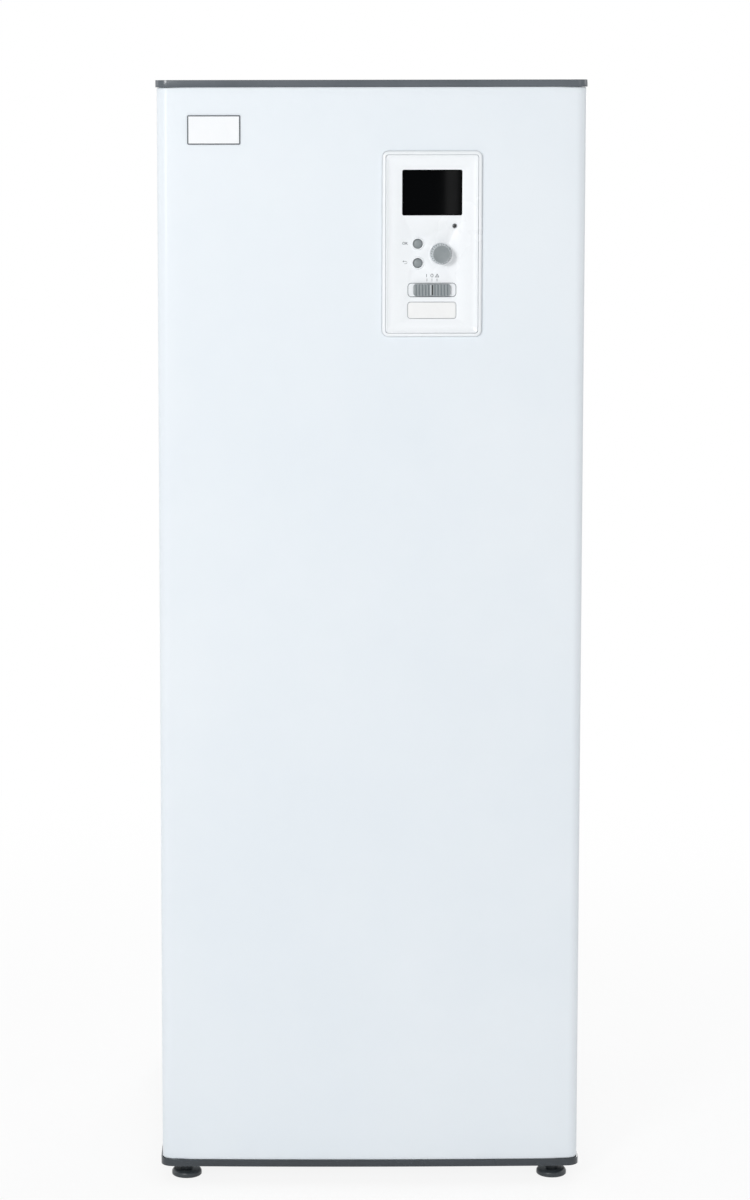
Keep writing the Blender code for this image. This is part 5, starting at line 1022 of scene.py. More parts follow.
@dataclass
class CabinetShell:
    """The sheet panels and the two slate trims."""

    cabinet: CabinetSizes
    bend: float = 0.0022
    lip: float = 0.012
    jamb_flange: float = 0.022
    rear_flange: float = 0.015
    crown_cuts: int = 31
    base_shelf: float = 0.025
    top_shelf: float = 0.018
    trim_wall: float = 0.0032
    trim_floor: float = 0.0025
    trim_edge: float = 0.0006
    pan_gap: float = 0.0005
    cutout_gap: float = 0.0004
    corner_steps: int = 10
    bend_steps: int = 4
    display: tuple[float, float, float, float, float] = (0.084, 1.348, 0.139, 0.258, 0.009)

    def crown(self, bm: Solid) -> None:
        """Bow a shape's flat front forward.

        Args:
            bm: The shape, which is changed.
        """
        c = self.cabinet
        half = c.half - c.corner
        edges = [e for e in bm.edges if max(v.co.y for v in e.verts) < c.front + c.crown + self.lip
                 and abs(abs(e.verts[0].co.x - e.verts[1].co.x) - 2 * half) < 2 * c.corner]
        bmesh.ops.subdivide_edges(bm, edges=edges, cuts=self.crown_cuts, use_grid_fill=False)
        for vert in bm.verts:
            if abs(vert.co.x) < half and vert.co.y < c.front + c.crown + self.lip:
                vert.co.y -= c.crown * (1 - (vert.co.x / half) ** 2)

    def folded(self, corners: Sequence[Pair], radii: Sequence[float], bowed: bool = False) -> Solid:
        """Fold an upright sheet along its plan.

        Args:
            corners: X and Y of the plan's corners, from one end to the other.
            radii: Outer radius at each inner corner.
            bowed: Whether the front bows forward.

        Returns:
            The outer skin, with a lip along its upper and lower ends.
        """
        c = self.cabinet
        bm = bmesh.new()
        verts = [bm.verts.new((x, y, c.panel_low)) for x, y in corners]
        edges = [bm.edges.new(pair) for pair in zip(verts, verts[1:])]
        extended(bm, edges, Vector((0, 0, c.panel_high - c.panel_low)))
        for (x, y), radius in zip(corners[1:-1], radii):
            upright = [e for e in bm.edges if all(math.dist(v.co[:2], (x, y)) < MERGE for v in e.verts)]
            rounded(bm, upright, radius, self.corner_steps if radius > 2 * self.bend else self.bend_steps)
        turned_out(bm)
        widest = max(bm.faces, key=lambda f: f.calc_area())
        outward = Vector((0, -1, 0)) if bowed else Vector((widest.calc_center_median().x, 0, 0))
        if widest.normal.dot(outward) < 0:
            bmesh.ops.reverse_faces(bm, faces=bm.faces)
        if bowed:
            self.crown(bm)
        bm.normal_update()
        normals = {v: Vector((v.normal.x, v.normal.y, 0)).normalized() for v in bm.verts}
        for z in (c.panel_low, c.panel_high):
            rim = [e for e in bm.edges if e.is_boundary and all(abs(v.co.z - z) < MERGE for v in e.verts)]
            sources = {v.co.copy().freeze(): normals[v] for e in rim for v in e.verts}
            made = bmesh.ops.extrude_edge_only(bm, edges=rim)
            for vert in picked(made, Vert):
                vert.co -= sources[vert.co.copy().freeze()] * self.lip
            folds = [e for e in rim if e.is_valid]
            rounded(bm, folds, self.bend, self.bend_steps)
        return bm

    def walled(self, bm: Solid) -> Solid:
        """Give a skin the sheet's thickness on its inner side."""
        bmesh.ops.solidify(bm, geom=bm.faces[:] + bm.edges[:] + bm.verts[:], thickness=self.cabinet.sheet)
        return turned_out(bm)

    def front_panel(self) -> None:
        """Add the bowed front panel with its display opening."""
        c = self.cabinet
        line = c.front + c.crown
        skin = self.folded([(-c.half, c.seam), (-c.half, line), (c.half, line), (c.half, c.seam)],
                           (c.corner, c.corner), bowed=True)
        x, z, width, height, radius = self.display
        gap = self.cutout_gap
        hole = Stack(width + 2 * gap, height + 2 * gap, radius + gap, (x, z), c.front + self.lip, 10)
        bm = carved(self.walled(skin), hole.rise(2 * self.lip).done())
        add_piece("front_panel_sheet", bm, PAINTED_STEEL, ["front_panel"], Body.COVER)

    def side_panels(self) -> None:
        """Add the left and right side panels."""
        c = self.cabinet
        rear = c.back - c.sheet - c.fit
        for side, name in ((-1, "side_panel_left"), (1, "side_panel_right")):
            plan = [(side * (c.half - self.jamb_flange), c.jamb), (side * c.half, c.jamb),
                    (side * c.half, rear), (side * (c.half - self.rear_flange), rear)]
            bm = self.walled(self.folded(plan, (self.bend, self.bend)))
            add_piece(f"{name}_sheet", bm, PAINTED_STEEL, [name])

    def plan(self, growth: float, z: float) -> Solid:
        """Lay the cabinet's whole outline flat.

        Args:
            growth: How far it stands out from the panels.
            z: Its height.

        Returns:
            A mesh with the one face, which points up.
        """
        c = self.cabinet
        low, high = c.front + c.crown - growth, c.back + growth
        bm = bmesh.new()
        place = Matrix.Translation((0, (low + high) / 2, z))
        size = Matrix.Diagonal((2 * (c.half + growth), high - low, 1.0, 1.0))
        bmesh.ops.create_grid(bm, x_segments=1, y_segments=1, size=0.5, matrix=place @ size)
        for front, radius in ((True, c.corner + growth), (False, c.rear_corner + growth)):
            corners = [v for v in bm.verts if abs(v.co.y - (low if front else high)) < MERGE
                       and abs(abs(v.co.x) - c.half - growth) < MERGE]
            steps = self.corner_steps if front else self.bend_steps
            rounded(bm, corners, radius, steps, Rounding.CORNERS)
        self.crown(bm)
        return bm

    def trim(self, name: str, finish: Finish, low: float, shelf: float, wide: float) -> None:
        """Add one slate trim.

        Args:
            name: The node that it stands for.
            finish: Its finish.
            low: Its lower end.
            shelf: Thickness of its shelf.
            wide: How far the shelf reaches in from the panels.
        """
        c = self.cabinet
        bm = slab(self.plan(c.overhang, low), (0, 0, c.trim))
        upper = max(bm.faces, key=lambda f: f.calc_center_median().z)
        lower = min(bm.faces, key=lambda f: f.calc_center_median().z)
        inset(bm, upper, self.trim_wall)
        floor = drawn(bm, upper, (0, 0, shelf - c.trim))
        inset(bm, floor, wide + c.overhang - self.trim_wall)
        inset(bm, lower, wide + c.overhang)
        rims = floor.edges[:] + lower.edges[:]
        bmesh.ops.delete(bm, geom=[floor, lower], context="FACES_ONLY")
        bmesh.ops.bridge_loops(bm, edges=rims)
        soften(bm, self.trim_edge, 3, 50.0)
        side, rear = c.half + c.overhang, c.back + c.overhang
        for vert in bm.verts:
            vert.co.x, vert.co.y = max(-side, min(side, vert.co.x)), min(rear, vert.co.y)
        turned_out(bm)
        add_piece(f"{name}_moulding", bm, finish, [name])

    def top_panel(self) -> None:
        """Add the top panel inside its trim."""
        c = self.cabinet
        growth = c.overhang - self.trim_wall - self.pan_gap
        seat = c.top - c.trim + self.trim_floor + c.fit
        bm = slab(self.plan(growth, seat), (0, 0, c.top - c.sheet - seat))
        soften(bm, c.sheet, 4, 50.0, lambda e: min(v.co.z for v in e.verts) > seat + c.sheet)
        add_piece("top_panel_sheet", bm, PAINTED_STEEL, ["top_panel"])

    def build(self) -> None:
        """Add every piece of the shell."""
        c = self.cabinet
        self.front_panel()
        self.side_panels()
        # The base trim's darker slate is partly painted shade.
        self.trim("base_trim", SLATE_TRIM_SHADED, c.floor_gap, self.trim_floor, self.base_shelf)
        self.trim("top_trim", SLATE_TRIM, c.top - c.trim, self.trim_floor, self.top_shelf)
        self.top_panel()
        refine("back_panel", PAINTED_STEEL, 0.0003)
        refine("base_frame", ZINC_SHEET, 0.0003)


@dataclass
class Feet:
    """The four screw feet, each a rubber pad on a threaded stud."""

    pad_profile: Profile = ((0, 0), (0.0203, 0), (0.0215, 0.0012), (0.0215, 0.0052), (0.0210, 0.0064),
                            (0.0195, 0.0084), (0.0183, 0.009), (0, 0.009))
    pad_height: float = 0.009
    collar: float = 0.0095
    collar_top: float = 0.015
    stud: float = 0.0049
    stud_root: float = 0.0042
    stud_top: float = 0.0578
    thread: float = 0.00125

    def pad(self, body: Body, axis: Pair) -> None:
        """Add one rubber pad with its hexagonal collar.

        Args:
            body: The foot's body, named like its node.
            axis: X and Y of the foot's axis.
        """
        bm = turned(self.pad_profile, (*axis, 0), Axis.UP, 64)
        middle = Matrix.Translation((*axis, (self.collar_top + self.pad_height) / 2))
        bmesh.ops.create_cone(bm, cap_ends=True, segments=6, radius1=self.collar, radius2=self.collar,
                              depth=self.collar_top - self.pad_height, matrix=middle)
        add_piece(f"{body.value}_pad", bm, FOOT_RUBBER, [body.value], body)

    def screw(self, body: Body, axis: Pair) -> None:
        """Add one stud with its thread.

        Args:
            body: The foot's body.
            axis: X and Y of the foot's axis.
        """
        turns = int((self.stud_top - self.collar_top) / self.thread)
        end = self.collar_top + self.thread * turns
        profile = [(0, self.collar_top)]
        for i in range(turns):
            low = self.collar_top + self.thread * i
            profile += [(self.stud_root, low), (self.stud, low + self.thread / 2)]
        profile += [(self.stud_root, end), (0, end)]
        add_piece(f"{body.value}_stud", turned(profile, (*axis, 0), Axis.UP, 24), ZINC_SCREW,
                  body=body)

    def build(self) -> None:
        """Add all four feet."""
        for body in (Body.FRONT_LEFT, Body.FRONT_RIGHT, Body.REAR_LEFT, Body.REAR_RIGHT):
            low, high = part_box(body.value)
            axis = ((low.x + high.x) / 2, (low.y + high.y) / 2)
            self.pad(body, axis)
            self.screw(body, axis)


@dataclass
class Badge:
    """The bare badge plate with its dark border."""

    cabinet: CabinetSizes
    width: float = 0.0735
    height: float = 0.0406
    radius: float = 0.002
    centre: Pair = (-0.2188, 1.5063)
    thickness: float = 0.0012
    edge: float = 0.0003
    border: float = 0.0013
    recess: Pair = (0.0001, -0.00015)

    def build(self) -> None:
        """Add the plate, which follows the panel's bow."""
        c = self.cabinet
        y = c.front - c.fit
        stack = Stack(self.width, self.height, self.radius, self.centre, y, 6)
        stack.rise(self.thickness - self.edge).step(self.edge, self.edge).step(self.border)
        inner = stack.face
        bm = stack.step(*self.recess).done()
        for face in bm.faces:
            face.material_index = int(face is not inner)
        for vert in bm.verts:
            vert.co.y += c.face(vert.co.x) - c.front
        add_piece("badge_plate_bare", bm, (BADGE_FACE, BADGE_EDGE), ["badge_plate"],
                  Body.COVER)


@dataclass
class DisplayPanel:
    """The display's collar, fascia, glass and controls."""

    cabinet: CabinetSizes
    centre: Pair = (0.084, 1.348)
    width: float = 0.139
    height: float = 0.258
    radius: float = 0.009
    rim: float = 0.005
    reach: float = 0.005
    flange: float = 0.006
    flange_thickness: float = 0.002
    seat: float = 0.0026
    edge: float = 0.0036
    edge_drop: float = 0.0048
    edge_steps: int = 6
    collar_lip: Profile = ((0.0004, -0.0002), (0.0005, -0.0008))
    gap: float = 0.0003
    rim_reach: float = 0.004
    rim_edge: Profile = ((0.0004, 0.0007), (0.0005, 0.0003), (0.0006, 0.0))
    field_reach: float = 0.0015
    margin: float = 0.009
    dish: Profile = ((0.0027, 0.0009), (0.0042, 0.0016), (0.0062, 0.0021))
    back: float = 0.0015
    through: float = 0.02
    hole_edge: float = 0.0003
    glass: Opening = (0.0834, 0.0633, 0.0024, 0.0714)
    glass_thickness: float = 0.0024
    glass_edge: float = 0.0002
    glass_border: float = 0.0034
    lamp: Pair = (0.0313, 0.0252)
    lamp_radius: float = 0.0024
    lamp_gap: float = 0.0003
    lamp_dome: Profile = ((0, -0.0005), (0.5, -0.0004), (0.85, -0.0001), (1.0, 0.0004))
    lamp_ring: Pair = (0.00035, 0.0012)
    lamp_ring_rise: float = 0.0005
    lamp_ring_edge: float = 0.00015
    button_radius: float = 0.0064
    button_gap: float = 0.0004
    button_reach: float = 0.0045
    button_dome: Profile = ((0, -0.00005), (0.3, 0.00005), (0.55, 0.0003), (0.75, 0.0007), (0.9, 0.0013),
                            (1.0, 0.0024))
    button_flange: tuple[float, float, float] = (0.0016, 0.0018, 0.0030)
    button_stem: Pair = (0.002, 0.0085)
    buttons: tuple[tuple[Body, Pair], ...] = ((Body.OK_BUTTON, (-0.0199, 0.0006)),
                                              (Body.BACK_BUTTON, (-0.0199, -0.0262)))
    ring_lift: float = 0.00002
    ring_crown: Profile = ((0.0, 0.0), (0.0005, 0.0001), (0.0010, 0.0))
    ring_width: float = 0.0022
    button_ring: Pair = (0.0071, 0.0020)
    knob_ring: Pair = (0.01525, 0.0009)
    knob: Pair = (0.0123, -0.0131)
    knob_radius: float = 0.01425
    knob_reach: float = 0.024
    knob_lift: float = 0.0005
    knob_hole: float = 0.0045
    knob_stem: Pair = (0.003, 0.009)
    knob_sides: Profile = ((1.0, 0.0), (1.0, 0.05), (0.99, 0.12), (0.97, 0.35), (0.945, 0.60), (0.915, 0.82),
                           (0.895, 0.91), (0.865, 0.965))
    knob_rim: Profile = ((0.0118, 0.0), (0.0110, 0.00005), (0.0104, 0.0002), (0, 0.0002))
    face_depth: float = 0.0015
    flutes: int = 24
    flute: float = 0.0013
    flute_steps: int = 10
    flute_end: float = 0.0012
    flute_shade: float = 0.40
    slot: Opening = (0.066, 0.018, 0.0045, -0.0637)
    slot_lip: float = 0.0009
    slider: tuple[float, float, float] = (0.0515, 0.0165, 0.0035)
    slider_foot: float = 0.0003
    slider_reach: float = 0.0055
    slider_edge: float = 0.0012
    slider_stem: Pair = (0.0055, 0.0018)
    slider_stem_ends: Pair = (-0.0034, 0.0077)
    groove_pitch: float = 0.00435
    groove_radius: float = 0.0011
    groove_lift: float = 0.0002
    groove_shade: tuple[float, float, float, float] = (0.0016, 0.3, 0.0003, 0.0040)
    grooves: int = 5
    # Centre ridge strips: white painted highlight on its left, black painted shade on its right.
    slider_highlight_line: tuple[float, float, float] = (-0.0020, -0.0013, 0.00035)
    slider_shade_strip: tuple[float, float, float] = (-0.0005, 0.0014, 0.00012)
    cover: Opening = (0.0673, 0.0229, 0.004, -0.0920)
    cover_lip: float = 0.0004
    cover_edge: float = 0.0002
    cover_tab: Pair = (0.0070, 0.0035)
    cover_tab_ends: Pair = (-0.00028, 0.0012)
    ink: float = 0.00006
    ink_gap: float = 0.000001
    letter_weight: float = 0.00012
    hook: tuple[float, float, float] = (0.00135, 0.00185, 0.0016)
    head_radius: float = 0.0014
    word_place: Pair = (-0.0376, 0.001)
    word_size: float = 0.0052
    arrow_place: Pair = (-0.0376, -0.0255)
    marks_up: float = -0.0436
    ticks: tuple[float, ...] = (-0.0070, 0.0, 0.0070)

    def at(self, offset: Pair) -> Pair:
        """Return the X and Z of a point given from the display's middle."""
        return (self.centre[0] + offset[0], self.centre[1] + offset[1])

    @property
    def field(self) -> float:
        """Return the fascia's flat field along Y."""
        return self.cabinet.front - self.field_reach

    def post(self, half: Pair, ends: Pair, middle: Pair) -> Solid:
        """Return a square post that runs along Y.

        Args:
            half: Half its width and height.
            ends: Its two ends, behind the panel's front.
            middle: Its middle's x and z.

        Returns:
            The post.
        """
        front = self.cabinet.front
        return block((middle[0] - half[0], front + ends[0], middle[1] - half[1]),
                     (middle[0] + half[0], front + ends[1], middle[1] + half[1]))

    def build_collar(self) -> None:
        """Add the collar that the front panel carries."""
        wide = 2 * self.flange
        stack = Stack(self.width + wide, self.height + wide, self.radius + self.flange, self.centre,
                      self.cabinet.front + self.seat + self.flange_thickness, 12)
        stack.rise(self.flange_thickness).step(self.flange)
        stack.rise(self.seat + self.reach - self.edge_drop)
        stack.round_over(self.edge, self.edge_drop, self.edge_steps)
        width, depth = (sum(values) for values in zip(*self.collar_lip))
        stack.step(self.rim - self.edge - width).steps(self.collar_lip)
        stack.frame(self.reach + self.seat + self.flange_thickness + depth)
        add_piece("display_collar_ring", stack.done(), DISPLAY_WHITE, ["display_collar"],
                  Body.COVER, 30.0)

    def openings(self) -> Solid:
        """Make the tool that cuts the fascia's window, pockets and round holes.

        Returns:
            The tool.
        """
        front, deep = self.cabinet.front, self.through
        wide, tall, turn, up = self.glass
        tools = [Stack(wide, tall, turn, self.at((0, up)), front + deep, 4).rise(2 * deep).done()]
        for wide, tall, turn, up in (self.slot, self.cover):
            tools.append(Stack(wide, tall, turn, self.at((0, up)), front, 8).rise(deep).done())
        holes = [(self.lamp, self.lamp_radius + self.lamp_gap, 32)]
        holes += [(offset, self.button_radius + self.button_gap, 48) for _, offset in self.buttons]
        holes.append((self.knob, self.knob_hole, 32))
        for offset, radius, sides in holes:
            x, z = self.at(offset)
            tools.append(rod((x, front - deep, z), (x, front + deep, z), radius, sides))
        return joined(tools)

    def build_fascia(self) -> None:
        """Add the dished fascia with its openings and pockets."""
        front = self.cabinet.front
        both = 2 * (self.rim + self.gap)
        width, height, radius = self.width - both, self.height - both, self.radius - self.rim + self.gap
        stack = Stack(width, height, radius, self.centre, front + self.back, 10)
        stack.rise(self.back + self.rim_reach - sum(depth for _, depth in self.rim_edge)).steps(self.rim_edge)
        for room, drop in (*self.dish, (self.margin, self.rim_reach - self.field_reach)):
            stack.reach(width - 2 * room, height - 2 * room, radius, front - self.rim_reach + drop)
        bm = carved(stack.done(), self.openings())
        for opening, lip in ((self.slot, self.slot_lip), (self.cover, self.cover_lip)):
            self.edge_opening(bm, opening, lip)
        soften(bm, self.hole_edge, 2, 60.0, lambda e: all(v.co.y < front - 0.0010 for v in e.verts))
        add_piece("display_fascia_dished", bm, (DISPLAY_WHITE, OPENING_PAINTED_SHADE),
                  ["display_fascia"], smooth=25.0)

    def edge_opening(self, bm: Solid, opening: Opening, lip: float) -> None:
        """Chamfer a pocket's mouth in the fascia and grey the chamfer as painted shade of the gap round it.

        Args:
            bm: The fascia.
            opening: The pocket's width, height, corner radius and height from the middle.
            lip: Width of the chamfer.
        """
        wide, tall, _, up = opening
        x, z = self.at((0, up))

        def near(point: Vector, room: float) -> bool:
            """Return whether a point lies within a distance of the pocket."""
            return abs(point.x - x) < wide / 2 + room and abs(point.z - z) < tall / 2 + room

        soften(bm, lip, 2, 60.0, lambda e: all(near(v.co, 10 * MERGE) and abs(v.co.y - self.field) < MERGE
                                               for v in e.verts))
        # The chamfer faces take the grey of painted shade.
        for face in bm.faces:
            middle = face.calc_center_median()
            if near(middle, lip) and self.field + MERGE < middle.y < self.field + lip:
                face.material_index = 1

    def build_glass(self) -> None:
        """Add the display glass in its window."""
        wide, tall, turn, up = self.glass
        x, z = self.at((0, up))
        fit, border = 2 * self.cabinet.fit, self.glass_border
        back = self.cabinet.front + self.back - self.cabinet.fit
        stack = Stack(wide - fit, tall - fit, turn, (x, z), back, 6)
        stack.rise(self.glass_thickness - self.glass_edge).step(self.glass_edge, self.glass_edge)
        finish = ScreenFinish("display_glass", (2, 2, 3), (1, 1, 2), 0.03, 0.01, 30.0, 900.0, 0.0,
                              specular=0.02, centre=(x, 0.0, z),
                              half=(wide / 2 - border, 1.0, tall / 2 - border))
        add_piece("display_glass_pane", stack.done(), finish, ["display_glass"])

    def build_lamp(self) -> None:
        """Add the status lamp in a ring whose grey is painted shade of the recess round the lens."""
        x, z = self.at(self.lamp)
        back, field, radius = self.cabinet.front + self.back, self.field, self.lamp_radius
        dome = [(radius * wide, field + drop) for wide, drop in self.lamp_dome] + [(radius, back), (0, back)]
        add_piece("status_light_lens", turned(dome, (x, 0, z), segments=40), LAMP_LENS,
                  ["status_light"])
        inner, outer = (radius + wide for wide in self.lamp_ring)
        # The ring's grey is painted shade of the recess round the lens.
        pale = ring(inner, outer, field - self.lamp_ring_rise, field - self.ring_lift, (x, 0, z),
                    edge=self.lamp_ring_edge)
        add_piece("status_light_shade_ring", pale, HOUSING_GREY)

    def foot_ring(self, inner: float, rise: float, centre: Pair) -> Solid:
        """Return a ring that slopes outwards from round a button's or the knob's foot down to the fascia.

        Args:
            inner: Its inner radius.
            rise: Its height over the fascia's field.
            centre: Its middle's x and z.

        Returns:
            The ring.
        """
        low, high = self.field - self.ring_lift, self.field - rise
        outline = [(inner, low), *((inner + wide, high - lift) for wide, lift in self.ring_crown),
                   (inner + self.ring_width, low), (inner, low)]
        return turned(outline, (centre[0], 0, centre[1]), segments=64)

    def build_buttons(self) -> None:
        """Add the two domed buttons and the pale rings round them."""
        front, radius = self.cabinet.front, self.button_radius
        flange, near, far = self.button_flange
        stem, end = self.button_stem
        outline = [(radius * wide, front - self.button_reach + drop) for wide, drop in self.button_dome]
        outline += [(radius, front + near), (radius + flange, front + near), (radius + flange, front + far),
                    (stem, front + far), (stem, front + end), (0, front + end)]
        for body, offset in self.buttons:
            x, z = self.at(offset)
            add_piece(f"{body.value}_cap", turned(outline, (x, 0, z), segments=64), CONTROL_GREY,
                      [body.value], body)
            add_piece(f"{body.value}_ring", self.foot_ring(*self.button_ring, (x, z)), DISPLAY_WHITE)

    def build_knob(self) -> None:
        """Add the fluted knob, its flute hollows in the face's grey as painted shade, and the ring at its
        foot.
        """
        x, z = self.at(self.knob)
        foot, tip = self.field - self.knob_lift, self.cabinet.front - self.knob_reach
        stem, end = self.knob_stem
        profile = [(0, self.cabinet.front + end), (stem, self.cabinet.front + end), (stem, foot)]
        profile += [(self.knob_radius * wide, foot + (tip - foot) * along) for wide, along in self.knob_sides]
        profile += [(radius, tip + drop) for radius, drop in self.knob_rim]
        bm = turned(profile, (x, 0, z), segments=self.flutes * self.flute_steps)

        def fluted(point: Vector) -> bool:
            """Return whether a point lies along the flutes."""
            return tip + self.flute_end < point.y < foot - self.flute_end

        def ridge(point: Vector) -> float:
            """Return how near a point is to a ridge between two flutes, from 0 to 1."""
            return abs(math.sin(self.flutes * math.atan2(point.z - z, point.x - x) / 2))

        for point in (vert.co for vert in bm.verts if fluted(vert.co)):
            radius = math.hypot(point.x - x, point.z - z)
            scale = 1 - self.flute * (1 - ridge(point)) / radius
            point.x, point.z = x + (point.x - x) * scale, z + (point.z - z) * scale
        # Flute hollows take the face's grey as painted shade.
        for face in bm.faces:
            middle = face.calc_center_median()
            inside = math.hypot(middle.x - x, middle.z - z) < self.knob_rim[0][0]
            shaded = fluted(middle) and ridge(middle) < self.flute_shade
            face.material_index = int(shaded or (inside and middle.y < tip + self.face_depth))
        add_piece("control_knob_fluted", bm, (KNOB_SIDE, KNOB_FACE_AND_FLUTE_SHADE), ["control_knob"],
                  Body.KNOB, 32.0)
        add_piece("control_knob_ring", self.foot_ring(*self.knob_ring, (x, z)), DISPLAY_WHITE)

    def slider_mark(self, mark: tuple[float, float, float], edge: float = 0.0) -> Solid:
        """Return an upright strip on the slider; the centre ridge's painted highlight and painted shade are
        such strips.

        Args:
            mark: Its left side, its right side and its height over the slider's face.
            edge: Width of the rounding on its edges, or zero.

        Returns:
            The mark.
        """
        left, right, rise = mark
        x, z = self.at((0, self.slot[3]))
        half, face = self.slider[1] / 2 - self.slider_edge, self.cabinet.front - self.slider_reach
        return block((x + left, face - rise, z - half), (x + right, face - 0.00001, z + half), edge)

    def build_slider(self) -> None:
        """Add the mode slider, its groove hollows darkened as painted shade, and its centre line of painted
        highlight and shade.
        """
        wide, tall, turn = self.slider
        x, z = self.at((0, self.slot[3]))
        front = self.cabinet.front
        face = front - self.slider_reach
        stack = Stack(wide, tall, turn, (x, z), front - self.slider_foot, 10)
        stack.rise(self.slider_reach - self.slider_foot - self.slider_edge)
        stack.round_over(self.slider_edge, self.slider_edge, 4)
        tools = []
        for side in (-1, 1):
            for i in range(1, self.grooves + 1):
                at, y = x + side * self.groove_pitch * i, face - self.groove_lift
                tools.append(rod((at, y, z - tall), (at, y, z + tall), self.groove_radius))
        bm = carved(stack.done(), joined(tools))
        end, slope, near, far = self.groove_shade
        # Groove hollows take the darker grey as painted shade.
        for f in bm.faces:
            middle = f.calc_center_median()
            inside = abs(middle.x - x) < wide / 2 - end and abs(f.normal.z) < slope
            f.material_index = int(inside and face + near < middle.y < front - far)
        soften(bm, 0.0002, 2, 40.0, lambda e: all(v.co.y < front - 0.0035 for v in e.verts))
        bm = joined([bm, self.post(self.slider_stem, self.slider_stem_ends, (x, z))])
        add_piece("mode_slider_grip", bm, (SLIDER_GREY, GROOVE_PAINTED_SHADE), ["mode_slider"],
                  Body.SLIDER)
        # White strip and black strip: painted highlight and painted shade of the centre ridge.
        add_piece("mode_slider_highlight_line", self.slider_mark(self.slider_highlight_line, 0.0001), DISPLAY_WHITE,
                  body=Body.SLIDER)
        add_piece("mode_slider_shade_strip", self.slider_mark(self.slider_shade_strip), BLACK_PLASTIC,
                  body=Body.SLIDER)

    def build_cover(self) -> None:
        """Add the nearly flush socket cover."""
        wide, tall, turn, up = self.cover
        middle = self.at((0, up))
        fit = self.cabinet.fit
        stack = Stack(wide - 3 * fit, tall - 3 * fit, turn - fit, middle, self.cabinet.front - fit, 8)
        stack.rise(self.field_reach - fit - self.cover_edge / 2).step(self.cover_edge, self.cover_edge)
        bm = joined([stack.done(), self.post(self.cover_tab, self.cover_tab_ends, middle)])
        add_piece("usb_cover_cap", bm, COVER_WHITE, ["usb_cover"], Body.USB_COVER)

    def text(self, words: str, size: float, offset: Pair) -> Solid:
        """Set a short word in thin raised ink.

        Args:
            words: The word.
            size: Height of its letters' line.
            offset: Its middle, from the display's middle.

        Returns:
            The word's shape.
        """
        curve = bpy.data.curves.new("word", "FONT")
        curve.body, curve.size, curve.align_x, curve.align_y = words, size, "CENTER", "CENTER"
        curve.extrude, curve.resolution_u, curve.offset = self.ink / 2, 6, self.letter_weight
        item = placed("word", curve)
        mesh = bpy.data.meshes.new_from_object(item)
        bpy.data.objects.remove(item)
        bpy.data.curves.remove(curve)
        bm = bmesh.new()
        bm.from_mesh(mesh)
        bpy.data.meshes.remove(mesh)
        x, z = self.at(offset)
        matrix = Matrix.Translation((x, self.field - self.ink / 2, z)) @ FACING_FRONT
        bmesh.ops.transform(bm, matrix=matrix, verts=bm.verts)
        bmesh.ops.remove_doubles(bm, verts=bm.verts, dist=MERGE)
        return bm

    def bar(self, width: float, height: float, offset: Pair) -> Solid:
        """Lay a thin bar of ink.

        Args:
            width: Its width.
            height: Its height.
            offset: Its middle, from the display's middle.

        Returns:
            The bar.
        """
        x, z = self.at(offset)
        return block((x - width / 2, self.field - self.ink, z - height / 2),
                     (x + width / 2, self.field - self.ink_gap, z + height / 2))

    def inked(self, bm: Solid, offset: Pair) -> Solid:
        """Give a flat mark the ink's thickness and lay it on the fascia.

        Args:
            bm: The flat mark, which is changed.
            offset: Its middle, from the display's middle.

        Returns:
            The mark.
        """
        x, z = self.at(offset)
        slab(bm, (0, -self.ink, 0))
        bmesh.ops.translate(bm, vec=(x, self.field - self.ink_gap, z), verts=bm.verts)
        return bm

    def loop(self, sides: int, wide: float, tall: float, line: float, offset: Pair) -> Solid:
        """Lay a closed line of ink.

        Args:
            sides: Number of its sides.
            wide: Its width.
            tall: Its height.
            line: Width of the line.
            offset: Its middle, from the display's middle.

        Returns:
            The line's shape.
        """
        bm = bmesh.new()
        bmesh.ops.create_circle(bm, cap_ends=True, radius=0.5, segments=sides,
                                matrix=FACING_FRONT @ Matrix.Diagonal((wide, tall, 1.0, 1.0)))
        face = bm.faces[:][0]
        bmesh.ops.inset_region(bm, faces=[face], thickness=line, use_even_offset=True, use_boundary=True)
        bmesh.ops.delete(bm, geom=[face], context="FACES_ONLY")
        return self.inked(bm, offset)

    def arrow(self, offset: Pair) -> Solid:
        """Lay the back arrow, a hook with a head that points left.

        Args:
            offset: Its middle, from the display's middle.

        Returns:
            The arrow.
        """
        x, z = offset
        inner, outer, middle = self.hook
        hook = bmesh.new()
        verts = [hook.verts.new((0, 0, radius)) for radius in (inner, outer)]
        edge = hook.edges.new(verts)
        bmesh.ops.spin(hook, geom=verts + [edge], cent=(0, 0, 0), axis=(0, 1, 0), angle=math.pi, steps=16,
                       use_merge=False)
        head = bmesh.new()
        bmesh.ops.create_circle(head, cap_ends=True, radius=self.head_radius, segments=3,
                                matrix=FACING_FRONT @ Matrix.Rotation(math.pi / 2, 4, "Z"))
        return joined([self.inked(hook, (x + 0.0012, z)),
                       self.bar(0.0030, outer - inner, (x - 0.0003, z + middle)),
                       self.bar(0.0022, outer - inner, (x + 0.0001, z - middle)),
                       self.inked(head, (x - 0.0022, z + middle))])

    def build_marks(self) -> None:
        """Add the printed marks beside the buttons and over the slider."""
        up = self.marks_up
        marks = [self.text("OK", self.word_size, self.word_place), self.arrow(self.arrow_place),
                 self.bar(0.0008, 0.0044, (-0.0075, up)), self.loop(24, 0.0042, 0.0050, 0.0008, (0.0, up)),
                 self.loop(3, 0.0070, 0.0070, 0.0009, (0.0072, up - 0.0007))]
        marks += [self.bar(0.0006, 0.0042, (x, up - 0.0062)) for x in self.ticks]
        add_piece("display_marks", joined(marks), PRINT_GREY)

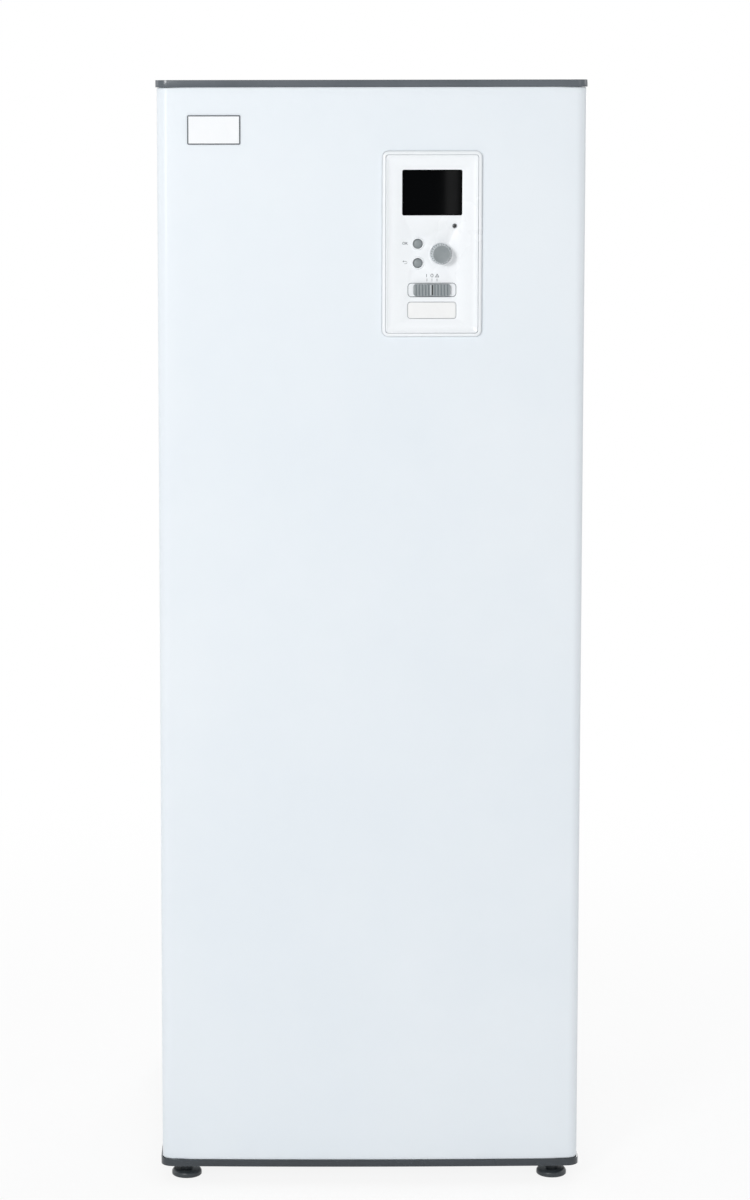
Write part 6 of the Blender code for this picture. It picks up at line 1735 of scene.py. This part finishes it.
    def build(self) -> None:
        """Add every piece of the display."""
        self.build_collar()
        self.build_fascia()
        self.build_glass()
        self.build_lamp()
        self.build_buttons()
        self.build_knob()
        self.build_slider()
        self.build_cover()
        self.build_marks()
        refine("display_housing", HOUSING_GREY)
        refine("control_board", BOARD_GREEN, 0.0002)
        refine("lcd_module", MODULE_STEEL, 0.0003)


@dataclass
class ElectricalBay:
    """The sheet box behind the cover with its board, breaker and terminals."""

    board_front: float = -0.2266
    laminate_edge: float = 0.0002
    contact: float = 0.0001
    plug_corner: Pair = (-0.165, 1.28)
    sockets: int = 30
    socket_row: Pair = (-0.228, 1.124)
    socket_pitch: float = 0.0052
    socket: Point = (0.0042, 0.0061, 0.007)
    pitch: float = 0.016
    caps: int = 6
    cap_row: Pair = (-0.236, 1.3705)
    cap_profile: Profile = ((0, 0), (0.0055, 0), (0.0058, 0.0008), (0.0055, 0.0016), (0.0058, 0.0024),
                            (0.0058, 0.0124), (0.0052, 0.0130), (0, 0.0130))
    fuses: int = 3
    fuse_row: Pair = (-0.0585, 1.296)
    fuse_length: float = 0.020
    fuse_radius: float = 0.0026
    fuse_height: float = 0.005
    clip: Point = (0.004, 0.0078, 0.003)
    terminals: int = 9
    terminal_row: Pair = (0.019, 1.119)
    terminal_pitch: float = 0.0135
    screw_profile: Profile = ((0, -0.0002), (0.0026, -0.0002), (0.0026, 0.0005), (0.0022, 0.0009),
                              (0, 0.0009))
    screw_slot: Pair = (0.004, 0.0003)
    screw_slot_ends: Pair = (0.002, 0.0004)

    def laminate(self) -> None:
        """Add the main board itself with its relays and plugs."""
        bm = copied("main_board", self.laminate_edge)
        right, above = self.plug_corner
        for face in bm.faces:
            middle = face.calc_center_median()
            plug = middle.z > above and middle.x > right
            on_board = middle.y > self.board_front - self.laminate_edge
            face.material_index = 0 if on_board else 2 if plug else 1
        add_piece("main_board_laminate", bm, (BOARD_GREEN, BLACK_PLASTIC, COVER_WHITE),
                  ["main_board"])

    def components(self) -> None:
        """Add the main board's socket row, capacitors and fuses."""
        front = self.board_front
        x, z = self.socket_row
        wide, deep, tall = self.socket
        pins = [block((at, front - deep, z), (at + wide, front - self.contact, z + tall), 0.0004)
                for at in (x + self.socket_pitch * i for i in range(self.sockets))]
        add_piece("main_board_sockets", joined(pins), HOUSING_GREY)
        x, z = self.cap_row
        cans = [turned(forward(self.cap_profile, front), (x + self.pitch * i, 0, z), segments=32)
                for i in range(self.caps)]
        add_piece("main_board_capacitors", joined(cans), MODULE_STEEL)
        x, z = self.fuse_row
        wide, deep, tall = self.clip
        tubes = []
        for at in (z + self.pitch * i for i in range(self.fuses)):
            y = front - self.fuse_height
            tubes.append(rod((x, y, at), (x + self.fuse_length, y, at), self.fuse_radius))
            tubes += [block((end, front - deep, at - tall), (end + wide, front - self.contact, at + tall),
                            0.0003) for end in (x, x + self.fuse_length - wide)]
        add_piece("main_board_fuses", joined(tubes), ZINC_SCREW)

    def terminals_row(self) -> None:
        """Add the terminal block with a slotted screw in each way."""
        refine("terminal_block", HOUSING_GREY, 0.0004)
        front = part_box("terminal_block")[0].y
        x, z = self.terminal_row
        (long, thin), (near, far) = self.screw_slot, self.screw_slot_ends
        heads = []
        for at in (x + self.terminal_pitch * i for i in range(self.terminals)):
            head = turned(forward(self.screw_profile, front), (at, 0, z), segments=24)
            slit = block((at - long, front - near, z - thin), (at + long, front - far, z + thin))
            heads.append(carved(head, slit))
        add_piece("terminal_block_screws", joined(heads), ZINC_SCREW)

    def build(self) -> None:
        """Add every piece of the bay."""
        refine("electrical_box", ZINC_SHEET, 0.0003)
        self.laminate()
        self.components()
        self.terminals_row()
        refine("circuit_breaker", HOUSING_GREY, 0.0006)
        refine("breaker_lever", BLACK_PLASTIC, 0.0005, Body.LEVER)


@dataclass
class HotWaterTank:
    """The foam-jacketed tank with its coil, on its stand."""

    axis_y: float = 0.0483
    jacket_radius: float = 0.260
    jacket_sides: int = 20
    jacket_edge: float = 0.003
    strap_radius: float = 0.2607
    strap_sink: float = 0.0010
    strap_width: float = 0.018
    strap_sides: int = 160
    straps: tuple[float, ...] = (0.62, 0.98, 1.36)

    def build(self) -> None:
        """Add the jacket, its straps, the vessel, the coil and the stand."""
        jacket = rounder(copied("tank_insulation"), (0.0, self.axis_y), self.jacket_radius, self.jacket_sides)
        soften(jacket, self.jacket_edge, sharper_than=35.0)
        add_piece("tank_insulation_skin", jacket, FOAM_SKIN, ["tank_insulation"])
        bands = [ring(self.jacket_radius - self.strap_sink, self.strap_radius, z, z + self.strap_width,
                      (0.0, self.axis_y, 0.0), Axis.UP, self.strap_sides) for z in self.straps]
        add_piece("tank_straps", joined(bands), BLACK_PLASTIC)
        refine("tank_vessel", STAINLESS, 0.0)
        refine("charging_coil", STAINLESS, 0.0)
        refine("tank_stand", ZINC_SHEET, 0.0004)


@dataclass
class Hydraulics:
    """The exchanger, pump, valves, heater, gauge and expansion vessel."""

    pump: Pair = (-0.115, 0.23)
    motor_front: float = -0.2353
    motor_rear: float = -0.1553
    motor_radius: float = 0.048
    motor_edge: float = 0.006
    motor_wall: float = 0.020
    motor_bore: float = 0.016
    plug_radius: float = 0.008
    plug_gap: float = 0.0008
    plug_ends: Pair = (0.0004, 0.002)
    plug_slit: Pair = (0.0006, 0.0012)
    gauge: Pair = (-0.225, 0.25)
    dial_radius: float = 0.0205
    dial_lift: float = 0.00005
    dial_thickness: float = 0.0002
    dial_start: float = 150.0
    dial_sweep: float = 240.0
    dial_ticks: int = 13
    tick_foot: float = 0.0165
    tick_lengths: Pair = (0.0030, 0.0018)
    tick_half: float = 0.0002
    tick_rise: float = 0.0001
    vessel: tuple[float, float, float] = (0.13, 0.13, 0.12)
    vessel_ends: Pair = (0.235, 0.41)
    vessel_edge: float = 0.030
    seam: float = 0.3225
    seam_roll: Profile = ((-0.0012, -0.004), (0, -0.003), (0, 0.003), (-0.0012, 0.004))
    stud: Profile = ((0, 0.2250), (0.0045, 0.2250), (0.0045, 0.222), (0.009, 0.222), (0.009, 0.235))
    nipple: Profile = ((0.006, 0.41), (0.006, 0.4277), (0, 0.4277))

    def expansion(self) -> None:
        """Add the red expansion vessel with its rolled seam, its stud and its nipple."""
        x, y, radius = self.vessel
        (low, high), edge = self.vessel_ends, self.vessel_edge
        side = radius + self.seam_roll[0][0] - edge
        outline = [*self.stud, *arc((side, low + edge), edge, -90, 0),
                   *((radius + wide, self.seam + up) for wide, up in self.seam_roll),
                   *arc((side, high - edge), edge, 0, 90), *self.nipple]
        add_piece("expansion_vessel_shell", turned(outline, (x, y, 0), Axis.UP, 96), RED_ENAMEL,
                  ["expansion_vessel"])

    def dial(self) -> None:
        """Add the gauge's white dial and its scale."""
        refine("pressure_gauge", BRASS, 0.0004)
        x, z = self.gauge
        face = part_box("gauge_needle")[1].y + self.dial_lift
        back = face + self.dial_thickness
        disc = turned([(0, face), (self.dial_radius, face), (self.dial_radius, back), (0, back)], (x, 0, z),
                      segments=64)
        add_piece("pressure_gauge_dial", disc, DIAL_WHITE)
        foot, half = self.tick_foot, self.tick_half
        ticks = []
        for i in range(self.dial_ticks):
            angle = math.radians(self.dial_start + self.dial_sweep * i / (self.dial_ticks - 1))
            long = self.tick_lengths[bool(i % 3)]
            tick = block((foot, face - self.tick_rise, -half), (foot + long, face, half))
            matrix = Matrix.Translation((x, 0, z)) @ Matrix.Rotation(angle, 4, "Y")
            bmesh.ops.transform(tick, matrix=matrix, verts=tick.verts)
            ticks.append(tick)
        add_piece("pressure_gauge_scale", joined(ticks), BLACK_PLASTIC)
        refine("gauge_needle", RED_ENAMEL, 0.0001, Body.NEEDLE)

    def motor(self) -> None:
        """Add the pump's motor, hollow for the rotor, with the vent plug in its front."""
        x, z = self.pump
        front, rear, radius, bore = self.motor_front, self.motor_rear, self.motor_radius, self.motor_bore
        seat, edge = self.plug_radius, self.motor_edge
        face, floor = (front + end for end in self.plug_ends)
        end = front + self.motor_wall
        outline = [(0, floor), (seat, floor), (seat, front), (radius - edge, front), (radius, front + edge),
                   (radius, rear), (bore, rear), (bore, end), (0, end)]
        add_piece("pump_motor_skin", turned(outline, (x, 0, z), segments=64, edge=0.0006), BLACK_PLASTIC,
                  ["pump_motor"])
        inner = seat - self.plug_gap
        plug = turned([(0, face), (inner, face), (inner, floor), (0, floor)], (x, 0, z), edge=0.0003)
        half, deep = self.plug_slit
        slit = block((x - seat, front, z - half), (x + seat, front + deep, z + half))
        add_piece("pump_vent_plug", carved(plug, slit), BRASS)

    def build(self) -> None:
        """Add every piece of the water side."""
        refine("heat_exchanger", PLATE_STEEL, 0.0010)
        refine("pump_housing", CAST_IRON, 0.0012)
        self.motor()
        refine("pump_rotor", STAINLESS, 0.0003, Body.ROTOR)
        refine("diverter_body", BRASS, 0.0006)
        refine("diverter_plug", BRASS, 0.0003, Body.PLUG)
        refine("diverter_actuator", BLACK_PLASTIC, 0.0012)
        refine("heater_vessel", STAINLESS, 0.0006)
        refine("immersion_heater", STAINLESS, 0.0003)
        refine("safety_valve", BRASS, 0.0006)
        refine("safety_valve_knob", RED_ENAMEL, 0.0008, Body.SAFETY_KNOB)
        self.expansion()
        self.dial()


@dataclass
class Pipework:
    """The copper pipes, from their stubs at the rear to the units they join."""

    water: float = 0.014
    domestic: float = 0.011
    gas: float = 0.008
    liquid: float = 0.0048
    relief: float = 0.0075
    water_bend: float = 0.028
    hot_bend: float = 0.022
    small_bend: float = 0.020
    stub_y: float = 0.3145
    bore: float = 0.030

    def routes(self) -> dict[str, tuple[float, float, list[Point]]]:
        """Lay out the pipes.

        Returns:
            Each pipe's radius, bend and corners, by the node that it stands for.
        """
        y = self.stub_y
        return {
            "return_pipe": (self.water, self.water_bend,
                            [(-0.115, y, 0.095), (-0.115, -0.12, 0.095), (-0.115, -0.12, 0.1647)]),
            "exchanger_feed_pipe": (self.water, self.water_bend,
                                    [(-0.115, -0.12, 0.2953), (-0.115, -0.12, 0.365), (-0.225, -0.12, 0.365),
                                     (-0.225, -0.12, 0.095), (-0.225, 0.0197, 0.095)]),
            "heater_feed_pipe": (self.water, self.water_bend,
                                 [(-0.225, 0.0197, 0.345), (-0.225, -0.036, 0.345), (0.185, -0.036, 0.345),
                                  (0.185, -0.036, 0.1), (0.185, -0.0689, 0.1)]),
            "supply_pipe": (self.water, self.water_bend,
                            [(0.0, -0.1317, 0.2517), (0.0, -0.1317, 0.095), (0.0, y, 0.095)]),
            "cold_water_pipe": (self.domestic, self.water_bend,
                                [(-0.0575, y, 0.095), (-0.0575, 0.06, 0.095), (-0.0575, 0.06, 0.4703)]),
            "hot_water_pipe": (self.domestic, self.hot_bend,
                               [(0, 0.0483, 1.5203), (0, 0.0483, 1.545), (0.235, 0.0483, 1.545),
                                (0.235, 0.245, 1.545), (0.235, 0.245, 0.095), (0.0575, 0.245, 0.095),
                                (0.0575, y, 0.095)]),
            "gas_line": (self.gas, self.small_bend,
                         [(-0.115, y, 0.165), (-0.115, -0.012, 0.165), (-0.115, -0.012, 0.345),
                          (-0.16501, -0.012, 0.345), (-0.16501, 0.0197, 0.345)]),
            "liquid_line": (self.liquid, self.small_bend,
                            [(-0.08499, y, 0.165), (-0.08499, -0.055, 0.165), (-0.16501, -0.055, 0.165),
                             (-0.16501, -0.055, 0.095), (-0.16501, 0.0197, 0.095)]),
            "expansion_pipe": (self.relief, self.small_bend,
                               [(0.13, 0.13, 0.2217), (0.13, 0.13, 0.135), (-0.115, 0.13, 0.135),
                                (-0.115, 0.13, 0.1093)]),
        }

    def build(self) -> None:
        """Add every pipe, bored where it ends in the rear tray."""
        for node, (radius, bend, points) in self.routes().items():
            first, last = (self.bore if abs(end[1] - self.stub_y) < MERGE else 0.0
                           for end in (points[0], points[-1]))
            bm = piped(points, radius, bend, (first, last))
            add_piece(f"{node}_run", bm, COPPER, [node])


@dataclass
class RearTray:
    """The recessed tray at the back, its grommets and glands, and the back panel's screws."""

    cabinet: CabinetSizes
    floor_y: float = 0.2745
    grommet: Pair = (0.0002, 0.0032)
    grommet_ends: Pair = (-0.0001, 0.0016)
    grommet_edge: float = 0.0005
    pipes: tuple[Point, ...] = ((-0.115, 0.095, 0.014), (-0.0575, 0.095, 0.011), (0.0, 0.095, 0.014),
                                (0.0575, 0.095, 0.011), (-0.115, 0.165, 0.008), (-0.085, 0.165, 0.0048))
    screw_profile: Profile = ((0, 0.0001), (0.0040, 0.0001), (0.0040, -0.00063), (0.00344, -0.00112),
                              (0.0020, -0.0014), (0, -0.0014))
    cross: Pair = (0.0022, 0.00056)
    cross_ends: Pair = (0.00049, 0.0028)
    screw_inset: float = 0.0075
    screw_rows: tuple[float, ...] = (0.30, 0.62, 0.94, 1.26)
    screw_columns: tuple[float, ...] = (-0.27, -0.09, 0.09, 0.27)

    def screw(self, x: float, z: float) -> Solid:
        """Return one of the back panel's pan-head screws with its cross recess.

        Args:
            x: Its place along X.
            z: Its height.

        Returns:
            The screw.
        """
        y = self.cabinet.back
        near, far = (y + end for end in self.cross_ends)
        head = turned(forward(self.screw_profile, y), (x, 0, z), segments=24)
        for wide, tall in (self.cross, self.cross[::-1]):
            head = carved(head, block((x - wide, near, z - tall), (x + wide, far, z + tall)))
        return head

    def build(self) -> None:
        """Add the tray, its grommets and glands, and the screws."""
        refine("outlet_tray", ZINC_SHEET, 0.0003)
        refine("gland_plate", BLACK_PLASTIC, 0.0004)
        near, far = (self.floor_y + end for end in self.grommet_ends)
        seals = [ring(r + self.grommet[0], r + self.grommet[1], near, far, (x, 0, z), edge=self.grommet_edge)
                 for x, z, r in self.pipes]
        add_piece("outlet_grommets", joined(seals), FOOT_RUBBER)
        half, c = self.cabinet.half - self.screw_inset, self.cabinet
        places = [(side * half, z) for side in (-1, 1) for z in self.screw_rows]
        places += [(x, z) for x in self.screw_columns
                   for z in (c.panel_low + self.screw_inset, c.panel_high - self.screw_inset)]
        add_piece("back_panel_screws", joined(self.screw(x, z) for x, z in places), ZINC_SCREW)


@dataclass(frozen=True)
class PhotoCamera:
    """The camera at the photograph's viewing angle."""

    place: Point = (-0.14, -4.7955, 1.571)
    pitch: float = 6.549
    roll: float = -0.103
    focal_pixels: float = 3236.0
    picture: tuple[int, int] = (750, 1200)
    sensor: float = 36.0
    shift: Pair = (0.0865, -0.1214)
    reach: float = 50.0

    def build(self) -> None:
        """Add the camera and make it the scene's own."""
        data = bpy.data.cameras.new("photo_camera")
        data.sensor_fit, data.sensor_width = "AUTO", self.sensor
        data.lens = self.focal_pixels / max(self.picture) * self.sensor
        data.shift_x, data.shift_y = self.shift
        data.clip_end = self.reach
        item = placed("photo_camera", data)
        tilt, roll = (Matrix.Rotation(math.radians(angle), 4, axis)
                      for angle, axis in ((90 - self.pitch, "X"), (self.roll, "Z")))
        item.matrix_world = Matrix.Translation(self.place) @ tilt @ roll
        bpy.context.scene.camera = item


@dataclass(frozen=True)
class Softbox:
    """One soft area light."""

    name: str
    place: Point
    aim: Point
    size: Pair
    power: float

    def build(self) -> None:
        """Add the light, turned to its aim."""
        data = bpy.data.lights.new(self.name, "AREA")
        data.shape, data.energy = "RECTANGLE", self.power
        data.size, data.size_y = self.size
        item = placed(self.name, data)
        item.location = self.place
        item.visible_camera = False
        item.rotation_euler = (Vector(self.aim) - Vector(self.place)).to_track_quat("-Z", "Y").to_euler()


@dataclass
class Studio:
    """The white room: floor, background and soft lights."""

    floor_half: float = 9.0
    speckle: float = 2.0
    tones: Pair = (0.93, 0.95)
    near_glow: float = 0.87
    far_glow: float = 1.0
    glow_reach: Pair = (0.45, 2.4)
    ambient: float = 0.50
    lights: tuple[Softbox, ...] = (
        Softbox("key_light", (-1.75, -4.1, 2.25), (0.0, -0.3, 1.2), (0.9, 0.9), 71.0),
        Softbox("fill_light", (2.6, -3.2, 1.9), (0.0, -0.3, 1.0), (0.7, 1.8), 6.0),
        Softbox("top_light", (-0.5, 0.4, 4.2), (0.0, 0.0, 1.5), (2.2, 2.2), 12.0),
        Softbox("rear_light", (1.4, 4.4, 2.4), (0.0, 0.3, 0.9), (1.6, 1.6), 52.0),
        Softbox("left_light", (-4.4, 1.0, 2.0), (-0.3, 0.0, 0.8), (1.4, 1.4), 13.0),
        Softbox("right_light", (4.4, 0.6, 2.0), (0.3, 0.0, 0.8), (1.4, 1.4), 13.0),
        Softbox("strip_light", (0.385, -5.2, 1.25), (0.1, -0.3, 1.42), (0.036, 1.2), 1.05),
    )

    def seen(self, tree: Tree) -> Socket:
        """Mark the rays that see the background itself.

        Args:
            tree: The node tree that the mask goes into.

        Returns:
            The mask.
        """
        rays = tree.add("LightPath")
        direct = tree.math("MAXIMUM", rays.outputs["Is Camera Ray"], rays.outputs["Is Glossy Ray"])
        return tree.math("MAXIMUM", direct, rays.outputs["Is Transmission Ray"])

    def background(self) -> None:
        """Make the world white to the camera and in reflections, and softer as a light."""
        world = bpy.data.worlds.new("white_room")
        world.use_nodes = True
        bpy.context.scene.world = world
        tree = Tree(world.node_tree)
        back = world.node_tree.nodes["Background"]
        back.inputs["Color"].default_value = (1, 1, 1, 1)
        mask = self.seen(tree)
        strength = tree.math("ADD", tree.math("MULTIPLY", mask, 1.0 - self.ambient), self.ambient)
        world.node_tree.links.new(strength, back.inputs["Strength"])

    def floor(self) -> None:
        """Add the pale floor, which stays white to the camera but keeps the shadow."""
        bm = bmesh.new()
        bmesh.ops.create_grid(bm, x_segments=1, y_segments=1, size=self.floor_half)
        mesh = mesh_of(bm, "studio_floor")
        made = Recipe("studio_floor", Roughness=0.9)
        noise = made.add("TexNoise", Vector=made.add("TexCoord").outputs["Object"], Scale=self.speckle)
        tone = made.add("MapRange", Value=noise.outputs["Fac"], To_Min=self.tones[0],
                        To_Max=self.tones[1]).outputs[0]
        made.paint("Base Color", made.add("CombineColor", Red=tone, Green=tone, Blue=tone).outputs[0])
        glow = made.add("Emission", Color=(1, 1, 1, 1), Strength=1.0)
        distance = made.vector("LENGTH", made.add("TexCoord").outputs["Object"]).outputs["Value"]
        share = made.add("MapRange", {"interpolation_type": "SMOOTHSTEP"}, Value=distance,
                         From_Min=self.glow_reach[0], From_Max=self.glow_reach[1], To_Min=self.near_glow,
                         To_Max=self.far_glow)
        lit = made.math("MULTIPLY", self.seen(made), share.outputs[0])
        mix = made.add("MixShader", at={0: lit, 1: made.shader.outputs[0], 2: glow.outputs[0]})
        made.tree.links.new(mix.outputs[0], made.tree.nodes["Material Output"].inputs[0])
        mesh.materials.append(made.material)
        placed("studio_floor", mesh)

    def build(self) -> None:
        """Add the room and its lights."""
        self.background()
        self.floor()
        for light in self.lights:
            light.build()


def main() -> None:
    """Build the scene, sub-assembly by sub-assembly."""
    logging.basicConfig(level=logging.INFO, format="%(name)s: %(message)s")
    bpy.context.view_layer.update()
    bpy.context.scene.view_settings.view_transform = "Standard"
    cabinet = CabinetSizes()
    for part in (PhotoCamera(), Studio(), CabinetShell(cabinet), Feet(), Badge(cabinet),
                 DisplayPanel(cabinet), ElectricalBay(), HotWaterTank(), Hydraulics(), Pipework(),
                 RearTray(cabinet)):
        part.build()
        LOG.info("built %s", type(part).__name__)


if __name__ == "__main__":
    main()
